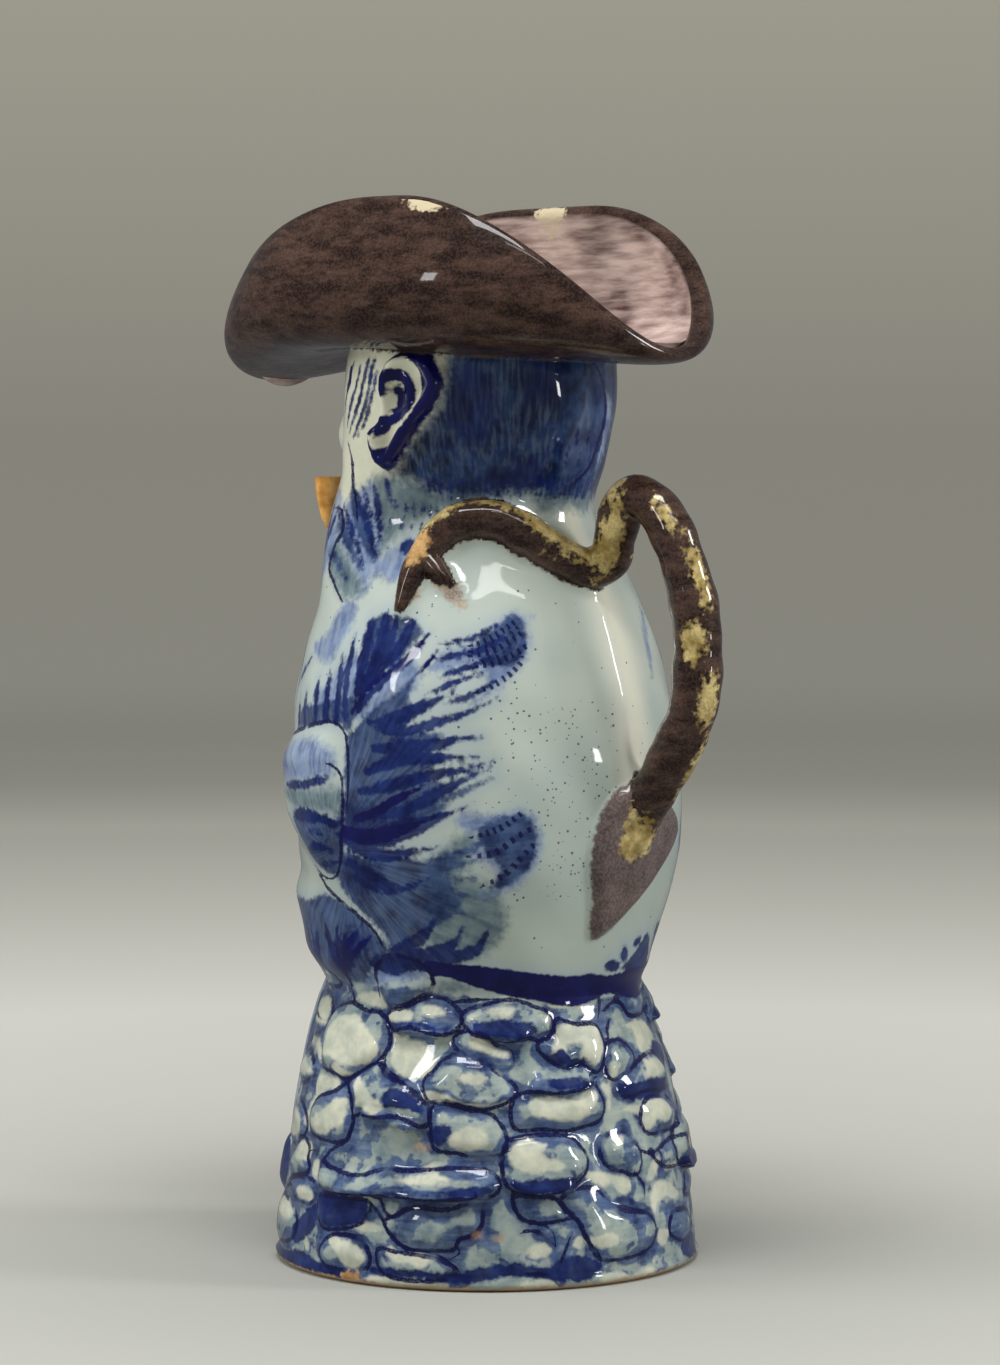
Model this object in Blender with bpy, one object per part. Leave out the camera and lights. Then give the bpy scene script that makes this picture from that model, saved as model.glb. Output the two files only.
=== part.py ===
"""Figural delftware jug: a bearded figure seated on rocks, whose cocked hat is the mouth.

The body is one closed skin of unlike rings. It runs from the underside up the figure, round the hat's brim
and down the turned cavity to its floor. The serpent handle and the stub pipe are joined to it, as they were
in the wet clay. Angles are in degrees round +Z: 0 is the figure's front (-Y), 90 its left side (+X) and 180
its back (+Y), where the handle is. Sizes below are in millimetres, and the mesh is made in metres.
"""

from dataclasses import dataclass

import bmesh
import bpy
import numpy as np

MM = 0.001

# Driving sizes
WALL = 4.8
FLOOR = 6.5
FLOOR_CORNER = ((2.0, 0.8), (6.0, 0.0))
BRIM_THICKNESS = 4.6
HEAD_TOP = 212.5
HEAD_TOP_TILT = 2.0
FOOT_FLAT_RADIUS = 47.0
FOOT_EDGE = (49.4, 0.9)
FOOT_TOP = 2.6
NECK = 176.5
MOUTH_STEP = 0.9
MOUTH_ROUNDING = 0.8
CARVING_STOP = 5.0

# Fineness of the skin
COLUMNS = 58
FRONT_CROWDING = 0.28
FIGURE_RINGS = 40
RING_SPACING_POWER = 0.94
BRIM_RINGS = 7
BRIM_INNER_END = 0.06
RIM_RINGS = 2
CAVITY_HEIGHTS = (206.0, 192.0, 176.5, 163.0, 146.0, 122.0, 98.0, 78.0, 65.0, 46.0, 12.0)

# The turned form: height, radius at the back, radius at the front
PROFILE = (
    (0.0, 49.6, 49.6),
    (3.0, 50.3, 50.3),
    (25.0, 47.4, 47.4),
    (46.0, 43.4, 43.6),
    (60.0, 38.8, 39.4),
    (64.5, 37.8, 38.2),
    (77.5, 40.3, 40.4),
    (98.0, 44.7, 44.7),
    (112.0, 45.3, 45.1),
    (130.0, 43.6, 45.2),
    (142.0, 41.0, 42.8),
    (154.0, 36.4, 39.4),
    (166.0, 29.8, 37.6),
    (176.5, 25.0, 36.0),
    (187.0, 27.8, 33.6),
    (201.0, 30.4, 33.4),
    (208.0, 30.6, 33.0),
    (215.0, 30.1, 31.9),
)
FRONT_TO_BACK_TURN = (45.0, 105.0)

# The cocked hat. Its brim bends out from the head and up: it is a quadratic curve in each upright section,
# from the head through a bend to the edge. A share of the edge's drop is broad, and the rest is a narrow dip.
FLAP_TOP = 247.0
FLAP_LEAN = 0.4
FLAP_RADIUS = 36.8
BEND_RADIUS = 59.0
BEND_HEIGHT = 214.8
BROAD_POWER = 2.9
NARROW_POWER = 9.0


@dataclass(frozen=True)
class Trough:
    """How the brim differs in a trough from the flaps at its sides."""

    drop: float
    broad: float
    edge_reach: float
    edge_power: float
    bend_reach: float
    bend_drop: float
    pull: float


FRONT_TROUGH = Trough(
    drop=36.6, broad=0.63, edge_reach=29.5, edge_power=1.8, bend_reach=20.0, bend_drop=13.0, pull=0.05
)
BACK_TROUGH = Trough(
    drop=35.2, broad=0.65, edge_reach=20.5, edge_power=2.25, bend_reach=2.0, bend_drop=8.2, pull=-0.14
)
RIGHT_FRONT_BROAD = 0.0

# The serpent: places on the shoulder (angle, height), then the loop behind (radius, height), and how thick
SHOULDER_ROUTE = (
    (99.5, 154.5),
    (101.0, 161.0),
    (106.0, 167.5),
    (113.0, 171.8),
    (122.0, 173.6),
    (136.0, 173.4),
    (151.0, 169.6),
    (164.0, 164.8),
    (174.0, 162.4),
)
SERPENT_LIFT = 1.6
LOOP_ROUTE = (
    (37.2, 165.0),
    (38.8, 170.0),
    (41.2, 176.6),
    (45.6, 179.2),
    (51.3, 176.4),
    (55.6, 170.8),
    (59.2, 163.0),
    (62.2, 153.4),
    (63.0, 144.0),
    (61.8, 132.0),
    (58.4, 124.5),
    (52.8, 115.5),
    (49.2, 110.5),
    (46.6, 105.0),
    (45.0, 99.5),
)
SERPENT_RADII = (
    (0.0, 1.3),
    (0.06, 3.4),
    (0.12, 4.4),
    (0.25, 4.9),
    (0.5, 5.1),
    (0.75, 5.7),
    (0.92, 5.4),
    (0.96, 4.4),
    (1.0, 2.4),
)
SERPENT_POINTS = 60
SERPENT_BEVEL_RESOLUTION = 3
LOWER_JAW_ROUTE = ((105.0, 166.0), (109.5, 163.2), (114.0, 160.4))
JAW_RADII = ((0.0, 3.2), (0.6, 2.6), (1.0, 1.2))
JAW_POINTS = 7

# The stub pipe held in the mouth
PIPE_ANGLE = 12.0
PIPE_RADIUS_OUT = 43.0
PIPE_TOP = 183.5
PIPE_LENGTH = 11.0
PIPE_TOP_RADIUS = 3.6
PIPE_FOOT_RADIUS = 2.3
PIPE_STEM_RADIUS = 2.2
PIPE_SIDES = 14
PIPE_BITE_RADIUS = 33.0
PIPE_BITE_SHARE = 0.4


@dataclass(frozen=True)
class Pad:
    """A soft swelling or hollow pressed on the wall, an ellipse on the unrolled surface.

    Angle and height place its middle; half_width and half_height are its reach along the wall; tilt turns it,
    in degrees; rise is how far it stands out; edge is the share of its reach over which it fades.
    """

    angle: float
    height: float
    half_width: float
    half_height: float
    rise: float
    tilt: float = 0.0
    edge: float = 0.8
    mirrored: bool = True


@dataclass(frozen=True)
class Limb:
    """A rounded bar laid on the wall between two places, each an angle and a height."""

    start: tuple[float, float]
    end: tuple[float, float]
    start_width: float
    end_width: float
    rise: float


FACE = (
    Pad(0.0, 197.5, 3.2, 9.5, 3.6, mirrored=False),
    Pad(0.0, 192.0, 4.6, 3.6, 3.4, mirrored=False),
    Pad(7.5, 190.6, 2.8, 2.4, 1.4),
    Pad(16.0, 205.6, 9.0, 2.6, 2.2, tilt=-6.0),
    Pad(17.0, 200.4, 7.0, 4.4, -1.5),
    Pad(17.0, 200.2, 4.2, 2.8, 1.6),
    Pad(29.0, 193.0, 7.5, 6.5, 1.3),
    Pad(0.0, 184.6, 8.6, 1.9, 1.7, mirrored=False),
    Pad(0.0, 181.6, 6.6, 1.8, 1.5, mirrored=False),
    Pad(9.0, 187.4, 7.0, 2.6, 1.6, tilt=-16.0),
)
BEARD = (
    Pad(0.0, 172.0, 16.0, 12.0, 2.8, mirrored=False),
    Pad(24.0, 170.0, 14.0, 17.0, 1.2),
    Pad(52.0, 166.0, 13.0, 20.0, 0.8),
    Pad(0.0, 154.0, 14.0, 12.0, 1.6, mirrored=False),
)
FIGURE = (
    Pad(0.0, 112.0, 22.0, 26.0, 2.2, mirrored=False),
    Pad(70.0, 92.0, 7.5, 6.0, 1.6),
    Pad(30.0, 84.0, 13.0, 11.0, 3.2),
    Pad(56.0, 79.0, 15.0, 11.0, 1.4, tilt=20.0),
    Pad(0.0, 80.0, 6.0, 14.0, -2.0, mirrored=False),
    Pad(24.0, 20.0, 10.0, 6.5, 3.0, tilt=8.0),
    Pad(143.0, 100.0, 14.0, 28.0, 0.6),
)
LIMB_EDGE = 0.65
LIMBS = (
    Limb((100.0, 147.0), (84.0, 128.0), 11.0, 9.5, 2.4),
    Limb((76.0, 128.0), (68.0, 96.0), 9.0, 7.0, 2.6),
    Limb((29.0, 80.0), (25.0, 24.0), 8.0, 6.0, 2.2),
)
EAR = Pad(95.0, 199.5, 8.2, 13.6, 2.0, tilt=-14.0, edge=0.35)
EAR_RIM_RISE = 2.8
EAR_RIM_SHARE = 0.8
EAR_RIM_WIDTH = 0.28
SPINE_ANGLE = 175.0
SPINE_RISE = 1.4
SPINE_WIDTH = 3.2
SPINE_SPAN = (108.0, 160.0)

# The leaf that ends the serpent's tail on the back of the body
LEAF_TOP = (178.0, 112.0)
LEAF_TIP = (168.0, 78.5)
LEAF_WIDTH = 13.0
LEAF_RISE = 2.3

# Rock courses: heights of the ledges, stones in each course
LEDGES = (1.0, 9.5, 26.0, 45.0, 60.5)
STONES_IN_COURSE = (11, 12, 11, 10)
STONE_RISE = 2.0
STONE_SINK = 1.5
STONE_JITTER = 0.22
STONE_SEED = 11


def ease(low, high, x):
    """Smooth step from 0 at low to 1 at high."""
    t = np.clip((x - low) / (high - low), 0.0, 1.0)
    return t * t * (3.0 - 2.0 * t)


def turn(angle):
    """Angle brought between -180 and 180 degrees."""
    return (np.asarray(angle, float) + 180.0) % 360.0 - 180.0


def smooth_curve(places, values, x):
    """Cubic through the values that doesn't overshoot them."""
    places = np.asarray(places, float)
    values = np.asarray(values, float)
    span = np.diff(places)
    slope = np.diff(values) / span
    tangent = np.concatenate(([slope[0]], np.zeros(len(slope) - 1), [slope[-1]]))
    same_way = slope[:-1] * slope[1:] > 0.0
    product = 2.0 * slope[:-1] * slope[1:]
    total = np.where(same_way, slope[:-1] + slope[1:], 1.0)
    tangent[1:-1] = np.where(same_way, product / total, 0.0)
    x = np.clip(x, places[0], places[-1])
    k = np.clip(np.searchsorted(places, x) - 1, 0, len(span) - 1)
    t = (x - places[k]) / span[k]
    rise = (3.0 - 2.0 * t) * t * t
    return (
        values[k] * (1.0 - rise)
        + values[k + 1] * rise
        + span[k] * (tangent[k] * t * (1.0 - t) ** 2 - tangent[k + 1] * t * t * (1.0 - t))
    )


def turned_radius(angle, height):
    """Radius of the plain figure, before any relief."""
    stations = np.array(PROFILE)
    back = smooth_curve(stations[:, 0], stations[:, 1], height)
    front = smooth_curve(stations[:, 0], stations[:, 2], height)
    return front + (back - front) * ease(*FRONT_TO_BACK_TURN, np.abs(turn(angle)))


def cavity_radius(height):
    """Radius of the turned cavity: the slimmer of back and front, less the wall."""
    stations = np.array(PROFILE)
    back = smooth_curve(stations[:, 0], stations[:, 1], height)
    front = smooth_curve(stations[:, 0], stations[:, 2], height)
    return np.minimum(back, front) - WALL


def along_wall(angle, height, middle_angle, middle_height):
    """Distances on the wall from a middle, along the turn and up."""
    radius = turned_radius(middle_angle, middle_height)
    return np.radians(turn(angle - middle_angle)) * radius, height - middle_height


def pad_reach(pad, angle, height, side):
    """How far out in a pad's ellipse a place lies: 0 at its middle, 1 at its edge."""
    u, v = along_wall(angle, height, side * pad.angle, pad.height)
    slant = np.radians(pad.tilt) * side
    along = u * np.cos(slant) + v * np.sin(slant)
    across = v * np.cos(slant) - u * np.sin(slant)
    return np.hypot(along / pad.half_width, across / pad.half_height)


def pad_relief(pad, angle, height):
    """Height of one pad, on one or both sides of the figure."""
    relief = 0.0
    for side in (1.0, -1.0) if pad.mirrored else (1.0,):
        reach = pad_reach(pad, angle, height, side)
        relief = relief + pad.rise * (1.0 - ease(1.0 - pad.edge, 1.0, reach))
    return relief


def limb_relief(limb, angle, height):
    """Height of one limb, on both sides of the figure."""
    relief = 0.0
    for side in (1.0, -1.0):
        u, v = along_wall(angle, height, side * limb.start[0], limb.start[1])
        end_u, end_v = along_wall(side * limb.end[0], limb.end[1], side * limb.start[0], limb.start[1])
        share = np.clip((u * end_u + v * end_v) / (end_u**2 + end_v**2), 0.0, 1.0)
        width = limb.start_width + (limb.end_width - limb.start_width) * share
        away = np.hypot(u - share * end_u, v - share * end_v) / width
        relief = np.maximum(relief, limb.rise * (1.0 - ease(1.0 - LIMB_EDGE, 1.0, away)))
    return relief


def ear_relief(angle, height):
    """Both ears: a low shell with a proud rim, open towards the cheek."""
    relief = pad_relief(EAR, angle, height)
    for side in (1.0, -1.0):
        reach = pad_reach(EAR, angle, height, side)
        rim = np.exp(-(((reach - EAR_RIM_SHARE) / EAR_RIM_WIDTH) ** 2))
        behind = ease(-9.0, 2.0, turn(angle - side * EAR.angle) * side)
        relief = relief + EAR_RIM_RISE * rim * behind
    return relief


def leaf_relief(angle, height):
    """The leaf-shaped end of the serpent's tail."""
    u, v = along_wall(angle, height, *LEAF_TOP)
    tip_u, tip_v = along_wall(LEAF_TIP[0], LEAF_TIP[1], *LEAF_TOP)
    length = np.hypot(tip_u, tip_v)
    share = (u * tip_u + v * tip_v) / length**2
    aside = np.abs(u * tip_v - v * tip_u) / length
    width = LEAF_WIDTH * np.sin(np.pi * np.clip(share * 0.86 + 0.14, 0.0, 1.0)) ** 0.7
    inside = 1.0 - ease(0.55, 1.0, aside / np.maximum(width, 0.1))
    return LEAF_RISE * inside * ease(-0.12, 0.05, share) * (1.0 - ease(0.9, 1.0, share))


def rock_relief(angle, height):
    """Courses of rounded stones, each a little proud of the joints round it."""
    jitter = np.random.default_rng(STONE_SEED)
    relief = np.zeros(np.broadcast(angle, height).shape)
    for course, count in enumerate(STONES_IN_COURSE):
        low, high = LEDGES[course], LEDGES[course + 1]
        shifts = jitter.uniform(-STONE_JITTER, STONE_JITTER, count)
        lifts = jitter.uniform(0.75, 1.25, count)
        middles = (np.arange(count) + 0.5 * (course % 2) + shifts) * 360.0 / count
        gap = turn(np.asarray(angle)[..., None] - middles)
        nearest = np.argmin(np.abs(gap), axis=-1)
        across = np.take_along_axis(gap, nearest[..., None], -1)[..., 0] / (180.0 / count)
        upright = (height - 0.5 * (low + high)) / (0.5 * (high - low))
        stone = (1.0 - ease(0.55, 1.0, np.abs(across))) * (1.0 - ease(0.6, 1.0, np.abs(upright)))
        relief = relief + STONE_RISE * lifts[nearest] * stone
    courses = 1.0 - ease(LEDGES[-1] - 2.0, LEDGES[-1] + 2.0, height)
    return (relief - STONE_SINK) * courses * ease(0.0, 4.0, height)


def spine_relief(angle, height):
    """The crease that runs down the back to the serpent's tail."""
    u = np.radians(turn(angle - SPINE_ANGLE)) * turned_radius(SPINE_ANGLE, height)
    low, high = SPINE_SPAN
    span = ease(low, low + 14.0, height) * (1.0 - ease(high - 12.0, high, height))
    return SPINE_RISE * np.exp(-np.abs(u) / SPINE_WIDTH) * span


def carving(angle, height):
    """All the relief of the figure's outer face."""
    relief = ear_relief(angle, height) + leaf_relief(angle, height) + rock_relief(angle, height)
    relief = relief + spine_relief(angle, height)
    for pad in FACE + BEARD + FIGURE:
        relief = relief + pad_relief(pad, angle, height)
    arms = np.zeros(np.shape(relief))
    for limb in LIMBS:
        arms = np.maximum(arms, limb_relief(limb, angle, height))
    return (relief + arms) * (1.0 - ease(HEAD_TOP - CARVING_STOP, HEAD_TOP, height))


def head_top(angle):
    """Radius and height where the head meets the brim."""
    height = HEAD_TOP + HEAD_TOP_TILT * np.cos(np.radians(angle))
    return turned_radius(angle, height), height


def brim_guides(angle):
    """Bend and edge of the brim at each angle, as radii and heights, and the pull of the bend."""
    facing = np.cos(np.radians(angle))
    trough = np.abs(facing)
    guides = []
    for form in (FRONT_TROUGH, BACK_TROUGH):
        right_front = (turn(angle) < 0.0) & (facing > 0.0)
        broad = np.where(right_front, RIGHT_FRONT_BROAD, form.broad)
        dip = broad * trough**BROAD_POWER + (1.0 - broad) * trough**NARROW_POWER
        guides.append((
            BEND_RADIUS + form.bend_reach * trough**2,
            BEND_HEIGHT - form.bend_drop * trough**2,
            FLAP_RADIUS + form.edge_reach * trough**form.edge_power,
            FLAP_TOP - FLAP_LEAN * np.sin(np.radians(angle)) - form.drop * dip,
            1.0 + form.pull * trough**2,
        ))
    return [np.where(facing > 0.0, front, back) for front, back in zip(*guides)]


def brim_section(angle, share):
    """Point of the brim's outer face, from 0 at the head to 1 at the edge, and the unit way along it."""
    start_radius, start_height = head_top(angle)
    bend_radius, bend_height, edge_radius, edge_height, pull = brim_guides(angle)
    weights = ((1.0 - share) ** 2, 2.0 * share * (1.0 - share) * pull, share**2)
    total = sum(weights)
    radius = (weights[0] * start_radius + weights[1] * bend_radius + weights[2] * edge_radius) / total
    height = (weights[0] * start_height + weights[1] * bend_height + weights[2] * edge_height) / total
    out = (1.0 - share) * (bend_radius - start_radius) + share * (edge_radius - bend_radius)
    up = (1.0 - share) * (bend_height - start_height) + share * (edge_height - bend_height)
    length = np.hypot(out, up)
    return radius, height, out / length, up / length


def skin_rings(angle):
    """The rings of the whole skin in order, from the underside to the cavity's floor."""
    ones = np.ones_like(angle)
    rings = [(FOOT_FLAT_RADIUS * ones, 0.0 * ones), (FOOT_EDGE[0] * ones, FOOT_EDGE[1] * ones)]
    head_tops = head_top(angle)[1]
    for share in np.linspace(0.0, 1.0, FIGURE_RINGS):
        level = FOOT_TOP + (HEAD_TOP - FOOT_TOP) * share**RING_SPACING_POWER
        height = level + (head_tops - HEAD_TOP) * ease(NECK, HEAD_TOP, level)
        rings.append((turned_radius(angle, height) + carving(angle, height), height))
    for share in np.linspace(0.0, 1.0, BRIM_RINGS + 1)[1:]:
        radius, height, _, _ = brim_section(angle, share)
        rings.append((radius, height))
    radius, height, out, up = brim_section(angle, 1.0)
    half = 0.5 * BRIM_THICKNESS
    for sweep in np.linspace(0.0, np.pi, RIM_RINGS + 2)[1:-1]:
        inward, onward = half * (1.0 - np.cos(sweep)), half * np.sin(sweep)
        rings.append((radius - up * inward + out * onward, height + out * inward + up * onward))
    for share in np.linspace(1.0, BRIM_INNER_END, BRIM_RINGS):
        radius, height, out, up = brim_section(angle, share)
        rings.append((radius - up * BRIM_THICKNESS, height + out * BRIM_THICKNESS))
    lip_height = head_tops + BRIM_THICKNESS
    rings.append((cavity_radius(HEAD_TOP) + MOUTH_STEP, lip_height - MOUTH_ROUNDING))
    for level in CAVITY_HEIGHTS:
        rings.append((cavity_radius(level) * ones, level * ones))
    floor_radius = cavity_radius(CAVITY_HEIGHTS[-1])
    for inset, rise in FLOOR_CORNER:
        rings.append(((floor_radius - inset) * ones, (FLOOR + rise) * ones))
    return rings


def make_skin(name):
    """Mesh object of the hollow figure with its hat, as one closed skin."""
    even = np.arange(COLUMNS) * 360.0 / COLUMNS
    angle = even - np.degrees(FRONT_CROWDING * np.sin(np.radians(even)))
    east, north = np.sin(np.radians(angle)), -np.cos(np.radians(angle))
    skin = bmesh.new()
    rows = []
    for radius, height in skin_rings(angle):
        points = np.stack((radius * east, radius * north, height), axis=-1) * MM
        rows.append([skin.verts.new(point) for point in points])
    for lower, upper in zip(rows, rows[1:]):
        for k in range(COLUMNS):
            onward = (k + 1) % COLUMNS
            skin.faces.new((lower[k], lower[onward], upper[onward], upper[k]))
    underside = skin.verts.new((0.0, 0.0, 0.0))
    floor = skin.verts.new((0.0, 0.0, FLOOR * MM))
    for k in range(COLUMNS):
        onward = (k + 1) % COLUMNS
        skin.faces.new((rows[0][onward], rows[0][k], underside))
        skin.faces.new((rows[-1][k], rows[-1][onward], floor))
    bmesh.ops.triangulate(skin, faces=skin.faces[:])
    bmesh.ops.recalc_face_normals(skin, faces=skin.faces[:])
    return finish_mesh(skin, name)


def finish_mesh(shape, name):
    """Object made of a finished bmesh."""
    mesh = bpy.data.meshes.new(name)
    shape.to_mesh(mesh)
    shape.free()
    return bpy.data.objects.new(name, mesh)


def wall_point(angle, height, lift):
    """Point at a lift above the turned wall."""
    radius = turned_radius(angle, height) + lift
    return radius * np.sin(np.radians(angle)), -radius * np.cos(np.radians(angle)), height


def smooth_route(points, count):
    """Evenly spaced points on a smooth curve through the route's own points."""
    points = np.array(points, float)
    steps = np.linalg.norm(np.diff(points, axis=0), axis=1) ** 0.5
    knots = np.concatenate(([0.0], np.cumsum(steps)))
    fine = np.linspace(0.0, knots[-1], 12 * count)
    tangent = np.gradient(points, knots, axis=0)
    k = np.clip(np.searchsorted(knots, fine) - 1, 0, len(knots) - 2)
    gap = (knots[k + 1] - knots[k])[:, None]
    t = (fine - knots[k])[:, None] / gap
    rise = (3.0 - 2.0 * t) * t * t
    curve = points[k] * (1.0 - rise) + points[k + 1] * rise
    curve = curve + gap * (tangent[k] * t * (1.0 - t) ** 2 - tangent[k + 1] * t * t * (1.0 - t))
    length = np.concatenate(([0.0], np.cumsum(np.linalg.norm(np.diff(curve, axis=0), axis=1))))
    even = np.linspace(0.0, length[-1], count)
    return np.stack([np.interp(even, length, curve[:, axis]) for axis in range(3)], axis=-1)


def make_tube(name, points, radii, count):
    """Solid tube whose radius changes along its route, as a mesh with welded caps."""
    curve = bpy.data.curves.new(name, "CURVE")
    curve.dimensions = "3D"
    curve.bevel_depth = MM
    curve.bevel_resolution = SERPENT_BEVEL_RESOLUTION
    curve.use_fill_caps = True
    spline = curve.splines.new("POLY")
    spline.points.add(count - 1)
    shares = np.linspace(0.0, 1.0, count)
    thickness = np.interp(shares, *np.array(radii).T)
    for control, place, radius in zip(spline.points, smooth_route(points, count) * MM, thickness):
        control.co = (*place, 1.0)
        control.radius = radius
    guide = bpy.data.objects.new(name + ".route", curve)
    bpy.context.scene.collection.objects.link(guide)
    evaluated = guide.evaluated_get(bpy.context.evaluated_depsgraph_get())
    mesh = bpy.data.meshes.new_from_object(evaluated)
    tube = bpy.data.objects.new(name, mesh)
    tube.matrix_world = guide.matrix_world.copy()
    bpy.data.objects.remove(guide)
    weld = bmesh.new()
    weld.from_mesh(mesh)
    bmesh.ops.remove_doubles(weld, verts=weld.verts[:], dist=0.00001)
    bmesh.ops.recalc_face_normals(weld, faces=weld.faces[:])
    weld.to_mesh(mesh)
    weld.free()
    return tube


def make_serpent():
    """The serpent from its snout on the left shoulder, round the back and down the handle's loop."""
    route = [wall_point(angle, height, SERPENT_LIFT) for angle, height in SHOULDER_ROUTE]
    route += [(0.0, radius, height) for radius, height in LOOP_ROUTE]
    return make_tube("serpent", route, SERPENT_RADII, SERPENT_POINTS)


def make_jaw():
    """The serpent's short lower jaw."""
    route = [wall_point(angle, height, SERPENT_LIFT) for angle, height in LOWER_JAW_ROUTE]
    return make_tube("serpent_jaw", route, JAW_RADII, JAW_POINTS)


def make_pipe():
    """The stub pipe's bowl, a small upright cone in front of the mouth."""
    shape = bmesh.new()
    bmesh.ops.create_cone(
        shape,
        cap_ends=True,
        segments=PIPE_SIDES,
        radius1=PIPE_FOOT_RADIUS * MM,
        radius2=PIPE_TOP_RADIUS * MM,
        depth=PIPE_LENGTH * MM,
    )
    bowl = finish_mesh(shape, "pipe_bowl")
    way = np.radians(PIPE_ANGLE)
    height = PIPE_TOP - 0.5 * PIPE_LENGTH
    bowl.location = (PIPE_RADIUS_OUT * np.sin(way) * MM, -PIPE_RADIUS_OUT * np.cos(way) * MM, height * MM)
    return bowl


def make_stem():
    """The pipe's stem, from the mouth down to the foot of the bowl."""
    way = np.radians(PIPE_ANGLE)
    bite = way * PIPE_BITE_SHARE
    inner = (PIPE_BITE_RADIUS * np.sin(bite), -PIPE_BITE_RADIUS * np.cos(bite), PIPE_TOP)
    outer = (PIPE_RADIUS_OUT * np.sin(way), -PIPE_RADIUS_OUT * np.cos(way), PIPE_TOP - 0.75 * PIPE_LENGTH)
    middle = [0.5 * (a + b) for a, b in zip(inner, outer)]
    radii = ((0.0, PIPE_STEM_RADIUS), (1.0, PIPE_STEM_RADIUS))
    return make_tube("pipe_stem", (inner, middle, outer), radii, 3)


def make_glaze():
    """Pale tin glaze."""
    glaze = bpy.data.materials.new("tin_glaze")
    glaze.use_nodes = True
    surface = glaze.node_tree.nodes["Principled BSDF"]
    surface.inputs["Base Color"].default_value = (0.62, 0.67, 0.68, 1.0)
    surface.inputs["Roughness"].default_value = 0.18
    surface.inputs["Metallic"].default_value = 0.0
    return glaze


def join(body, other, cutters):
    """Union of a loose shape with the body."""
    cutters.objects.link(other)
    other.hide_render = True
    other.display_type = "WIRE"
    union = body.modifiers.new("join_" + other.name, "BOOLEAN")
    union.operation = "UNION"
    union.solver = "EXACT"
    union.object = other


def main():
    """Build the jug as one node."""
    for old in list(bpy.data.objects):
        bpy.data.objects.remove(old)
    parts = bpy.data.collections.new("figural_jug")
    cutters = bpy.data.collections.new("joined_shapes")
    for collection in (parts, cutters):
        bpy.context.scene.collection.children.link(collection)
    jug = make_skin("figural_jug")
    parts.objects.link(jug)
    jug.data.materials.append(make_glaze())
    for shape in (make_serpent(), make_jaw(), make_pipe(), make_stem()):
        join(jug, shape, cutters)
    jug.data.shade_smooth()


main()
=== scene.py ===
"""Figural delftware jug, dressed: the modelled skin, its painting and glaze, and a plain studio.

Angles are in degrees round +Z: 0 is the figure's front (-Y), 90 its left side (+X) and 180 its back (+Y),
where the handle is. Sizes are in millimetres until a mesh is made, which is in metres.
"""

import logging
from collections.abc import Iterable
from dataclasses import dataclass, field
from enum import Enum
from typing import Any

import bmesh
import bpy
import numpy as np
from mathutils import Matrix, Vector
from mathutils.kdtree import KDTree


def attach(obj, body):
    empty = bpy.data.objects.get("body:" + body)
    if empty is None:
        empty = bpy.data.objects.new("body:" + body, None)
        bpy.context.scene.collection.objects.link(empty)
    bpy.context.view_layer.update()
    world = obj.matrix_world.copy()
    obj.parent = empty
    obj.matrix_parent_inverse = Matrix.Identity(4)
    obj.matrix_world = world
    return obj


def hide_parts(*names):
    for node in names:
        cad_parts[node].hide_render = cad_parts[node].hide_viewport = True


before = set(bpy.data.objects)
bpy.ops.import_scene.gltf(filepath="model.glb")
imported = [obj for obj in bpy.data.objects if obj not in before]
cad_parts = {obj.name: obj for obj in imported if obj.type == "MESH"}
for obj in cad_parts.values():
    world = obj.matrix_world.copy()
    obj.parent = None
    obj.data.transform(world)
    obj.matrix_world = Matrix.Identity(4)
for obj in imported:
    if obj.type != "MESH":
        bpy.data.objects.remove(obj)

LOG = logging.getLogger("figural_jug")
NODE = "figural_jug"
BODY = "root"
MM = 0.001
FAR = 6.0

Points = tuple[tuple[float, float], ...]


def path(*numbers: float) -> Points:
    """Places on the wall from a run of numbers: an angle and a height for each in turn."""
    return tuple(zip(numbers[::2], numbers[1::2]))


def ease(low: float, high: float, x: np.ndarray) -> np.ndarray:
    """Smooth step from 0 at low to 1 at high."""
    t = np.clip((x - low) / (high - low), 0.0, 1.0)
    return t * t * (3.0 - 2.0 * t)


def plateau(edges: tuple[float, float, float, float], x: np.ndarray) -> np.ndarray:
    """1 between the two inner edges, falling smoothly to 0 at the outer ones."""
    return ease(edges[0], edges[1], x) * (1.0 - ease(edges[2], edges[3], x))


def turn(angle: np.ndarray) -> np.ndarray:
    """Angle brought between -180 and 180 degrees."""
    return (np.asarray(angle, float) + 180.0) % 360.0 - 180.0


def toward(azimuth: float, elevation: float = 0.0) -> np.ndarray:
    """Unit vector that points out from the jug's axis at an azimuth and an elevation."""
    bearing, rise = np.radians(azimuth), np.radians(elevation)
    return np.array((np.sin(bearing) * np.cos(rise), -np.cos(bearing) * np.cos(rise), np.sin(rise)))


def spread(spacing: Points, low: float, high: float, steps: int, count: int, closed: bool) -> np.ndarray:
    """Places from low to high, as close together as the wished spacing says.

    Args:
        spacing: Wished distance between two places from the first place on, as (place, distance) pairs.
        low: First place.
        high: End of the places.
        steps: How many fine steps the spacing is summed up in.
        count: How many places to return.
        closed: Whether the end is one of them.

    Returns:
        The places.
    """
    wished = np.array(spacing)
    fine = np.linspace(low, high, steps + 1)
    density = 1.0 / np.interp(fine, wished[:, 0], wished[:, 1])
    passed = np.concatenate(([0.0], np.cumsum(0.5 * (density[1:] + density[:-1]))))
    return np.interp(np.linspace(0.0, passed[-1], count, endpoint=closed), passed, fine)


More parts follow.
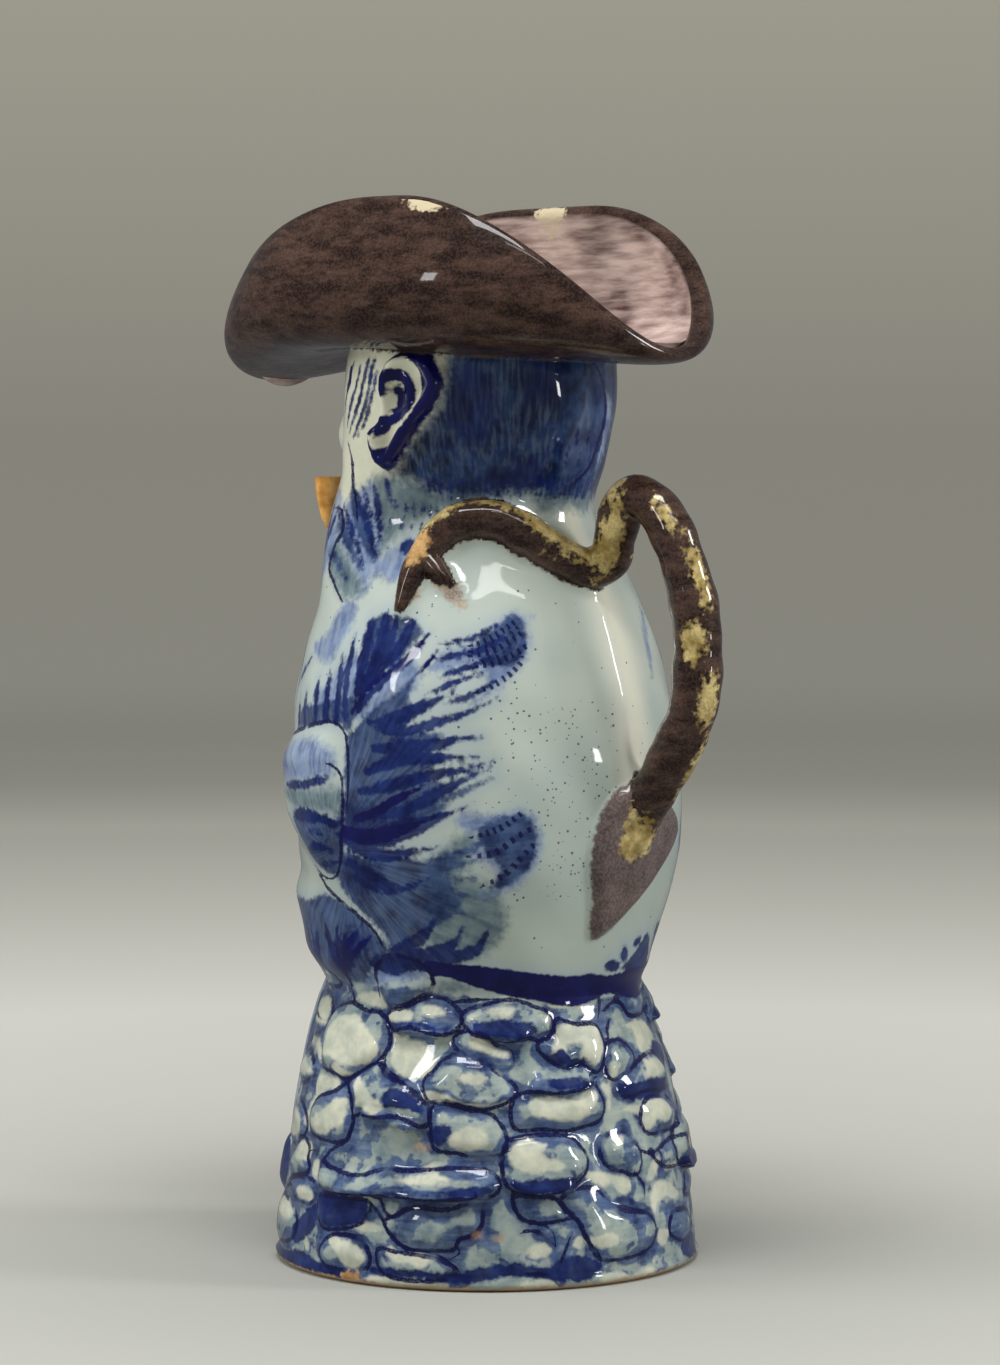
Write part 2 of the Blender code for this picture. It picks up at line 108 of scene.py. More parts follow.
def hermite(values: np.ndarray, tangent: np.ndarray, k: np.ndarray, t: np.ndarray,
            span: np.ndarray) -> np.ndarray:
    """Cubic with given tangents, read at the share t of the span after value k."""
    rise = (3.0 - 2.0 * t) * t * t
    bend = tangent[k] * t * (1.0 - t) ** 2 - tangent[k + 1] * t * t * (1.0 - t)
    return values[k] * (1.0 - rise) + values[k + 1] * rise + span * bend


def tree_of(points: np.ndarray) -> KDTree:
    """The points, ready for the nearest to be looked up."""
    tree = KDTree(len(points))
    for k, point in enumerate(points):
        tree.insert(Vector(point), k)
    tree.balance()
    return tree


def smooth_curve(places: np.ndarray, values: np.ndarray, x: np.ndarray) -> np.ndarray:
    """Cubic through values that doesn't overshoot them.

    Args:
        places: Where the values stand, rising.
        values: The value at each place.
        x: Where the curve is read.

    Returns:
        The curve's value at each x.
    """
    span = np.diff(places)
    slope = np.diff(values) / span
    tangent = np.concatenate(([slope[0]], np.zeros(len(slope) - 1), [slope[-1]]))
    same_way = slope[:-1] * slope[1:] > 0.0
    total = np.where(same_way, slope[:-1] + slope[1:], 1.0)
    tangent[1:-1] = np.where(same_way, 2.0 * slope[:-1] * slope[1:] / total, 0.0)
    x = np.clip(x, places[0], places[-1])
    k = np.clip(np.searchsorted(places, x) - 1, 0, len(span) - 1)
    return hermite(values, tangent, k, (x - places[k]) / span[k], span[k])


def smooth_route(points: np.ndarray, count: int) -> np.ndarray:
    """Evenly spaced points on a smooth curve through a route's own points.

    Args:
        points: The route's points, one a row.
        count: How many points to return.

    Returns:
        The points, from the route's start to its end.
    """
    steps = np.linalg.norm(np.diff(points, axis=0), axis=1) ** 0.5
    knots = np.concatenate(([0.0], np.cumsum(steps)))
    fine = np.linspace(0.0, knots[-1], 12 * count)
    tangent = np.gradient(points, knots, axis=0)
    k = np.clip(np.searchsorted(knots, fine) - 1, 0, len(knots) - 2)
    gap = (knots[k + 1] - knots[k])[:, None]
    curve = hermite(points, tangent, k, (fine - knots[k])[:, None] / gap, gap)
    length = np.concatenate(([0.0], np.cumsum(np.linalg.norm(np.diff(curve, axis=0), axis=1))))
    even = np.linspace(0.0, length[-1], count)
    return np.stack([np.interp(even, length, column) for column in curve.T], axis=-1)


@dataclass(frozen=True)
class TurnedForm:
    """The plain thrown form of the figure, before any relief.

    Attributes:
        profile: Height, radius at the back and radius at the front of each station.
        wall: Thickness of the wall.
        front_to_back: Angles between which the front's radius turns into the back's.
        head_top: Height where the head meets the hat's brim.
        head_top_tilt: How much higher that is at the front, and lower at the back.
        neck: Height of the neck, from which the rings tilt with the head's top.
    """

    profile: tuple[tuple[float, float, float], ...] = (
        (0.0, 49.6, 49.6),
        (3.0, 50.3, 50.3),
        (25.0, 47.4, 47.4),
        (46.0, 43.4, 43.6),
        (60.0, 38.8, 39.4),
        (64.5, 37.8, 38.2),
        (77.5, 40.3, 40.4),
        (98.0, 44.7, 44.7),
        (112.0, 45.3, 45.1),
        (130.0, 43.6, 45.2),
        (142.0, 41.0, 42.8),
        (154.0, 36.4, 39.4),
        (166.0, 29.8, 37.6),
        (176.5, 25.0, 36.0),
        (187.0, 27.8, 33.6),
        (201.0, 30.4, 33.4),
        (208.0, 30.6, 33.0),
        (215.0, 30.1, 31.9),
    )
    wall: float = 4.8
    front_to_back: tuple[float, float] = (45.0, 105.0)
    head_top: float = 212.5
    head_top_tilt: float = 2.0
    neck: float = 176.5

    def sides(self, height: np.ndarray) -> tuple[np.ndarray, np.ndarray]:
        """Radius at the back and at the front for each height."""
        stations = np.array(self.profile)
        back = smooth_curve(stations[:, 0], stations[:, 1], height)
        return back, smooth_curve(stations[:, 0], stations[:, 2], height)

    def radius(self, angle: np.ndarray, height: np.ndarray) -> np.ndarray:
        """Radius of the plain form at each angle and height."""
        back, front = self.sides(height)
        return front + (back - front) * ease(*self.front_to_back, np.abs(turn(angle)))

    def cavity(self, height: np.ndarray) -> np.ndarray:
        """Radius of the turned cavity: the slimmer of back and front, less the wall."""
        return np.minimum(*self.sides(height)) - self.wall

    def brim_foot(self, angle: np.ndarray) -> tuple[np.ndarray, np.ndarray]:
        """Radius and height where the head meets the brim."""
        height = self.head_top + self.head_top_tilt * np.cos(np.radians(angle))
        return self.radius(angle, height), height


@dataclass(frozen=True)
class Mark:
    """One mark laid on the wall, drawn through places that are an angle and a height each.

    Attributes:
        points: The places that it runs through.
        width: Its greatest width, or 0 for an area that is only outlined.
        start: Width at its start, as a share of the greatest.
        end: Width at its end, as a share of the greatest.
        closed: Whether it is an area with a closed outline.
    """

    points: Points
    width: float = 0.0
    start: float = 0.35
    end: float = 0.0
    closed: bool = False

    def moved(self, side: float, shift: float) -> "Mark":
        """A copy mirrored when side is -1, and turned round the wall by shift."""
        places = tuple((side * angle + shift, height) for angle, height in self.points)
        return Mark(places, self.width, self.start, self.end, self.closed)

    def middle(self) -> float:
        """Mean angle of the mark."""
        return float(np.mean([angle for angle, _ in self.points]))

    def sampled(self, radius: float, step: float) -> np.ndarray:
        """Places on the smooth curve through the mark's points.

        Args:
            radius: Radius of the wall at the mark.
            step: Greatest distance between two places.

        Returns:
            Angle and height of each place, one a row, the first repeated last on a closed mark.
        """
        scale = np.array([np.radians(1.0) * radius, 1.0])
        places = np.array(self.points) * scale
        if self.closed:
            knots = np.vstack((places[-1:], places, places[:2]))
        else:
            knots = np.vstack((2.0 * places[:1] - places[1:2], places, 2.0 * places[-1:] - places[-2:-1]))
        curve = []
        for before, here, there, after in zip(knots, knots[1:], knots[2:], knots[3:]):
            count = max(2, int(np.ceil(np.linalg.norm(there - here) / step)))
            t = np.linspace(0.0, 1.0, count, endpoint=False)[:, None]
            square, cube = t * t, t * t * t
            bend = 2.0 * before - 5.0 * here + 4.0 * there - after
            turning = 3.0 * here - before - 3.0 * there + after
            curve.append(0.5 * (2.0 * here + (there - before) * t + bend * square + turning * cube))
        curve.append(knots[-2][None])
        return np.vstack(curve) / scale


@dataclass(frozen=True)
class Trace:
    """What a mark measures at the places near it.

    Attributes:
        near: Indices of those places.
        distance: Distance from the drawn curve.
        side: The same with a sign: which side of the curve a place is on.
        share: How far along the curve its nearest point is, from 0 to 1.
        inside: Whether it lies inside a closed mark.
    """

    near: np.ndarray
    distance: np.ndarray
    side: np.ndarray
    share: np.ndarray
    inside: np.ndarray

    @property
    def depth(self) -> np.ndarray:
        """Depth inside a closed mark, negative outside it."""
        return np.where(self.inside, self.distance, -self.distance)


@dataclass
class Wall:
    """Places on the unrolled wall.

    Attributes:
        angle: Angle of each place round the jug.
        height: Height of each.
        radius: Radius of each.
        step: Longest step between two points of a mark's curve.
    """

    angle: np.ndarray
    height: np.ndarray
    radius: np.ndarray
    step: float = 1.4

    def trace(self, mark: Mark, margin: float = FAR) -> Trace:
        """Measures the places near a mark against it.

        Args:
            mark: The mark to measure against.
            margin: How far from the mark a place is still measured.

        Returns:
            The measures at those places.
        """
        drawn = np.array(mark.points)
        middle = mark.middle()
        mean_radius = float(np.interp(drawn[:, 1].mean(), RADIUS_HEIGHTS, RADIUS_VALUES))
        curve = mark.sampled(mean_radius, self.step)
        curve[:, 0] -= middle
        aside = np.degrees(margin / mean_radius)
        offset = turn(self.angle - middle)
        near = np.flatnonzero(
            (offset > curve[:, 0].min() - aside)
            & (offset < curve[:, 0].max() + aside)
            & (self.height > curve[:, 1].min() - margin)
            & (self.height < curve[:, 1].max() + margin)
        )
        scale = np.radians(1.0) * self.radius[near]
        x, y = offset[near] * scale, self.height[near]
        lengths = np.hypot(np.diff(curve[:, 0]) * np.radians(1.0) * mean_radius, np.diff(curve[:, 1]))
        marks = np.concatenate(([0.0], np.cumsum(lengths))) / max(lengths.sum(), 1e-6)
        best = np.full(near.shape, np.inf)
        side = np.zeros(near.shape)
        share = np.zeros(near.shape)
        inside = np.zeros(near.shape, bool)
        for k in range(len(curve) - 1):
            ax, ay = curve[k, 0] * scale, curve[k, 1]
            bx, by = curve[k + 1, 0] * scale, curve[k + 1, 1]
            dx, dy = bx - ax, by - ay
            t = np.clip(((x - ax) * dx + (y - ay) * dy) / (dx * dx + dy * dy + 1e-9), 0.0, 1.0)
            away = np.hypot(x - ax - t * dx, y - ay - t * dy)
            closer = away < best
            best = np.where(closer, away, best)
            cross = dx * (y - ay) - dy * (x - ax)
            side = np.where(closer, np.where(cross < 0.0, -away, away), side)
            share = np.where(closer, marks[k] + t * (marks[k + 1] - marks[k]), share)
            if mark.closed and ay != by:
                crosses = (ay > y) != (by > y)
                inside ^= crosses & (x < ax + (y - ay) / (by - ay) * dx)
        return Trace(near, best, side, share, inside)


RADIUS_HEIGHTS = np.array([station[0] for station in TurnedForm().profile])
RADIUS_VALUES = np.array([station[2] for station in TurnedForm().profile])


@dataclass(frozen=True)
class Pad:
    """A soft swelling or hollow pressed on the wall, an ellipse on the unrolled surface.

    Attributes:
        angle: Angle of its middle.
        height: Height of its middle.
        half_width: Its reach along the wall.
        half_height: Its reach up and down.
        rise: How far it stands out.
        tilt: How far it is turned, in degrees.
        edge: Share of its reach over which it fades.
        mirrored: Whether it has a twin on the figure's other side.
    """

    angle: float
    height: float
    half_width: float
    half_height: float
    rise: float
    tilt: float = 0.0
    edge: float = 0.8
    mirrored: bool = True

    def reach(self, form: TurnedForm, angle: np.ndarray, height: np.ndarray, side: float) -> np.ndarray:
        """How far out in its ellipse each place lies: 0 at its middle, 1 at its edge."""
        scale = np.radians(1.0) * form.radius(side * self.angle, self.height)
        u, v = turn(angle - side * self.angle) * scale, height - self.height
        slant = np.radians(self.tilt) * side
        along = u * np.cos(slant) + v * np.sin(slant)
        across = v * np.cos(slant) - u * np.sin(slant)
        return np.hypot(along / self.half_width, across / self.half_height)

    def relief(self, form: TurnedForm, angle: np.ndarray, height: np.ndarray) -> np.ndarray:
        """How far it stands out at each place, its twin included."""
        total = np.zeros(np.shape(angle))
        for side in (1.0, -1.0) if self.mirrored else (1.0,):
            fade = ease(1.0 - self.edge, 1.0, self.reach(form, angle, height, side))
            total = total + self.rise * (1.0 - fade)
        return total


@dataclass(frozen=True)
class Lump:
    """A modelled swelling with a drawn outline.

    Attributes:
        outline: The closed outline that it fills.
        rise: How far it stands out.
        shoulder: Distance inside its outline over which it rises.
        skirt: Distance outside its outline over which it dies away.
        twin: Whether it has a mirrored twin.
    """

    outline: Points
    rise: float
    shoulder: float
    skirt: float = 0.8
    twin: bool = True

    def relief(self, wall: Wall) -> np.ndarray:
        """How far it stands out at each place of the wall."""
        total = np.zeros(wall.angle.shape)
        for side in (1.0, -1.0) if self.twin else (1.0,):
            trace = wall.trace(Mark(self.outline, closed=True).moved(side, 0.0), self.skirt + 0.5)
            swelling = self.rise * ease(-self.skirt, self.shoulder, trace.depth)
            total[trace.near] = np.maximum(total[trace.near], swelling)
        return total


# Outline of each stone that the left side shows, and how far it stands out.
STONES: tuple[tuple[Points, float], ...] = (
    (path(65, 60, 70, 61.5, 76, 62.3, 84, 61, 91, 60.8, 95, 58.5, 97, 54, 94.5, 50.5, 88, 47.5,
        82, 45.4, 76, 46.4, 69, 47.2, 65.5, 50.5, 62.5, 55.5), 2.7),
    (path(65, 37, 69, 40.3, 75, 41.6, 80, 43.5, 83, 44.5, 86, 41, 88, 36.5, 86.5, 32.5, 82, 31, 75, 31,
        68, 31.8, 65.5, 34), 2.1),
    (path(94.5, 50, 98, 47.3, 104, 46, 109, 43.8, 113, 41.5, 114.3, 39, 113, 36.5, 108, 38, 103, 38.8,
        97, 38, 91, 38.5, 88, 37.5, 86.8, 41, 84, 44.6, 88, 47.3), 3.3),
    (path(92, 62.2, 97, 62.6, 101, 63, 106, 65, 110.5, 66.3, 112, 69, 111, 71.5, 107, 73.5, 99, 74.5,
        93, 73, 89.5, 69.5, 89, 65), 3.0),
    (path(94, 61.3, 101, 62.5, 110.5, 65.3, 116, 64.8, 121, 62.5, 122.5, 60.5, 121, 58.3, 116, 57,
        110, 57.7, 104, 58.3, 98, 57.3, 95, 59), 2.8),
    (path(111, 46.5, 114, 49, 118, 52, 123, 52.6, 129, 51.5, 134, 49, 137, 47.5, 140.3, 45, 137.5, 42.5,
        131, 40.7, 126, 41.1, 119, 42.4, 113, 42.3), 2.1),
    (path(114.5, 41, 119, 41.8, 126, 40.5, 131, 40, 134.5, 38, 136.5, 35, 136.5, 32, 134, 30.5, 128, 30,
        122, 31, 116, 31.7, 114.5, 36), 2.2),
    (path(76, 26.8, 80, 25.5, 86, 24.9, 92, 24.7, 97, 25.6, 102, 26.9, 107, 26.6, 113, 27, 120, 27.6,
        127, 27.6, 132, 27, 134.5, 24.5, 133, 21.8, 125, 21.2, 115, 20.6, 105, 20.9, 97, 20.6, 88, 20,
        80, 19.5, 76, 21.5), 3.2),
    (path(121, 57.3, 126, 57.8, 131, 57, 134, 54.8, 138, 53.6, 139.5, 51.6, 138.5, 49.6, 135.5, 49.4,
        129, 52, 122, 53.4, 119.5, 55), 1.7),
    (path(138.5, 42, 141, 44, 146, 44.6, 151, 44, 155, 44.2, 160, 44.7, 164, 45.8, 167, 44, 168.5, 40,
        166, 37, 160, 36, 155, 35.4, 147, 36, 140, 36, 138, 38.5), 2.3),
    (path(136.5, 33.5, 141, 34.6, 147, 34.9, 155, 34.3, 158, 32.5, 160.5, 30, 160.8, 27, 159, 25,
        155, 22.8, 150, 22, 143, 21.6, 138, 22.8, 135.5, 25.5, 135.3, 30), 3.0),
    (path(122.5, 62, 129, 63.4, 136, 64.8, 142, 64.5, 149, 62.8, 153, 61.8, 154.5, 60, 153, 57,
        149.5, 55.4, 145, 56.2, 140, 55.7, 132, 56.3, 126, 57.6, 122.7, 59.5), 2.4),
    (path(147.5, 55, 149, 52.5, 153, 50.2, 157, 49.2, 162, 50, 166, 47.8, 169, 48.5, 172, 52, 172.5, 55,
        171, 58, 167, 58.6, 162, 58.8, 157, 60, 155, 59.8, 153.4, 57), 2.8),
    (path(166, 32.8, 170, 34, 175, 34, 178, 32, 181, 29, 181, 26, 178.5, 23.8, 173, 25, 168, 26.5,
        165.5, 29.5), 1.9),
    (path(170.5, 49, 172.5, 53, 176, 54.4, 180, 54.2, 184, 52.5, 186, 50, 183, 48, 178, 46.5,
        173, 45.7), 1.5),
    (path(175, 44.4, 178, 46.2, 183, 47.7, 190, 49.5, 200, 50, 206, 47, 205, 42.5, 198, 41.6, 188, 42,
        180, 41.4, 176, 42.2), 1.9),
    (path(183, 63, 187, 61.8, 188.8, 59.6, 193, 58.7, 203, 58.8, 209, 61, 206, 64.5, 195, 65.3,
        186, 64.5), 1.7),
    (path(186, 28.5, 190, 28.5, 197, 29.8, 206, 30, 209, 26, 204, 23.5, 194, 24, 189, 25.5), 1.8),
    (path(188, 40.2, 200, 39.6, 207, 37, 205, 33, 196, 32, 186, 32.5, 183.5, 36), 1.5),
    (path(105, 16.3, 108, 18, 113, 18.7, 120, 18.4, 127, 20, 129.7, 18, 129, 14.5, 126.5, 12.8,
        123.3, 12, 122.3, 9.6, 115, 9.2, 109, 9.5, 104.3, 12.3, 102, 15), 1.5),
    (path(84, 10.2, 92, 10.7, 96, 9.4, 98.3, 6.5, 97.3, 4, 90, 3, 82, 3.3, 79.5, 6.5), 1.3),
    (path(76.5, 18.5, 77.5, 14, 79.5, 11.8, 83, 11.4, 88, 12, 94, 13.6, 96.8, 16, 96.5, 19, 88, 19,
        81, 18.8), 1.4),
    (path(138.3, 21.3, 138.7, 18.5, 141, 16.2, 146, 15.2, 151, 15.6, 154.5, 16.2, 152.5, 18,
        150.3, 20.6, 144, 21.2), 1.3),
    (path(158.7, 11.3, 156.3, 15.6, 153, 18.3, 151.7, 20.4, 157, 22.4, 163, 22, 167, 18.3, 175, 16.4,
        182, 14.2, 183.7, 10.5, 180, 7, 170, 5.6, 162, 6.5), 1.7),
    (path(190.5, 9, 191.3, 11.7, 194, 13.5, 200, 13.6, 206, 12, 205, 8, 198, 6.3), 1.4),
    (path(100.5, 8.8, 106, 8.4, 113, 8, 119, 7, 122.8, 5.2, 119, 2.6, 108, 2.4, 101.5, 4), 1.2),
    (path(44, 48.6, 52, 49, 57, 48.4, 61, 47.2, 64, 45.4, 60, 43.2, 54, 42, 45, 41.6), 1.9),
    (path(46, 37.6, 54, 38, 61, 36, 64, 32.5, 60, 29, 53, 27.6, 45, 28.4), 1.6),
    (path(54, 20.5, 58, 20.8, 64, 21.9, 68, 22.5, 68.8, 24.5, 67, 26, 67.3, 28.3, 62, 30.5, 56, 28,
        51, 24), 1.7),
    (path(50, 17, 56, 18.5, 61, 16.7, 66, 16.2, 72, 15.9, 75, 18, 74, 21, 66, 21.4, 58, 20.2, 52, 19), 1.3),
    (path(44, 14.6, 55, 15.3, 63, 13.8, 66.5, 11, 64, 7, 55, 5, 45, 5.4), 1.3),
    (path(44, 62.4, 52, 63, 59, 61.4, 63, 58.6, 61, 55.4, 54, 53.6, 45, 53.8), 1.7),
    (path(45, 71, 52, 71.4, 60, 69.4, 66, 66.6, 62, 65, 52, 64.8, 45, 65.4), 1.4),
)
# Drawn lines that bound no modelled stone.
SEAMS: tuple[Points, ...] = (
    path(74.5, 64, 75.5, 62.8, 77, 62),
    path(120, 64.2, 126, 64.7, 133, 65),
    path(111.5, 71.5, 112.3, 68.5, 110.8, 66),
    path(88.2, 36, 86.5, 32, 81, 29.8, 77.5, 27.6, 76, 24, 76, 19, 77, 14.5),
    path(83, 45, 79.5, 42.6, 72, 41.2, 67, 39.6),
    path(96, 51, 97.5, 48.6, 103, 46.4, 109, 44.3),
    path(97, 20.3, 100, 19.8, 102, 17, 105, 16, 110, 18.2, 118, 18),
    path(98, 18, 101, 15.5, 104, 12, 109, 9.3, 115, 9, 119, 7.8, 123, 5.5, 124.5, 3),
    path(128, 22, 130, 18, 129, 14, 127, 12.5, 123.5, 12, 122.5, 10.5, 124, 9, 121.5, 7.5),
    path(135.5, 27, 134.5, 30, 136.5, 31.5),
    path(138, 22, 138.5, 18.5, 141, 16, 146, 15, 149, 13, 149.5, 10),
    path(141, 13.5, 144, 13.6, 147, 12, 149, 10.5),
    path(150, 20.5, 152.5, 18, 156, 15.5, 158.5, 11, 162, 7.5, 163, 4),
    path(150, 5, 152, 8.5, 154, 12),
    path(142, 4, 147, 3.6, 149.5, 1.6, 151.5, 0.4),
    path(165, 18.5, 168, 17.5, 173, 16, 178, 15.3, 182, 13.8, 184, 10),
    path(178, 24, 181, 21.5, 181, 19),
    path(181, 29, 186, 28, 190, 28.3, 190.5, 25.5),
    path(178, 58.5, 175.5, 56.5, 176, 54.5),
    path(177, 61, 182, 62.6, 186, 62, 188.5, 59.5, 193, 58.5, 203, 58.8),
    path(174.5, 66, 175.5, 63, 173, 59.5),
    path(155, 66, 160, 65.6, 168, 64.8),
    path(190.5, 9, 191, 11.5, 194, 13.5, 200, 13),
    path(85, 10.6, 92, 11, 97, 9, 98.7, 6, 97, 2.8),
    path(53, 19.5, 58, 20.6, 64, 21.8, 68, 22.3, 69, 24, 67, 25.6, 67.5, 27.6, 71, 28),
    path(44, 15.8, 50, 17, 56, 18.4, 61, 16.5, 66, 16, 70, 15.7),
    path(44, 41, 52, 41.4, 58, 43, 64, 45.3),
    path(57, 48, 61, 47, 64, 45.4),
    path(65, 60.5, 62, 58, 62.3, 55, 66, 51),
    path(44, 57, 50, 58, 55, 57.4, 62, 57),
)
# Places that the blue wash leaves bare, mostly at the stones' middles.
HEARTS: tuple[Points, ...] = (
    path(68, 56, 71, 58.6, 77, 60.2, 84, 60, 89, 57.5, 92, 55, 94, 52.5, 92, 50, 88, 49.2, 82, 49,
        76, 50.2, 70, 50.6, 68.5, 53.5),
    path(76, 48.4, 81, 47.8, 84.5, 46.9, 82, 46.4, 76, 47.2),
    path(66.3, 35.6, 70, 36.5, 76, 38, 80, 40.5, 84, 41, 85.3, 38, 84, 35.2, 79, 33.8, 74, 32.5,
        69, 33),
    path(66, 44.8, 72, 46, 78, 45, 79, 43.4, 73, 41.9, 67, 41.2),
    path(87.5, 46.3, 90, 46, 94, 43.6, 98, 42, 99.8, 40.2, 96, 39.2, 91, 40.4, 89.5, 43),
    path(98, 53.8, 101, 54.8, 108, 54.6, 113, 53.3, 115, 51, 112, 47.6, 107, 46.9, 101, 48.6,
        97.5, 50.8),
    path(76, 62.8, 80, 64.8, 90, 64.8, 93, 62.6, 91, 61.6, 85, 61.8),
    path(94, 59.8, 96, 61.6, 101, 62, 105, 61.4, 104, 60, 98, 59.4),
    path(98, 56.3, 103, 56, 102, 55.2, 98.5, 55.2),
    path(108, 63.2, 113, 63.4, 117, 61.4, 113, 61.2, 108, 62),
    path(120.5, 46.8, 122.5, 48.8, 130, 48.8, 134, 47.2, 131, 46.1, 125, 45.9),
    path(112, 43.9, 119, 43.3, 127, 42, 137, 42.6, 137, 41.4, 129, 41.2, 119, 42.6, 112, 43),
    path(120.3, 33.5, 122.5, 36.2, 126, 37.5, 130, 37, 132.5, 35, 131, 32.8, 127, 32, 122, 32.4),
    path(125, 55.2, 126.5, 57, 131, 56, 134, 54, 138, 52.8, 137, 51.6, 131, 53, 126, 54),
    path(144, 40.2, 144, 42.6, 150, 43.3, 157, 42.4, 162, 44.2, 165, 43.2, 164, 41, 160, 38.4,
        155, 37.9, 149, 38.9),
    path(137.3, 28.6, 138, 33, 143, 34, 147, 32.7, 146, 30.6, 150, 29, 153, 28.2, 150, 27.1,
        141, 27.3),
    path(155, 58.8, 160, 59.4, 166, 58.6, 171, 57.2, 170, 53, 166, 50, 161, 51.2, 163, 54.4, 157, 54.8,
        155.5, 51.5, 152, 52, 154.5, 56),
    path(123.6, 61, 128, 62.5, 136, 63.4, 141, 62.6, 138, 60.6, 130, 61, 124, 59.6),
    path(148, 62, 151, 61.6, 153.4, 60.4, 152, 58, 150.3, 59.4),
    path(168.5, 31, 171, 33, 175, 32.8, 173, 31.4, 172, 29.8, 169.5, 29.6),
    path(158, 26, 163, 25.6, 170, 24.7, 176, 22.6, 175, 20.4, 171, 20.6, 168.6, 22.6, 166, 21.6,
        162, 24),
    path(171.5, 47, 173, 49.6, 177, 50, 178, 48.4, 175, 46.2, 172, 44.6),
    path(168.5, 45, 170, 42, 169, 39, 171, 38.4, 172, 41, 171.5, 44.6),
    path(179, 56.4, 187, 57.2, 196, 57.6, 204, 56, 207, 53, 200, 50.4, 191, 50.6, 191, 54, 189, 56.2,
        183, 56.8),
    path(190, 49, 199, 49.3, 203, 47, 200, 45, 191, 44.6, 186, 45.2, 189, 47.2),
    path(174, 39.4, 181, 39.4, 190, 39.8, 198, 38.8, 200, 36, 196, 34.6, 190, 35, 187, 33, 183, 33.4,
        183, 37, 177, 38.6),
    path(184, 24.4, 187, 27, 189.5, 27.4, 189, 25, 185, 22.4, 182.5, 22),
    path(183, 17.6, 185, 19.8, 191, 20.6, 197, 19, 201, 17.4, 198, 16.2, 190, 18, 185.4, 16, 184.6, 12,
        187, 10.4, 190, 10.6, 190, 8.6, 187, 6.8, 184.4, 8.6, 184.8, 11),
    path(193, 24.8, 203, 24.6, 206, 22.8, 196, 23),
    path(152, 63.2, 160, 62.4, 170, 62, 173, 62.6, 165, 63.4, 156, 64),
    path(137, 65.6, 146, 64.8, 152, 63.6, 146, 63.9, 138, 64.9),
    path(104, 10.5, 107, 8.6, 115, 8.3, 118, 6.6, 114, 5.2, 107, 5.8, 103.4, 8),
    path(92, 13.2, 97, 14.2, 101, 14, 102.6, 12.4, 97, 11.6, 93, 11.9),
    path(84, 9.4, 90, 10.1, 94, 8.4, 97, 6.4, 95, 4.2, 91, 4.2, 88, 6.4),
    path(110, 25.6, 117, 26.3, 121, 25, 116, 24, 108, 24.4, 104.6, 25),
    path(142, 9.4, 145, 11, 148, 9.6, 146, 7.8, 143, 7.6),
    path(154, 10.4, 157, 12, 158, 9.6, 156, 9),
    path(158, 11, 165, 12, 170, 10.4, 166, 9.2, 161, 9.4),
    path(139, 1.2, 141, 2.9, 147, 3, 150, 1.4, 150, 0, 139, 0),
    path(162, 2.6, 166, 3.4, 172, 2.4, 180, 2.2, 179, 0.4, 163, 0.4),
    path(98, 2.2, 106, 2.6, 118, 2.3, 119, 0.4, 99, 0.4),
    path(183, 4.4, 189, 4.4, 188, 3.6, 183, 3.8),
    path(112, 27.6, 118, 29.6, 120, 28.6, 116, 27),
    path(46, 70.2, 52, 70.6, 58, 69.4, 60, 68, 55, 67, 47, 67.2),
    path(46, 60, 52, 62, 58, 61.4, 62, 59, 60, 56, 54, 56, 47, 57),
    path(44, 51.6, 54, 52.4, 62, 50.8, 66, 47.8, 60, 49.6, 52, 50.4, 44, 50.2),
    path(46, 47.4, 55, 47.5, 61, 46, 62, 44.8, 56, 44, 47, 44.2),
    path(44, 35, 52, 36, 58, 34.4, 60, 31.5, 55, 29.5, 45, 30),
    path(62, 36, 65, 39.4, 66.4, 38.6, 64.6, 35.4, 66, 31.8, 63, 33),
    path(58, 27, 61, 29.5, 66, 29.8, 69, 28.5, 66.5, 25.5, 60, 25.3),
    path(71, 25.4, 74, 26, 74.6, 22, 71.6, 22, 70.2, 23.4),
    path(65, 18.8, 71, 19.5, 74, 18, 72, 16.6, 65, 16.9),
    path(48, 14.6, 57, 15.4, 63, 13.6, 64, 11.5, 57, 10.6, 48, 11.6),
    path(69, 8.6, 72, 10, 75, 7.4, 74, 5, 71.4, 6),
)
# Thin grey-green washes on the rocks.
TINTS: tuple[Points, ...] = (
    path(113, 66.4, 115, 68.6, 122, 68.7, 126, 67.4, 122, 66.6, 118, 65.8),
    path(91, 62.6, 92, 66.4, 98, 66.2, 105, 65.4, 104, 63.4, 97, 62.8),
    path(88, 31.5, 90, 35.4, 96, 36.2, 104, 35, 110, 33.6, 116, 31, 112, 28, 104, 28, 96, 29.6,
        90, 30.6),
    path(105, 14.6, 108, 16.8, 114, 17.6, 120, 17, 128, 19, 129, 15, 126, 12.6, 121, 11.6, 112, 11.4,
        106, 12.4),
    path(128, 10, 131, 17, 135, 20, 139, 16, 140, 11, 137, 8, 131, 7),
    path(140, 20.4, 145, 20.8, 151, 19.4, 155, 17, 151, 16, 144, 16.4, 140.4, 17.8),
    path(156, 19, 160, 20, 164, 18, 163, 15.6, 157, 15.4),
    path(137, 55, 143, 55.4, 146, 53.4, 150, 50, 157, 47.8, 152, 46.4, 145, 46.8, 141, 49, 139.6, 53),
    path(45, 8.5, 56, 9.5, 64, 8, 66, 5.4, 56, 4.2, 45, 4.4),
    path(192, 10, 196, 12.4, 203, 11.6, 203, 8.6, 196, 7.8),
)
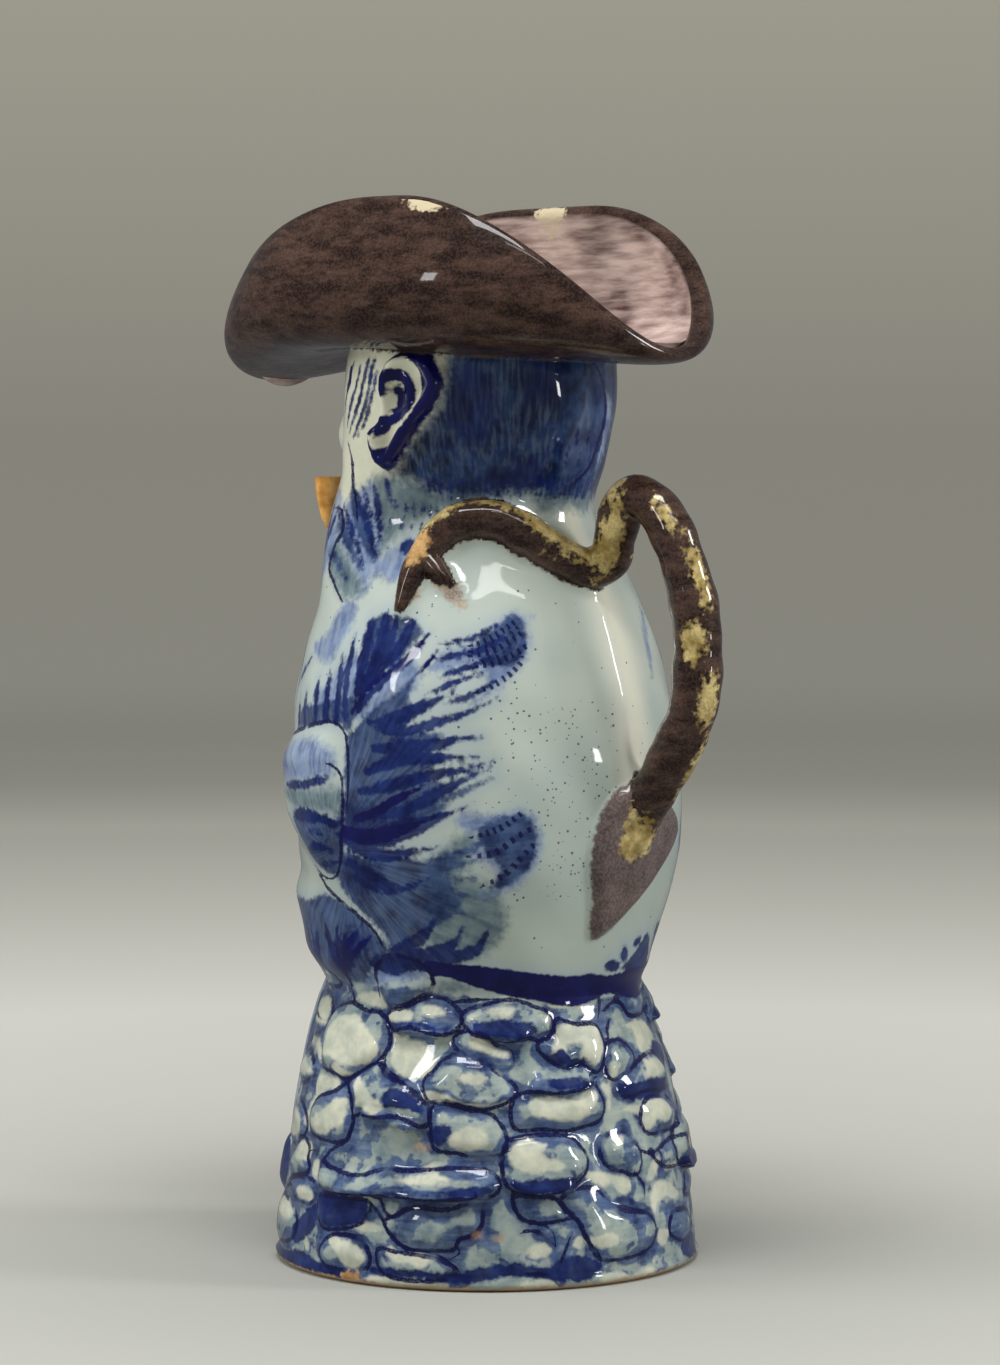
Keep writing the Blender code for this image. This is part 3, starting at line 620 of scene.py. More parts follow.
# Places on the rocks washed twice, so nearly navy; those along the ledges' lips are partly painted shade
# under the lips.
DEEPS_AND_LIP_SHADE: tuple[Points, ...] = (
    path(76.6, 18.6, 80, 19.6, 88, 19.4, 96, 19.2, 96.4, 16, 93, 13.6, 86, 12.2, 79.6, 12.4),
    path(99, 42.6, 101, 45, 106, 44.4, 111, 42, 113.4, 39.6, 111, 39.8, 106, 40.6, 101, 40.2),
    path(137, 24.6, 142, 25.2, 150, 25.4, 157, 25, 155, 23, 149, 22.3, 141, 22.2),
    path(149, 46.6, 154, 47.3, 160, 47.2, 164, 46.4, 159, 45, 152, 44.9),
    path(98, 4.4, 105, 4.8, 115, 4.6, 122, 4, 128, 5.6, 138, 6.6, 147, 5.4, 152, 7.4, 159, 7, 163, 4.6,
        158, 1.6, 150, 2.2, 138, 3.6, 126, 2, 112, 2.8, 100, 2.6),
    path(96, 57.8, 100, 59, 108, 59.4, 115, 58.4, 120, 59.4, 118, 57.6, 110, 58, 103, 58.4),
    path(126, 59.4, 134, 60.4, 145, 59.8, 148, 57.4, 143, 56.2, 134, 56.8, 127, 57.6),
    path(113, 35, 117, 37.4, 121, 36.6, 119, 33, 115, 33),
    path(89, 72, 94, 74.8, 103, 75, 110, 73.4, 111.6, 71, 106, 71.4, 97, 69.6),
    path(100, 20.2, 108, 21.6, 120, 21.6, 130, 21.8, 133, 23.4, 128, 24, 118, 22.6, 104, 22),
    path(150, 52.2, 155, 53.6, 158, 51.6, 165, 51, 164, 49.8, 157, 49.6, 152, 50.6),
    path(199, 50, 203, 52, 209, 51.6, 214, 50, 210, 46.6, 204, 45.6, 201, 47.6),
    path(175, 44.8, 182, 44.6, 192, 44.6, 202, 44, 206, 41.6, 195, 40.4, 182, 40.4, 176, 41.6),
    path(44, 3.4, 58, 3.6, 70, 5, 80, 3.4, 90, 2.6, 88, 0.6, 44, 0.6),
    path(64, 9, 70, 14, 76, 16.6, 77, 12, 72, 8, 66, 6),
)
# Lip of each ledge, and how far it stands out.
LEDGES: tuple[tuple[Points, float], ...] = (
    (path(79.7, 21, 98.1, 21.9, 112, 21.7, 124.7, 21.8, 133.9, 23.8), 3.3),
    (path(135.3, 25.5, 141.2, 23.5, 149.8, 22.8, 157.1, 24.3), 3.0),
    (path(96.1, 58.1, 107.8, 57.7, 115.2, 57.6, 122.8, 59), 2.6),
    (path(123.4, 57.9, 132.3, 57.1, 140.3, 56.8, 147, 57.7), 2.5),
    (path(89.7, 38.9, 98.8, 38.4, 106.1, 36.9, 113.2, 36.1), 2.8),
    (path(142.2, 45.4, 151.6, 44.5, 160.7, 44.8, 166.7, 46.9), 2.3),
    (path(115.9, 44.1, 125.1, 42.8, 134, 42.8, 139.5, 44.9), 1.9),
)


@dataclass(frozen=True)
class RockBase:
    """The rough rock seat: rounded stones in courses, each drawn round with a brush.

    Attributes:
        stones: Outline of each stone that the left side shows, and how far it stands out.
        seams: Drawn lines that bound no modelled stone.
        hearts: Places that the blue wash leaves bare, mostly at the stones' middles.
        tints: Thin grey-green washes.
        deeps_and_lip_shade: Places washed twice, so nearly navy, partly painted shade under the ledges' lips.
        ledges: Lip of each ledge, and how far it stands out.
        lip: How far above and below its lip a ledge reaches.
        taper: Share of a ledge's length over which each of its ends dies away.
        legs: Angles and heights between which the figure's legs hide the stones.
        top: Height where the rocks end under the figure.
        top_fade: How far below and above that height the relief dies away.
        foot_fade: Height over the foot in which the relief starts.
        dip: How far the top dips towards the back.
        draw_width: Width of the drawn lines.
        boldness: Share of each stone's rise that is kept.
        roundness: Power that rounds a stone's shoulder.
        skirt: How far a stone reaches past its outline.
        shoulder: How far inside its outline a stone reaches its full rise.
        hollow: How far the wall is cut back between the stones.
        sag: How far a stone's face hangs down, as a share of its rise.
        copies: Side, shift and range of the middles of each copy that goes round the jug.
    """

    stones: tuple[tuple[Points, float], ...] = STONES
    seams: tuple[Points, ...] = SEAMS
    hearts: tuple[Points, ...] = HEARTS
    tints: tuple[Points, ...] = TINTS
    deeps_and_lip_shade: tuple[Points, ...] = DEEPS_AND_LIP_SHADE
    ledges: tuple[tuple[Points, float], ...] = LEDGES
    lip: tuple[float, float] = (5.5, 2.0)
    taper: float = 0.15
    legs: tuple[float, float, float, float] = (15.0, 37.0, 13.0, 64.0)
    top: float = 66.5
    top_fade: tuple[float, float] = (1.0, 4.0)
    foot_fade: float = 3.0
    dip: float = 2.2
    draw_width: float = 1.0
    boldness: float = 0.78
    roundness: float = 0.8
    skirt: float = 1.0
    shoulder: float = 4.0
    hollow: float = 1.1
    sag: float = 0.34
    copies: tuple[tuple[float, float, float, float], ...] = (
        (1.0, 0.0, 40.0, 212.0),
        (-1.0, 0.0, -149.0, -52.0),
        (1.0, -131.0, -53.0, 41.0),
    )

    def laid_round(self, marks: list[Mark]) -> list[Mark]:
        """The given marks, and the mirrored and shifted copies that finish the sides they don't reach.

        Args:
            marks: Marks of the left side.

        Returns:
            Marks for the whole way round.
        """
        laid = []
        for side, shift, low, high in self.copies:
            for mark in marks:
                copy = mark.moved(side, shift)
                hidden = any(self.behind_legs(*place) for place in copy.points)
                if low <= copy.middle() < high and not hidden:
                    laid.append(copy)
        return laid

    def behind_legs(self, angle: float, height: float) -> bool:
        """Whether a place on the rocks lies behind one of the figure's legs."""
        near, far, low, high = self.legs
        return near < abs(turn(angle)) < far and low < height < high

    def top_at(self, angle: np.ndarray) -> np.ndarray:
        """Height of the rocks' top at each angle: it dips towards the back."""
        return self.top + self.dip * np.cos(np.radians(angle))

    def relief(self, wall: Wall) -> np.ndarray:
        """How far the stones stand out at each place of the wall."""
        total = np.zeros(wall.angle.shape)
        for outline, rise in self.stones:
            for mark in self.laid_round([Mark(outline, closed=True)]):
                trace = wall.trace(mark, self.skirt + 0.5)
                dome = ease(-self.skirt, self.shoulder, trace.depth) ** self.roundness
                total[trace.near] = np.maximum(total[trace.near], self.boldness * rise * dome)
        for lip, rise in self.ledges:
            for mark in self.laid_round([Mark(lip)]):
                trace = wall.trace(mark, self.lip[0])
                above = trace.side * np.sign(mark.points[-1][0] - mark.points[0][0])
                over, under = self.lip
                edge = 1.0 - np.where(above > 0.0, ease(0.0, over, above), ease(0.0, under, -above))
                ends = plateau((0.0, self.taper, 1.0 - self.taper, 1.0), trace.share)
                total[trace.near] = np.maximum(total[trace.near], rise * edge * ends)
        below, above = self.top_fade
        covered = 1.0 - ease(self.top - below, self.top + above, wall.height)
        return (total - self.hollow) * covered * ease(0.0, self.foot_fade, wall.height)

    def drawing(self) -> list[Mark]:
        """The dark lines drawn round the stones and across them."""
        lines = [Mark(outline, self.draw_width, 1.0, 1.0, closed=True) for outline, _ in self.stones]
        lines += [Mark(seam, self.draw_width, 0.8, 0.3) for seam in self.seams]
        return self.laid_round(lines)


CALF: Points = path(16, 66, 27, 69, 36, 65, 38, 54, 37, 40, 35, 28, 28, 24, 19, 28, 16, 42)
SHOE: Points = path(8, 27, 14, 31, 26, 31, 36, 28, 38, 21, 34, 14, 24, 11, 12, 13, 7, 20)


@dataclass(frozen=True)
class Figure:
    """The seated figure: face, ears, beard, arms, hands and haunches, pressed and modelled on the wall.

    Attributes:
        face: Nose, brows, eyes, cheeks and mouth.
        beard: The beard and the moustache under the face.
        belly: The belly, the back and the upper arms.
        lumps: Arms with their hands, haunches, calves and shoes.
        ear: Outline of the left ear.
        ear_rise: How far its shell stands out.
        ear_edge: Depths inside the outline over which it rises.
        ear_front: Angles over which its front goes over into the cheek.
        lobe_heights: Heights over which that starts, above the lobe.
        front_cut: Share of the shell that the cheek takes away there.
        ear_hollow: How far the shell is hollowed inside its rim.
        hollow_depths: Depths inside the outline over which the hollow deepens.
        helix_width: Width of its rolled rim.
        helix_spread: How broadly the rim is rounded, as a share of its width.
        helix_rise: How far the rim stands out of the shell.
        fold: Line of its inner fold.
        fold_width: Width of the fold.
        fold_rise: How far the fold stands out.
        spine_angle: Angle of the ridge down the back.
        spine_rise: How far it stands out.
        spine_width: Its width.
        spine_span: Heights between which it runs.
        spine_fades: Distances over which it starts and ends.
        leaf: Outline of the leaf at the serpent's tail.
        leaf_rise: How far the leaf stands out.
        buttons: Heights of the coat's buttons.
        button_reach: Radius of each.
    """

    face: tuple[Pad, ...] = (
        Pad(0.0, 199.5, 2.6, 11.0, 2.6, mirrored=False, edge=0.9),
        Pad(0.0, 194.6, 3.6, 4.6, 2.6, mirrored=False, edge=0.85),
        Pad(0.0, 192.0, 3.4, 3.0, 2.5, mirrored=False, edge=0.75),
        Pad(7.6, 191.3, 2.3, 2.0, 1.9, edge=0.8),
        Pad(4.6, 189.3, 1.2, 0.8, -0.9, edge=0.9),
        Pad(19.0, 206.4, 8.0, 2.2, 1.7, tilt=-5.0, edge=0.9),
        Pad(4.0, 204.5, 3.6, 3.2, 0.8, edge=0.9),
        Pad(19.0, 200.4, 6.6, 4.2, -2.1, edge=0.85),
        Pad(19.5, 200.2, 4.4, 2.7, 2.3, edge=0.75),
        Pad(19.5, 198.9, 4.8, 0.9, 0.5, edge=0.8),
        Pad(35.0, 193.5, 7.5, 6.5, 1.4, edge=0.95),
        Pad(46.0, 201.5, 5.0, 7.0, -0.7, edge=0.95),
        Pad(0.0, 184.3, 5.6, 1.2, 1.3, mirrored=False, edge=0.8),
        Pad(0.0, 181.9, 4.6, 1.4, 1.4, mirrored=False, edge=0.8),
        Pad(0.0, 183.15, 6.2, 0.5, -0.7, mirrored=False, edge=0.9),
        Pad(9.5, 186.6, 6.4, 2.0, 1.6, tilt=-20.0, edge=0.85),
        Pad(20.0, 183.4, 4.4, 1.6, 1.0, tilt=-40.0, edge=0.9),
        Pad(0.0, 187.3, 1.2, 1.8, -0.5, mirrored=False, edge=0.9),
    )
    beard: tuple[Pad, ...] = (
        Pad(0.0, 173.0, 14.0, 11.0, 2.6, mirrored=False),
        Pad(22.0, 171.0, 13.0, 16.0, 1.4),
        Pad(50.0, 167.0, 12.0, 18.0, 0.9),
        Pad(0.0, 156.0, 12.0, 12.0, 1.8, mirrored=False),
    )
    belly: tuple[Pad, ...] = (
        Pad(0.0, 116.0, 20.0, 24.0, 1.8, mirrored=False),
        Pad(143.0, 100.0, 14.0, 28.0, 0.6),
        Pad(96.0, 134.0, 13.0, 18.0, 1.4, tilt=35.0),
    )
    lumps: tuple[Lump, ...] = (
        Lump(path(46, 122, 50, 124.2, 57, 125.3, 65, 126, 73, 126.2, 79.5, 124.6, 83.4, 120, 84.6, 113,
            84.5, 105, 83.4, 98, 80.5, 93.6, 76, 91.8, 70, 92.6, 62, 96, 54, 99, 47, 104, 44, 113),
             3.4, 8.0, 1.2),
        Lump(path(20, 86, 28, 91, 40, 92, 52, 91.5, 64, 91, 72, 88.6, 80, 84.4, 88, 80.8, 93, 77,
            94.5, 73.5, 90, 69, 78, 66.6, 62, 66, 44, 67.5, 28, 71, 19, 77), 2.8, 7.0, 1.0),
        Lump(path(12, 118, 22, 121, 33, 119, 42, 114, 45, 108, 41, 103, 30, 102, 18, 104, 10, 110),
             2.6, 5.0, 1.2),
        Lump(CALF, 2.4, 6.0, 1.5),
        Lump(SHOE, 2.6, 4.5, 0.8),
    )
    ear: Points = path(85, 207.5, 88, 211, 95, 213, 103, 213, 108, 210.6, 112, 206.6, 112.5, 204.5,
        110.5, 201.5, 107, 198.5, 102, 196, 97, 192.5, 92, 189, 88, 186.5, 83, 185.3, 79, 186.3, 77, 189,
        76, 192, 79, 196, 81, 200, 83.6, 203)
    ear_rise: float = 2.3
    ear_edge: tuple[float, float] = (-1.0, 1.1)
    ear_front: tuple[float, float] = (88.0, 80.0)
    lobe_heights: tuple[float, float] = (193.0, 197.0)
    front_cut: float = 0.85
    ear_hollow: float = 0.9
    hollow_depths: tuple[float, float] = (2.6, 4.4)
    helix_width: float = 3.6
    helix_spread: float = 0.42
    helix_rise: float = 1.7
    fold: Points = path(87.5, 203.4, 87.6, 206.4, 92, 207.2, 96.2, 206, 98.3, 202.6, 97, 199, 91, 196.9,
        84, 196.4, 80, 194.4)
    fold_width: float = 1.5
    fold_rise: float = 1.2
    spine_angle: float = 175.0
    spine_rise: float = 1.5
    spine_width: float = 3.0
    spine_span: tuple[float, float] = (106.0, 162.0)
    spine_fades: tuple[float, float] = (14.0, 10.0)
    leaf: Points = path(168, 110, 165, 106, 163.2, 101, 163, 95, 164.6, 87, 165.4, 79.5, 168, 78, 172, 79,
        177, 81.3, 183, 85.3, 190, 90.2, 197, 96, 202, 101, 200, 106, 193, 110, 185, 113.5, 178, 114.6,
        172, 113)
    leaf_rise: float = 2.5
    buttons: tuple[float, ...] = (146.0, 138.5, 131.0, 123.5)
    button_reach: float = 2.3

    def ear_relief(self, wall: Wall) -> np.ndarray:
        """Both ears: a low shell with a rolled rim and an inner fold."""
        total = np.zeros(wall.angle.shape)
        for side in (1.0, -1.0):
            trace = wall.trace(Mark(self.ear, closed=True).moved(side, 0.0), 1.5)
            depth = trace.depth
            front = ease(*self.ear_front, side * turn(wall.angle[trace.near]))
            front = front * ease(*self.lobe_heights, wall.height[trace.near])
            shell = self.ear_rise * ease(*self.ear_edge, depth) * (1.0 - self.front_cut * front)
            from_rim = (depth - 0.5 * self.helix_width) / (self.helix_spread * self.helix_width)
            rim = self.helix_rise * np.exp(-(from_rim**2))
            shell = shell + rim * (1.0 - front) - self.ear_hollow * ease(*self.hollow_depths, depth)
            total[trace.near] = np.maximum(total[trace.near], shell)
            fold = wall.trace(Mark(self.fold).moved(side, 0.0), 2.0 * self.fold_width)
            total[fold.near] += self.fold_rise * np.exp(-((fold.distance / self.fold_width) ** 2))
        return total

    def spine_relief(self, wall: Wall, form: TurnedForm) -> np.ndarray:
        """The ridge that runs down the back to the serpent's tail."""
        scale = np.radians(1.0) * form.radius(self.spine_angle, wall.height)
        u = turn(wall.angle - self.spine_angle) * scale
        low, high = self.spine_span
        start, end = self.spine_fades
        span = plateau((low, low + start, high - end, high), wall.height)
        return self.spine_rise * np.exp(-np.hypot(u, 0.5) / self.spine_width) * span

    def relief(self, wall: Wall, form: TurnedForm) -> np.ndarray:
        """All that stands out of the plain form at each place of the wall, the rocks apart."""
        total = self.ear_relief(wall) + self.spine_relief(wall, form)
        for pad in self.face + self.beard + self.belly:
            total = total + pad.relief(form, wall.angle, wall.height)
        for lump in self.lumps:
            total = np.maximum(total, lump.relief(wall))
        total = np.maximum(total, Lump(self.leaf, self.leaf_rise, 2.2, 0.7, twin=False).relief(wall))
        for height in self.buttons:
            button = Pad(0.0, height, self.button_reach, self.button_reach, 1.1, edge=0.7, mirrored=False)
            total = total + button.relief(form, wall.angle, wall.height)
        return total


@dataclass(frozen=True)
class Trough:
    """How the brim differs in a trough from the flaps at its sides.

    Attributes:
        drop: How far its edge lies under the flaps' tops.
        broad: Share of the drop that spreads widely; the rest is a narrow dip.
        edge_reach: How far further out its edge lies.
        edge_power: How fast the edge comes out towards the trough's middle.
        bend_reach: How far further out its bend lies.
        bend_drop: How far lower its bend lies.
        pull: How much more the bend pulls the brim.
    """

    drop: float
    broad: float
    edge_reach: float
    edge_power: float
    bend_reach: float
    bend_drop: float
    pull: float


@dataclass(frozen=True)
class CockedHat:
    """The hat: a brim that bends out from the head and up, high at both flaps and low in the troughs.

    Attributes:
        flap_top: Height of the flaps' edge.
        flap_lean: How much lower the left flap is than that, and the right one higher.
        flap_radius: How far out the flaps' edge lies.
        bend_radius: How far out the brim's bend pulls it.
        bend_height: Height of that bend.
        broad_power: How fast the wide part of a trough dips.
        narrow_power: How fast its narrow part does.
        thickness: Thickness of the brim.
        front: The trough over the face.
        back: The trough over the nape.
        right_front_broad: Share of the front trough's drop that spreads widely on the right.
        inner_end: Share of the brim, from the head out, where its inner face goes over into the cavity.
    """

    flap_top: float = 247.0
    flap_lean: float = 0.4
    flap_radius: float = 36.8
    bend_radius: float = 59.0
    bend_height: float = 214.8
    broad_power: float = 2.9
    narrow_power: float = 9.0
    thickness: float = 4.6
    front: Trough = Trough(36.6, 0.63, 29.5, 1.8, 20.0, 13.0, 0.05)
    back: Trough = Trough(35.2, 0.65, 20.5, 2.25, 2.0, 8.2, -0.14)
    right_front_broad: float = 0.0
    inner_end: float = 0.06

    def guides(self, angle: np.ndarray) -> list[np.ndarray]:
        """Bend and edge of the brim at each angle, as radii and heights, and the pull of the bend."""
        facing = np.cos(np.radians(angle))
        trough = np.abs(facing)
        guides = []
        for form in (self.front, self.back):
            right_front = (turn(angle) < 0.0) & (facing > 0.0)
            broad = np.where(right_front, self.right_front_broad, form.broad)
            dip = broad * trough**self.broad_power + (1.0 - broad) * trough**self.narrow_power
            guides.append((
                self.bend_radius + form.bend_reach * trough**2,
                self.bend_height - form.bend_drop * trough**2,
                self.flap_radius + form.edge_reach * trough**form.edge_power,
                self.flap_top - self.flap_lean * np.sin(np.radians(angle)) - form.drop * dip,
                1.0 + form.pull * trough**2,
            ))
        return [np.where(facing > 0.0, front, back) for front, back in zip(*guides)]

    def section(self, form: TurnedForm, angle: np.ndarray, share: float) -> tuple[np.ndarray, ...]:
        """A ring of the brim's outer face.

        Args:
            form: The figure that wears the hat.
            angle: Angles of the ring's points.
            share: Where the ring is, from 0 at the head to 1 at the edge.

        Returns:
            Radius and height of the ring, and the way along the section, outwards and upwards.
        """
        start_radius, start_height = form.brim_foot(angle)
        bend_radius, bend_height, edge_radius, edge_height, pull = self.guides(angle)
        weights = ((1.0 - share) ** 2, 2.0 * share * (1.0 - share) * pull, share**2)
        total = sum(weights)
        radius = (weights[0] * start_radius + weights[1] * bend_radius + weights[2] * edge_radius) / total
        height = (weights[0] * start_height + weights[1] * bend_height + weights[2] * edge_height) / total
        out = (1.0 - share) * (bend_radius - start_radius) + share * (edge_radius - bend_radius)
        up = (1.0 - share) * (bend_height - start_height) + share * (edge_height - bend_height)
        length = np.hypot(out, up)
        return radius, height, out / length, up / length


@dataclass(frozen=True)
class Serpent:
    """The serpent: round the left shoulder and back, up in a loop and down as the handle to its tail.

    Attributes:
        shoulder: Angles and heights that it runs through on the wall, from its snout on.
        lift: How far its middle line stands off the wall there.
        loop: Radii and heights that it runs through behind the back.
        thickness: Its radius at each share of its length.
        jaw: Angles and heights that the lower jaw runs through.
        jaw_thickness: The jaw's radius at each share of its length.
        rings: Rings of the body.
        jaw_rings: Rings of the jaw.
        sides: Points in each ring of the body.
        jaw_sides: Points in each ring of the jaw.
        swells: How unevenly thick the body was rolled, in waves along it: share, phase from end to end and
            phase at the start.
    """

    shoulder: Points = path(99.5, 154.5, 101.0, 161.0, 106.0, 167.5, 113.0, 171.8, 122.0, 173.6,
        136.0, 173.4, 151.0, 169.6, 164.0, 164.8, 174.0, 162.4)
    lift: float = 1.6
    loop: Points = path(37.2, 165.0, 38.8, 170.0, 41.2, 176.6, 45.6, 179.2, 51.3, 176.4, 55.6, 170.8,
        59.2, 163.0, 62.2, 153.4, 63.0, 144.0, 61.8, 132.0, 58.4, 124.5, 52.8, 115.5, 49.2, 110.5,
        46.6, 105.0, 45.0, 99.5)
    thickness: Points = path(0.0, 1.3, 0.06, 3.4, 0.12, 4.4, 0.25, 4.9, 0.5, 5.1, 0.75, 5.7, 0.92, 5.4,
        0.96, 4.4, 1.0, 2.4)
    jaw: Points = path(104.0, 165.6, 109.5, 163.0, 114.0, 160.8, 117.6, 159.6)
    jaw_thickness: Points = path(0.0, 3.2, 0.5, 2.4, 0.85, 1.5, 1.0, 0.7)
    rings: int = 250
    jaw_rings: int = 22
    sides: int = 26
    jaw_sides: int = 16
    swells: tuple[tuple[float, float, float], ...] = ((0.03, 61.0, 0.0), (0.02, 137.0, 1.0))

    def route(self, form: TurnedForm) -> np.ndarray:
        """Points of the serpent's middle line, in order."""
        points = [self.on_wall(form, angle, height) for angle, height in self.shoulder]
        points += [(0.0, radius, height) for radius, height in self.loop]
        return smooth_route(np.array(points), self.rings)

    def jaw_route(self, form: TurnedForm) -> np.ndarray:
        """Points of the lower jaw's middle line, in order."""
        points = [self.on_wall(form, angle, height) for angle, height in self.jaw]
        return smooth_route(np.array(points), self.jaw_rings)

    def on_wall(self, form: TurnedForm, angle: float, height: float) -> np.ndarray:
        """Point at the serpent's lift above the wall."""
        return toward(angle) * (float(form.radius(angle, height)) + self.lift) + (0.0, 0.0, height)

    def radii(self, count: int, thickness: Points) -> np.ndarray:
        """Radius of each ring of a tube with the given thickness along it."""
        places = np.array(thickness)
        return smooth_curve(places[:, 0], places[:, 1], np.linspace(0.0, 1.0, count))

    def tubes(self, form: TurnedForm) -> list[tuple[np.ndarray, np.ndarray]]:
        """Middle line and radii of the body, then of the lower jaw."""
        return [(self.route(form), self.radii(self.rings, self.thickness)),
                (self.jaw_route(form), self.radii(self.jaw_rings, self.jaw_thickness))]


@dataclass(frozen=True)
class StubPipe:
    """The clay pipe held in the mouth: a small bowl on a short stem.

    Attributes:
        angle: Angle of the bowl.
        radius_out: How far out the bowl stands.
        top: Height of the bowl's top.
        length: Length of the bowl.
        bowl: The bowl's radius at each share of its length.
        stem_radius: Radius of the stem.
        stem_joint: Share of the bowl's length, from the top, where the stem meets it.
        bite_radius: How far out the stem's end is between the lips.
        bite_share: Share of the bowl's angle at which that end is.
        rings: Rings of the bowl and of the stem.
        sides: Points in each ring.
    """

    angle: float = 12.0
    radius_out: float = 43.0
    top: float = 183.5
    length: float = 11.0
    bowl: Points = path(0.0, 1.4, 0.08, 2.1, 0.45, 3.0, 0.85, 3.7, 1.0, 3.6)
    stem_radius: float = 2.0
    stem_joint: float = 0.82
    bite_radius: float = 33.0
    bite_share: float = 0.4
    rings: int = 12
    sides: int = 20

    def axis(self) -> np.ndarray:
        """Points of the bowl's middle line from its foot to its top."""
        foot = toward(self.angle) * self.radius_out + (0.0, 0.0, self.top - self.length)
        return foot + np.outer(np.linspace(0.0, self.length, self.rings), (0.0, 0.0, 1.0))

    def stem(self) -> np.ndarray:
        """Points of the stem's middle line, from the mouth to the bowl's foot."""
        inner = toward(self.angle * self.bite_share) * self.bite_radius + (0.0, 0.0, self.top)
        outer = toward(self.angle) * self.radius_out + (0.0, 0.0, self.top - self.stem_joint * self.length)
        return inner + np.outer(np.linspace(0.0, 1.0, self.rings), outer - inner)


def tube(route: np.ndarray, radii: np.ndarray, sides: int,
         domes: tuple[int, int] = (4, 4)) -> bmesh.types.BMesh:
    """A closed tube with rounded ends, swept along a route without twisting.

    Args:
        route: Points of its middle line, one a row.
        radii: Its radius at each point.
        sides: Points in each ring.
        domes: Rings in the dome at its start and at its end; 0 leaves a flat end.

    Returns:
        The tube as a new bmesh, in metres.
    """
    along = np.gradient(route, axis=0)
    along /= np.linalg.norm(along, axis=1)[:, None]
    frames = []
    across = np.cross(along[0], (0.0, 0.0, 1.0) if abs(along[0][2]) < 0.9 else (1.0, 0.0, 0.0))
    for way in along:
        across = across - way * np.dot(across, way)
        across /= np.linalg.norm(across)
        frames.append((across, np.cross(way, across)))
    stations = []
    for sweep in np.linspace(0.5 * np.pi, 0.0, domes[0] + 1)[1:-1]:
        middle = route[0] - along[0] * radii[0] * np.sin(sweep)
        stations.append((middle, radii[0] * np.cos(sweep), frames[0]))
    stations += list(zip(route, radii, frames))
    for sweep in np.linspace(0.0, 0.5 * np.pi, domes[1] + 1)[1:-1]:
        middle = route[-1] + along[-1] * radii[-1] * np.sin(sweep)
        stations.append((middle, radii[-1] * np.cos(sweep), frames[-1]))
    shape = bmesh.new()
    turns = np.linspace(0.0, 2.0 * np.pi, sides, endpoint=False)
    rows = []
    for middle, radius, (right, up) in stations:
        ring = middle + radius * (np.outer(np.cos(turns), right) + np.outer(np.sin(turns), up))
        rows.append([shape.verts.new(point * MM) for point in ring])
    for lower, upper in zip(rows, rows[1:]):
        for k in range(sides):
            shape.faces.new((lower[k], lower[(k + 1) % sides], upper[(k + 1) % sides], upper[k]))
    for row, tip, reach in ((rows[0], route[0] - along[0] * radii[0] * (domes[0] > 0), -1),
                            (rows[-1], route[-1] + along[-1] * radii[-1] * (domes[1] > 0), 1)):
        cap = shape.verts.new(tip * MM)
        for k in range(sides):
            pair = (row[k], row[(k + 1) % sides])
            shape.faces.new((*pair[::reach], cap))
    bmesh.ops.triangulate(shape, faces=shape.faces[:])
    bmesh.ops.recalc_face_normals(shape, faces=shape.faces[:])
    return shape


def new_object(shape: bmesh.types.BMesh, name: str) -> bpy.types.Object:
    """Object made of a finished bmesh, linked to the scene."""
    mesh = bpy.data.meshes.new(name)
    shape.to_mesh(mesh)
    shape.free()
    made = bpy.data.objects.new(name, mesh)
    bpy.context.scene.collection.objects.link(made)
    return made


class Part(Enum):
    """Which part of the jug a place of the skin belongs to."""

    UNDERSIDE = 0
    FIGURE = 1
    BRIM_OUTSIDE = 2
    BRIM_EDGE = 3
    BRIM_INSIDE = 4
    CAVITY = 5
    SERPENT = 6
    PIPE = 7


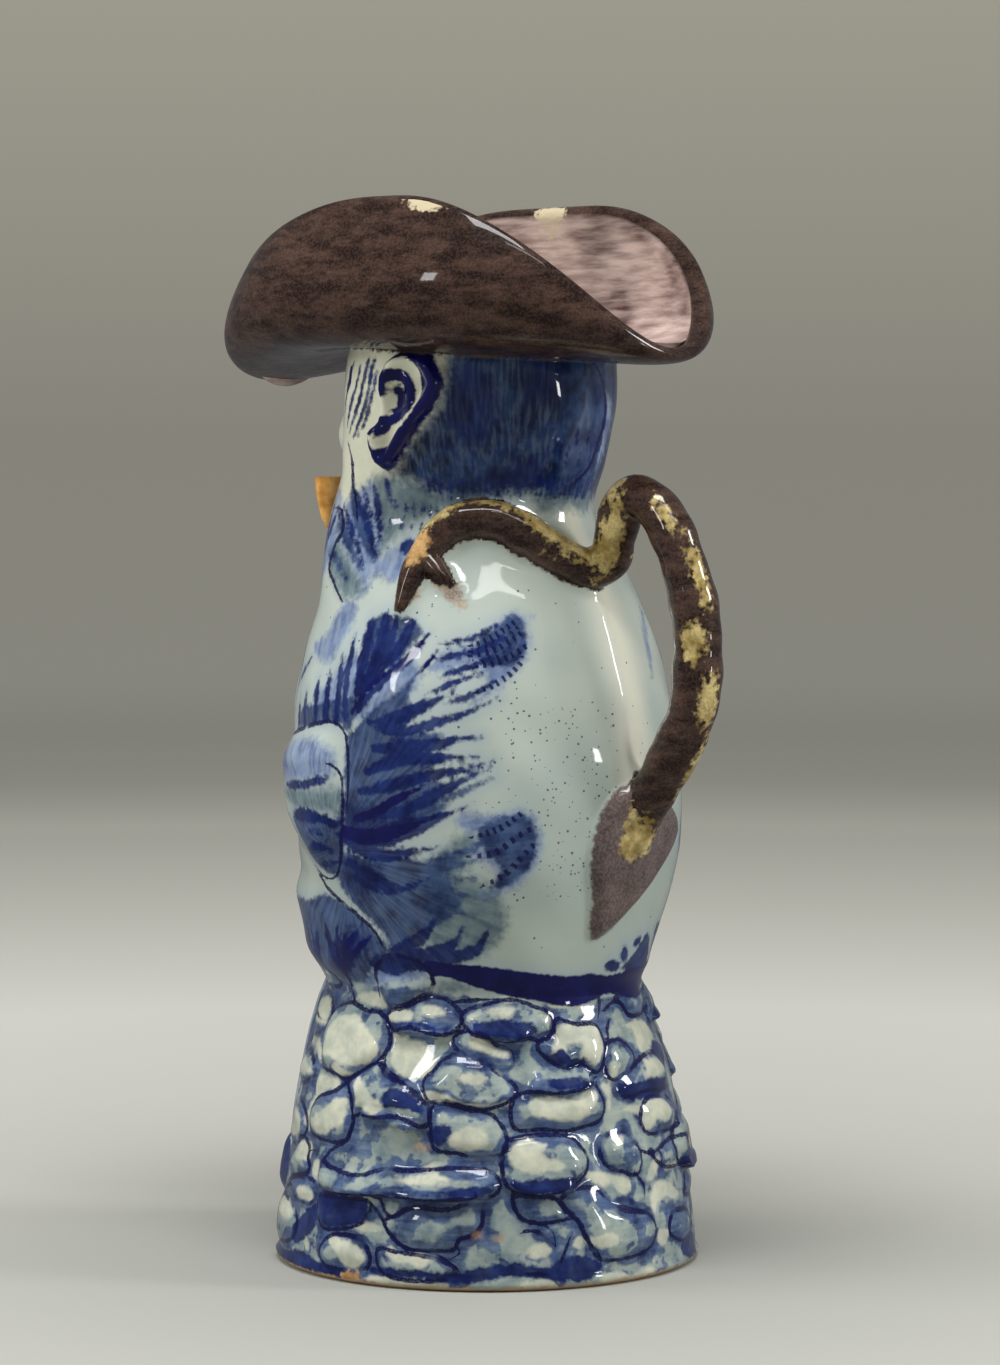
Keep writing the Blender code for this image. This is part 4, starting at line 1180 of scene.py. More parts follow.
@dataclass
class JugSkin:
    """The jug's whole skin, modelled finely and joined with the serpent and the pipe.

    Attributes:
        form: The thrown form.
        rocks: The rock seat.
        figure: The figure.
        hat: The cocked hat.
        serpent: The serpent.
        pipe: The stub pipe.
        columns: How many columns of points go up the skin.
        spacing: Wished distance between two columns at each angle.
        levels: Wished distance between two rings at each height.
        figure_rings: Rings of the figure's outer wall.
        brim_rings: Rings of the brim's outer face.
        edge_rings: Rings round the brim's edge.
        inner_rings: Rings of the brim's inner face.
        cavity_heights: Heights of the cavity's rings, from the mouth down.
        foot_flat: Radius of the flat underside.
        foot_edge: Radii and heights of the rounded foot.
        floor: Height of the cavity's floor.
        floor_corner: How far in and up the cavity's rings lie at its floor.
        mouth_step: How far the mouth is wider than the cavity.
        mouth_rounding: How far under the brim the mouth's rounding ends.
        relief_stop: Distance under the brim over which the relief dies away.
        fillet: How far the wall is drawn up to the serpent.
        fillet_reach: Distance from the serpent over which it is.
        joint_heights: Heights between which the serpent touches the wall.
        hand_unevenness: How uneven the wall was left.
        waves: Waves of that unevenness: size, number round the wall, phase for each millimetre of height, and
            phase at the start.
        wave_start: Heights over which the waves start.
    """

    form: TurnedForm = field(default_factory=TurnedForm)
    rocks: RockBase = field(default_factory=RockBase)
    figure: Figure = field(default_factory=Figure)
    hat: CockedHat = field(default_factory=CockedHat)
    serpent: Serpent = field(default_factory=Serpent)
    pipe: StubPipe = field(default_factory=StubPipe)
    columns: int = 276
    spacing: Points = (
        (-180.0, 0.85),
        (-136.0, 0.95),
        (-128.0, 1.6),
        (-66.0, 1.6),
        (-56.0, 1.05),
        (30.0, 1.0),
        (42.0, 0.8),
        (180.0, 0.85),
    )
    levels: Points = ((3.0, 0.8), (72.0, 0.85), (80.0, 1.05), (150.0, 1.05), (170.0, 0.95), (213.0, 0.9))
    figure_rings: int = 226
    brim_rings: int = 32
    edge_rings: int = 7
    inner_rings: int = 18
    cavity_heights: tuple[float, ...] = (
        206.0, 198.0, 190.0, 183.0, 176.5, 170.0, 163.0, 155.0, 146.0, 134.0, 122.0,
        110.0, 98.0, 87.0, 78.0, 71.0, 65.0, 56.0, 46.0, 30.0, 14.0,
    )
    foot_flat: float = 47.0
    foot_edge: Points = ((48.6, 0.15), (49.5, 0.8), (50.0, 1.8))
    floor: float = 6.5
    floor_corner: Points = ((1.0, 2.8), (3.0, 0.9), (6.5, 0.0))
    mouth_step: float = 0.9
    mouth_rounding: float = 0.8
    relief_stop: float = 2.6
    fillet: float = 1.5
    fillet_reach: float = 3.6
    joint_heights: tuple[float, float] = (90.0, 186.0)
    hand_unevenness: float = 0.22
    waves: tuple[tuple[float, float, float, float], ...] = (
        (1.0, 3.0, 0.09, 0.0),
        (0.7, 7.0, -0.16, 1.0),
        (0.5, 13.0, 0.31, 2.0),
    )
    wave_start: tuple[float, float] = (8.0, 30.0)

    def column_angles(self) -> np.ndarray:
        """Angles of the columns, closer together where the skin is finer."""
        return spread(self.spacing, -180.0, 180.0, 3600, self.columns, False)

    def ring_levels(self) -> np.ndarray:
        """Heights of the figure's rings."""
        return spread(self.levels, self.levels[0][0], self.form.head_top, 2100, self.figure_rings, True)

    def wobble(self, angle: np.ndarray, height: np.ndarray) -> np.ndarray:
        """Slight unevenness of a hand-modelled wall."""
        bearing = np.radians(angle)
        waves = sum(size * np.sin(round_it * bearing + up_it * height + start)
                    for size, round_it, up_it, start in self.waves)
        return self.hand_unevenness * waves * ease(*self.wave_start, height)

    def under_serpent(self, x: np.ndarray, y: np.ndarray, z: np.ndarray) -> np.ndarray:
        """How much the wall is drawn up to the serpent and its jaw, as clay is where they were joined."""
        places = np.stack((x.ravel(), y.ravel(), z.ravel()), axis=-1)
        away = np.full(len(places), np.inf)
        low, high = self.joint_heights
        near = np.flatnonzero((places[:, 2] > low) & (places[:, 2] < high))
        for route, radii in self.serpent.tubes(self.form):
            tree = tree_of(route)
            found = [tree.find(Vector(places[k])) for k in near]
            gap = np.array([distance - radii[k] for _, k, distance in found])
            away[near] = np.minimum(away[near], gap)
        lift = self.fillet * np.clip(1.0 - away / self.fillet_reach, 0.0, 1.0) ** 2
        return lift.reshape(x.shape)

    def figure_rows(self, angle: np.ndarray) -> tuple[np.ndarray, np.ndarray]:
        """Radius and height of the figure's outer wall, one ring a row."""
        levels = self.ring_levels()[:, None]
        foot = self.form.brim_foot(angle)[1] - self.form.head_top
        height = levels + foot * ease(self.form.neck, self.form.head_top, levels)
        around = np.broadcast_to(angle, height.shape)
        plain = self.form.radius(around, height)
        wall = Wall(around.ravel(), height.ravel(), plain.ravel())
        rocks = self.rocks.relief(wall).reshape(height.shape)
        carved = self.figure.relief(wall, self.form).reshape(height.shape) + self.wobble(around, height)
        top = self.form.brim_foot(angle)[1]
        carved = carved * (1.0 - ease(top - self.relief_stop, top, height))
        radius = plain + rocks + carved
        bearing = np.radians(around)
        radius = radius + self.under_serpent(radius * np.sin(bearing), -radius * np.cos(bearing), height)
        dropped = height - self.rocks.sag * np.maximum(rocks, 0.0) * ease(4.0, 9.0, height)
        return radius, dropped

    def rows(self, angle: np.ndarray) -> list[tuple[np.ndarray, np.ndarray, Part, float]]:
        """Every ring of the skin in order, from the underside to the cavity's floor.

        Args:
            angle: Angles of the columns.

        Returns:
            Radius, height, part and brim share of each ring. The share is 0 at the head, 1 to 2 round the
            brim's edge and nearly 3 where its inner face ends.
        """
        ones = np.ones_like(angle)
        flat = [self.foot_flat * share for share in (0.35, 0.7, 1.0)]
        made = [(radius * ones, 0.0 * ones, Part.UNDERSIDE, 0.0) for radius in flat]
        made += [(radius * ones, height * ones, Part.FIGURE, 0.0) for radius, height in self.foot_edge]
        for radius, height in zip(*self.figure_rows(angle)):
            made.append((radius, height, Part.FIGURE, 0.0))
        for share in np.linspace(0.0, 1.0, self.brim_rings + 1)[1:]:
            radius, height, _, _ = self.hat.section(self.form, angle, share)
            made.append((radius, height, Part.BRIM_OUTSIDE, share))
        radius, height, out, up = self.hat.section(self.form, angle, 1.0)
        half = 0.5 * self.hat.thickness
        for sweep in np.linspace(0.0, np.pi, self.edge_rings + 2)[1:-1]:
            inward, onward = half * (1.0 - np.cos(sweep)), half * np.sin(sweep)
            made.append((radius - up * inward + out * onward, height + out * inward + up * onward,
                         Part.BRIM_EDGE, 1.0 + sweep / np.pi))
        for share in np.linspace(1.0, self.hat.inner_end, self.inner_rings):
            radius, height, out, up = self.hat.section(self.form, angle, share)
            thick = self.hat.thickness
            made.append((radius - up * thick, height + out * thick, Part.BRIM_INSIDE, 3.0 - share))
        lip = self.form.brim_foot(angle)[1] + self.hat.thickness
        mouth = self.form.cavity(np.array(self.form.head_top))
        made.append(((mouth + self.mouth_step) * ones, lip - self.mouth_rounding, Part.CAVITY, 0.0))
        made.append(((mouth + 0.2) * ones, lip - 2.0 * self.mouth_rounding - 0.8, Part.CAVITY, 0.0))
        for level in self.cavity_heights:
            made.append((self.form.cavity(np.array(level)) * ones, level * ones, Part.CAVITY, 0.0))
        floor_radius = self.form.cavity(np.array(self.cavity_heights[-1]))
        for inset, rise in self.floor_corner:
            made.append(((floor_radius - inset) * ones, (self.floor + rise) * ones, Part.CAVITY, 0.0))
        return made

    def shell(self) -> tuple[bpy.types.Object, np.ndarray, np.ndarray]:
        """The hollow figure with its hat as one closed mesh.

        Returns:
            The object, and the part and share of each of its vertices.
        """
        angle = self.column_angles()
        rows = self.rows(angle)
        bearing = np.radians(angle)
        points = np.array([
            np.stack((radius * np.sin(bearing), -radius * np.cos(bearing), height), axis=-1)
            for radius, height, _, _ in rows
        ])
        count, columns = points.shape[:2]
        verts = np.vstack((points.reshape(-1, 3), [[0.0, 0.0, 0.0], [0.0, 0.0, self.floor]])) * MM
        ring = np.arange(columns)
        following = (ring + 1) % columns
        faces = []
        for row in range(count - 1):
            low, high = row * columns, (row + 1) * columns
            quads = np.stack((low + ring, low + following, high + following, high + ring), axis=-1)
            split = np.concatenate((quads[:, [0, 1, 2]], quads[:, [0, 2, 3]]))
            faces.append(split)
        under, over = count * columns, count * columns + 1
        last = (count - 1) * columns
        faces.append(np.stack((following, ring, np.full(columns, under)), axis=-1))
        faces.append(np.stack((last + ring, last + following, np.full(columns, over)), axis=-1))
        mesh = bpy.data.meshes.new("glazed_jug")
        mesh.from_pydata(verts.tolist(), [], np.concatenate(faces).tolist())
        mesh.update()
        skin = bpy.data.objects.new("glazed_jug", mesh)
        bpy.context.scene.collection.objects.link(skin)
        part = np.repeat([row[2].value for row in rows] + [Part.UNDERSIDE.value, Part.CAVITY.value],
                         [columns] * count + [1, 1])
        share = np.repeat([row[3] for row in rows] + [0.0, 0.0], [columns] * count + [1, 1])
        return skin, part, share

    def additions(self) -> list[tuple[bpy.types.Object, Part]]:
        """The serpent, its jaw, and the pipe's bowl and stem as loose closed tubes."""
        serpent, pipe = self.serpent, self.pipe
        (route, body), (jaw, jaw_radii) = serpent.tubes(self.form)
        place = np.linspace(0.0, 1.0, serpent.rings)
        swellings = (share * np.sin(place * turns + start) for share, turns, start in serpent.swells)
        body = body * sum(swellings, 1.0)
        stem, bowl = np.full(pipe.rings, pipe.stem_radius), serpent.radii(pipe.rings, pipe.bowl)
        return [
            (new_object(tube(route, body, serpent.sides), "serpent"), Part.SERPENT),
            (new_object(tube(jaw, jaw_radii, serpent.jaw_sides), "serpent_jaw"), Part.SERPENT),
            (new_object(tube(pipe.stem(), stem, pipe.sides), "pipe_stem"), Part.PIPE),
            (new_object(tube(pipe.axis(), bowl, pipe.sides, (4, 0)), "pipe_bowl"), Part.PIPE),
        ]

    def build(self) -> tuple[bpy.types.Object, np.ndarray, np.ndarray]:
        """The whole skin as one mesh.

        Returns:
            The object, and the part and brim share of each of its vertices.
        """
        skin, part, share = self.shell()
        sources = [np.array([vert.co[:] for vert in skin.data.vertices])]
        parts = [part]
        shares = [share]
        for loose, kind in self.additions():
            sources.append(np.array([vert.co[:] for vert in loose.data.vertices]))
            parts.append(np.full(len(sources[-1]), kind.value))
            shares.append(np.zeros(len(sources[-1])))
            self.join(skin, loose)
        tree = tree_of(np.vstack(sources))
        nearest = np.array([tree.find(vert.co)[1] for vert in skin.data.vertices])
        return skin, np.concatenate(parts)[nearest], np.concatenate(shares)[nearest]

    def join(self, skin: bpy.types.Object, loose: bpy.types.Object) -> None:
        """Unites a loose shape with the skin and removes it."""
        union = skin.modifiers.new("join", "BOOLEAN")
        union.operation = "UNION"
        union.solver = "MANIFOLD"
        union.object = loose
        evaluated = skin.evaluated_get(bpy.context.evaluated_depsgraph_get())
        mesh = bpy.data.meshes.new_from_object(evaluated)
        skin.modifiers.clear()
        skin.data = mesh
        bpy.data.objects.remove(loose)


# How many layers share out the thin lines, how thin half a line may get, and where its side stops counting.
LINE_LAYERS = 4
THINNEST = 0.12
SIDE_LIMIT = 9.0
# Where along a stroke its full width starts and ends.
FULL_FROM = 0.3
FULL_TO = 0.45


class Coat(Enum):
    """The coats of colour, in the order in which they are laid."""

    CREAM = "cream"
    TINT = "tint"
    LILAC = "lilac"
    WASH = "wash"
    ROCK = "rock"
    RIM = "rim"
    HEART = "heart"
    HAIR = "hair"
    DEEP = "deep"
    SHADE = "shade"
    INK = "ink"
    OCHRE = "ochre"
    STAIN = "stain"
    MANGANESE = "manganese"
    TAIL = "tail"
    YELLOW = "yellow"


def area(*numbers: float) -> Mark:
    """A painted area with a closed outline, given as an angle and a height for each of its places."""
    return Mark(path(*numbers), closed=True)


def stroke(width: float, start: float, end: float, *numbers: float) -> Mark:
    """A brush stroke whose ends are shares of its greatest width."""
    return Mark(path(*numbers), width, start, end)


def both_sides(marks: Iterable[Mark]) -> list[Mark]:
    """Each mark as it is drawn on the figure's left, followed by its mirrored copy."""
    return [mark.moved(side, 0.0) for mark in marks for side in (1.0, -1.0)]


@dataclass(frozen=True)
class Blotch:
    """A patch of colour on the serpent.

    Attributes:
        share: Where it is along the serpent, from 0 at the snout to 1.
        azimuth: Which way it faces round the jug, in degrees.
        elevation: How far up it faces, in degrees.
        length: Half its length along the serpent.
        width: Half its width.
    """

    share: float
    azimuth: float
    elevation: float
    length: float
    width: float


@dataclass
class LineLayer:
    """Drawn lines kept far enough apart to be read from one pair of values at each place.

    Attributes:
        side: Distance from the nearest line in half widths, with a sign for its side.
        reach: Distance from the nearest line.
        along: Distance along it.
        curves: The lines' own places, in millimetres on the unrolled wall.
    """

    side: np.ndarray
    reach: np.ndarray
    along: np.ndarray
    curves: list[np.ndarray] = field(default_factory=list)

    @classmethod
    def empty(cls, wall: Wall) -> "LineLayer":
        """A layer of a wall without lines."""
        shape = wall.angle.shape
        return cls(np.full(shape, SIDE_LIMIT), np.full(shape, FAR), np.zeros(shape))

    def room(self, curve: np.ndarray) -> float:
        """Distance from a new line to the nearest that is drawn."""
        best = FAR
        for other in self.curves:
            low = np.maximum(other.min(axis=0), curve.min(axis=0))
            high = np.minimum(other.max(axis=0), curve.max(axis=0))
            if np.all(low - high < best):
                gaps = np.linalg.norm(other[:, None] - curve[None], axis=-1)
                best = min(best, float(gaps.min()))
        return best

    def draw(self, mark: Mark, trace: Trace, length: float) -> None:
        """Adds a line."""
        half = np.maximum(half_width(mark, trace.share), THINNEST)
        closer = trace.distance < self.reach[trace.near]
        near = trace.near[closer]
        self.side[near] = np.clip(trace.side / half, -SIDE_LIMIT, SIDE_LIMIT)[closer]
        self.reach[near] = trace.distance[closer]
        self.along[near] = (trace.share * length)[closer]


def half_width(mark: Mark, share: np.ndarray) -> np.ndarray:
    """Half a stroke's width at each share of its length."""
    if mark.closed:
        return np.full(np.shape(share), 0.5 * mark.width)
    swell = mark.start + (1.0 - mark.start) * ease(0.0, FULL_FROM, share)
    fade = mark.end + (1.0 - mark.end) * (1.0 - ease(FULL_TO, 1.0, share))
    return 0.5 * mark.width * swell * fade


def sheaf(width: float, apart: float, bow: float, *numbers: float) -> list[Mark]:
    """Strokes that fan out from one root.

    Args:
        width: Width of each stroke.
        apart: How far apart they start, as a share of how far apart they end.
        bow: How far each bends upwards on its way.
        numbers: Angle and height of the root and then of each stroke's end.

    Returns:
        The strokes.
    """
    root, *tips = (np.array(place) for place in path(*numbers))
    middle = np.mean(tips, axis=0)
    made = []
    for k, tip in enumerate(tips):
        start = root + apart * (tip - middle)
        half = 0.5 * (start + tip) + (0.0, bow)
        uneven = float(width * (1.0 + 0.3 * np.sin(2.4 * k + 1.0)))
        made.append(Mark((tuple(start), tuple(half), tuple(tip)), uneven, 0.8, 0.1))
    return made


# Marks of the figure's left side and front that its right side repeats mirrored.
PAIRED_MARKS: dict[Coat, tuple[Mark, ...]] = {
    Coat.TINT: (
        area(114, 95, 124, 94, 132, 91, 137, 86, 136, 80, 130, 75.6, 118, 73.8, 111, 80),
        area(72, 184, 81, 184, 88, 182.6, 100, 181.6, 112, 180, 126, 179.6, 118, 176.6, 104, 175.4,
            93, 172.8, 86, 169.4, 82, 165.5, 77, 171.6, 72, 178.7),
        area(112, 178, 112, 186, 130, 187, 150, 186, 170, 187, 200, 186, 200, 176, 188, 175.6, 175, 177,
            160, 179, 140, 178.6),
        area(114, 96.6, 120, 101, 127, 104, 128, 100, 126, 96, 122, 92.6, 118, 91),
        area(52.4, 168.8, 55.8, 170, 62, 168, 68.2, 164.3, 75.6, 160.4, 79.9, 157.4, 76, 156, 70, 155,
            63.5, 158, 56.5, 162),
        area(65.2, 107.3, 78.9, 106.9, 85.2, 106.7, 85.2, 111.8, 78.9, 112.7, 56, 111),
    ),
    Coat.LILAC: (
        area(54.5, 174.5, 63.9, 180.2, 69, 182, 72.6, 182.3, 73, 178.7, 78, 171.6, 82.5, 165.5, 80.9, 162.5,
            79, 158.6, 75.6, 160.4, 68.2, 164.3, 60.7, 168.9),
        area(60, 122.7, 66, 123.4, 72.8, 123.6, 80.5, 121.3, 82, 117.4, 78.7, 114.9, 65.5, 113.7, 54, 114,
            48, 118),
        area(85, 166.5, 90.8, 169.1, 95.2, 169.6, 97, 167.6, 96.6, 163.6, 94.5, 161.3, 90.7, 159.5,
            83.6, 161, 81.2, 157.9, 78.5, 156.3, 79.2, 159.9, 80.9, 163.5),
        area(57.4, 144.6, 65.3, 147.9, 67.8, 152.1, 72.2, 155.2, 77.6, 154, 78.5, 151.3, 76.9, 148.2,
            74.6, 144.6, 72.9, 141.5, 64.6, 141.3),
        area(68.5, 134.3, 74.1, 136, 78.5, 140.7, 82.2, 143.3, 85.9, 143.4, 88.5, 141.4, 89.7, 133.4,
            80, 131.6, 69.2, 130.2),
        area(88, 131, 94, 136.6, 101, 141, 107, 142.4, 110, 138.4, 106, 134, 99, 131, 92, 128),
        stroke(4.4, 0.3, 0.9, 112, 140.6, 122, 143, 132, 145),
        area(126, 145.6, 132, 149, 140, 152.6, 144, 151.6, 146.6, 152.4, 144, 149.4, 145, 146, 142.6, 142.4,
            139, 139, 133, 135.4, 126, 132.6, 131, 136.4, 129, 140, 124, 142),
        area(124, 108, 133, 107.4, 140, 108.6, 144, 107, 146.4, 102.6, 145.6, 97.6, 142, 93, 136, 90,
            129, 88.8, 134, 92.4, 132, 96, 126, 98.4, 130, 102, 123, 104.6),
    ),
    Coat.WASH: (
        area(166, 214, 186, 214, 187, 202, 185, 190, 187, 179.6, 176, 179.4, 164, 182),
        stroke(3.4, 0.6, 0.6, 62, 180.4, 69, 173, 80, 165),
        stroke(2.6, 0.5, 0.5, 55, 176, 63, 169.6, 74, 162.6),
        stroke(2.2, 0.4, 0.4, 53, 166, 60, 164.4, 68, 160),
        area(83.6, 97.6, 93.5, 97.4, 104, 98, 111.6, 97, 117.4, 94.2, 121.6, 90.8, 123, 86.2, 117, 82.7,
            110, 80, 98.4, 75.1, 96, 79, 86.5, 84.9, 80.2, 90.4),
        area(108.4, 138.8, 104.4, 135.7, 98.8, 132.7, 93.8, 130, 89.2, 126.4, 85.4, 124, 85.2, 112,
            85.4, 103, 93, 102, 102, 103, 110, 105, 116, 107.4, 120, 109.6, 113, 111, 119, 114, 113, 117,
            120, 120.4, 112.6, 122, 119.1, 125.5, 112.4, 126, 106, 126.4, 109.5, 129.9, 114.8, 132.4,
            107, 133, 107.4, 135.8),
        area(86.2, 150.4, 92.9, 152.5, 98.7, 151.6, 103.9, 151.6, 109.7, 148.2, 106.9, 146.7, 103.2, 142.7,
            99, 140.1, 94.9, 136.6, 91.4, 133.5, 89.1, 132.4, 88.3, 138.9, 87, 144.9),
        area(59.4, 130.3, 68.7, 131.2, 79.6, 132.9, 88.9, 133.4, 91.7, 132.5, 88.1, 128.4, 84.9, 125.5,
            80.9, 127.6, 75.7, 127.2, 58, 125.6),
        area(62.5, 106, 73.4, 106.9, 81, 105.9, 84.8, 105, 84.8, 98.1, 81.6, 92.8, 77, 92.2, 71.2, 95,
            66.3, 99.9),
        area(46, 84, 62.9, 85.6, 71.8, 87.4, 79.7, 85.7, 87.9, 82.1, 94.2, 78.4, 96.5, 75.6, 93, 73.1,
            80.9, 67.2, 70.1, 66, 62.3, 67.6, 50, 68),
        area(127, 146, 133, 149.6, 140, 152.4, 143.4, 150.6, 144, 146, 140, 141.6, 134, 141, 128, 142.4),
        area(128, 104.4, 136, 107.4, 142, 107.4, 145.4, 102.6, 144, 96.6, 138, 92, 132, 90.4, 135, 95,
            130, 100),
        *sheaf(2.6, 0.3, 0.8, 104, 90, 130, 97.4, 128, 93, 131, 88.4, 127, 84),
        stroke(2.2, 0.5, 0.4, 113, 96.6, 124, 99, 134, 102.6),
        stroke(2.0, 0.4, 0.2, 110, 109, 121, 112, 133, 116),
        area(93, 62.8, 95, 66.4, 104, 66.2, 110, 67.6, 108, 64.8, 101, 63.4),
        stroke(2.4, 0.8, 0.1, 22, 67, 21, 54, 22, 44, 24, 34),
        stroke(2.6, 0.8, 0.2, 34, 66, 35.6, 54, 35, 42, 33, 33),
        stroke(2.0, 0.8, 0.1, 28, 68, 28.6, 60, 28, 52),
        stroke(3.0, 0.6, 0.6, 46.6, 102.6, 48.4, 109, 46.6, 116.4),
        stroke(3.2, 0.3, 0.5, 22, 148, 25, 138, 26, 128, 25.6, 120),
        stroke(3.0, 0.3, 0.5, 34, 151, 38.6, 140, 42.6, 128),
        stroke(2.2, 0.3, 0.3, 13.6, 148, 15, 138, 16, 126),
        *sheaf(2.8, 0.1, 0.5, 44, 70, 24, 76, 27, 80.6, 32, 84, 38, 85.6),
        area(17.3, 200.2, 18.6, 201.9, 20.6, 201.9, 21.8, 200.2, 20.6, 198.6, 18.6, 198.6),
    ),
    Coat.DEEP: (
        stroke(3.6, 0.7, 0.6, 87.6, 150.4, 88.6, 143.9, 89.6, 134),
        stroke(3.4, 0.7, 0.6, 93.3, 151.8, 94, 144, 92.3, 135),
        stroke(2.6, 0.6, 0.4, 98.2, 151.6, 97.4, 145.1, 94, 137),
        stroke(3.0, 0.5, 0.4, 105, 151, 101.7, 145.6, 96.1, 138.6),
        stroke(2.4, 0.3, 0.7, 111.2, 148.2, 106.2, 143.2, 99.3, 138.6, 90, 130.4),
        stroke(2.4, 0.3, 0.9, 81.3, 147.3, 82.7, 142.3, 83.6, 134, 84, 128.6),
        stroke(2.4, 0.3, 0.9, 77.6, 142.7, 79.6, 137.2, 79.9, 130.6, 80, 128),
        stroke(2.2, 0.3, 0.9, 73.2, 139, 74.6, 133, 75, 128),
        stroke(2.0, 0.3, 0.9, 67.5, 137.4, 69, 132, 69.4, 127.4),
        stroke(2.0, 0.3, 0.9, 61.7, 134, 61.8, 130, 61.8, 126),
        stroke(1.8, 0.3, 0.9, 55.7, 131.6, 55.8, 128, 55.8, 125.6),
        stroke(1.6, 0.3, 0.4, 50, 136, 54, 138.6, 58, 141.6),
        stroke(1.9, 0.3, 0.7, 63.2, 180.5, 67, 176.6, 73.6, 171.6, 79.6, 166),
        stroke(1.7, 0.3, 0.6, 72.6, 182.3, 74.5, 179.2, 76.4, 174.6, 80, 169),
        stroke(1.6, 0.3, 0.5, 58, 177, 65.4, 171, 72, 166.4, 76, 162.4),
        stroke(1.2, 0.3, 0.4, 67, 181.6, 71, 177, 75, 172.6),
        stroke(1.4, 0.4, 0.3, 80, 183.4, 80.6, 180, 82.4, 176.4),
        area(89, 168, 93.9, 169.4, 96.6, 168.4, 95, 166, 92, 166),
        stroke(5.0, 0.9, 0.1, 85.7, 101.9, 94, 101.4, 102.5, 102.9, 108.9, 104.5, 116, 106.6, 125.9, 109.8),
        stroke(3.2, 0.6, 0.2, 96.8, 106.6, 105.9, 108.1, 113.5, 111.1, 124.8, 115.7, 132, 118.6),
        stroke(3.0, 0.6, 0.1, 86.6, 99.2, 95.6, 97.9, 104, 98.2, 111.8, 99.5, 118, 100.6),
        stroke(3.2, 0.8, 0.2, 86, 95.9, 92.8, 93.3, 101.2, 90.8, 108.6, 90.3),
        stroke(2.0, 0.8, 0.2, 87, 92.6, 94, 90.2, 102.9, 90, 114.4, 93.4),
        stroke(3.4, 0.3, 0.1, 96, 128, 105, 129.6, 113, 132.4, 121, 135.4),
        stroke(2.6, 0.5, 0.2, 92, 128.6, 104.1, 126, 113, 127.6, 126, 131, 134, 134),
        stroke(3.4, 0.6, 0.2, 96, 122, 112.6, 123, 122, 124.4, 129.4, 125.2),
        stroke(3.6, 0.6, 0.2, 94, 117, 106, 120, 118, 120.4, 128.4, 120.4),
        stroke(3.2, 0.6, 0.15, 92, 112, 102.8, 114, 116, 116.6, 126, 118, 132.6, 119.8),
        stroke(1.8, 0.2, 0.8, 113, 142.2, 122, 143.4, 130, 145, 136, 147.2),
        stroke(1.4, 0.2, 0.8, 115, 146, 125, 147, 134, 150),
        stroke(1.6, 0.2, 0.7, 116, 138.6, 126, 141, 133, 143),
        stroke(1.5, 0.2, 0.6, 112, 134.5, 120, 137, 129, 139.4),
        stroke(1.6, 0.2, 0.6, 118, 132.4, 126, 134.4, 134, 138),
        stroke(1.5, 0.3, 0.8, 55, 195, 58, 198, 62, 203, 66, 209),
        stroke(1.5, 0.3, 0.8, 58, 193.6, 63, 197.6, 68, 203.4, 72, 210.6),
        stroke(1.4, 0.3, 0.8, 61, 192.4, 67, 196.8, 72, 202.6, 76, 210.6),
        stroke(1.2, 0.3, 0.8, 65, 193, 70, 196.4, 74, 200.6, 78, 207.6),
        stroke(1.2, 0.3, 0.8, 52, 198, 54, 203, 58, 210),
        stroke(2.2, 0.4, 0.9, 58, 112.2, 65.6, 112.6, 72, 113, 78.9, 114.6),
        stroke(3.4, 0.3, 0.6, 62.5, 105.4, 70, 106, 78, 105.6, 82.6, 104),
        stroke(2.4, 0.4, 0.5, 70, 97, 75.6, 99, 81, 98),
        stroke(1.4, 0.4, 0.3, 72, 102, 76, 102.4, 80, 101),
        stroke(1.6, 0.4, 0.5, 74, 94, 78, 95, 81.6, 95.4),
        stroke(3.2, 0.9, 0.2, 98, 75.4, 105.1, 77.4, 112.4, 81, 115.4, 84.6),
        stroke(3.0, 0.8, 0.2, 107, 74.6, 119.3, 77.5, 124, 82.2),
        stroke(3.0, 0.8, 0.2, 117, 74.6, 127.2, 76.5, 131.6, 81.6),
        area(98.5, 76.4, 105, 77, 111, 76.4, 119.2, 76, 124, 74.7, 119, 72.8, 109, 72.6, 100, 73),
        *sheaf(2.4, 0.1, -0.6, 75.6, 69.6, 71, 82.8, 78, 82, 82.6, 81, 87, 82, 91.6, 79.2),
        *sheaf(2.0, 0.3, 0.6, 58, 69, 50, 81, 56, 83, 62, 82, 67, 80.6),
        area(7, 25, 10, 29.6, 18, 31, 27, 30, 36, 26, 38.6, 20, 34, 14.6, 24, 11.6, 12, 13),
        stroke(1.3, 0.5, 0.3, 22, 48, 28, 46.6, 35, 48),
        stroke(1.3, 0.5, 0.3, 22.6, 42.6, 28, 41, 34, 42.4),
        *(stroke(1.3, 0.8, 0.4, 4.4, height, 9.6, height + 0.5) for height in Figure.buttons),
        stroke(2.2, 0.6, 0.2, 10, 205.4, 15, 207, 21, 207.2, 28, 205.2),
        stroke(2.6, 0.6, 0.2, 1.6, 187.6, 7, 187.2, 13, 185.2, 19, 182.6, 25, 179.8),
        stroke(1.8, 0.6, 0.2, 3, 186.4, 9, 185, 15, 182.4, 20, 179.6),
    ),
    Coat.SHADE: (
        area(84.4, 98, 90, 96.6, 97, 96.4, 98, 92, 94, 88, 88, 87.4, 82, 89.6, 82, 93),
        area(84, 100, 85, 110, 92, 110, 100, 107, 108, 106, 100, 102.6, 92, 100.6),
        stroke(6.0, 0.7, 0.3, 89.6, 133, 92.4, 138, 95, 143),
        area(145, 196, 146, 204, 148, 211, 156, 212, 164, 210, 167, 204, 160, 202, 153, 200),
        area(114, 196, 116, 206, 124, 210, 134, 206, 136, 196, 126, 190),
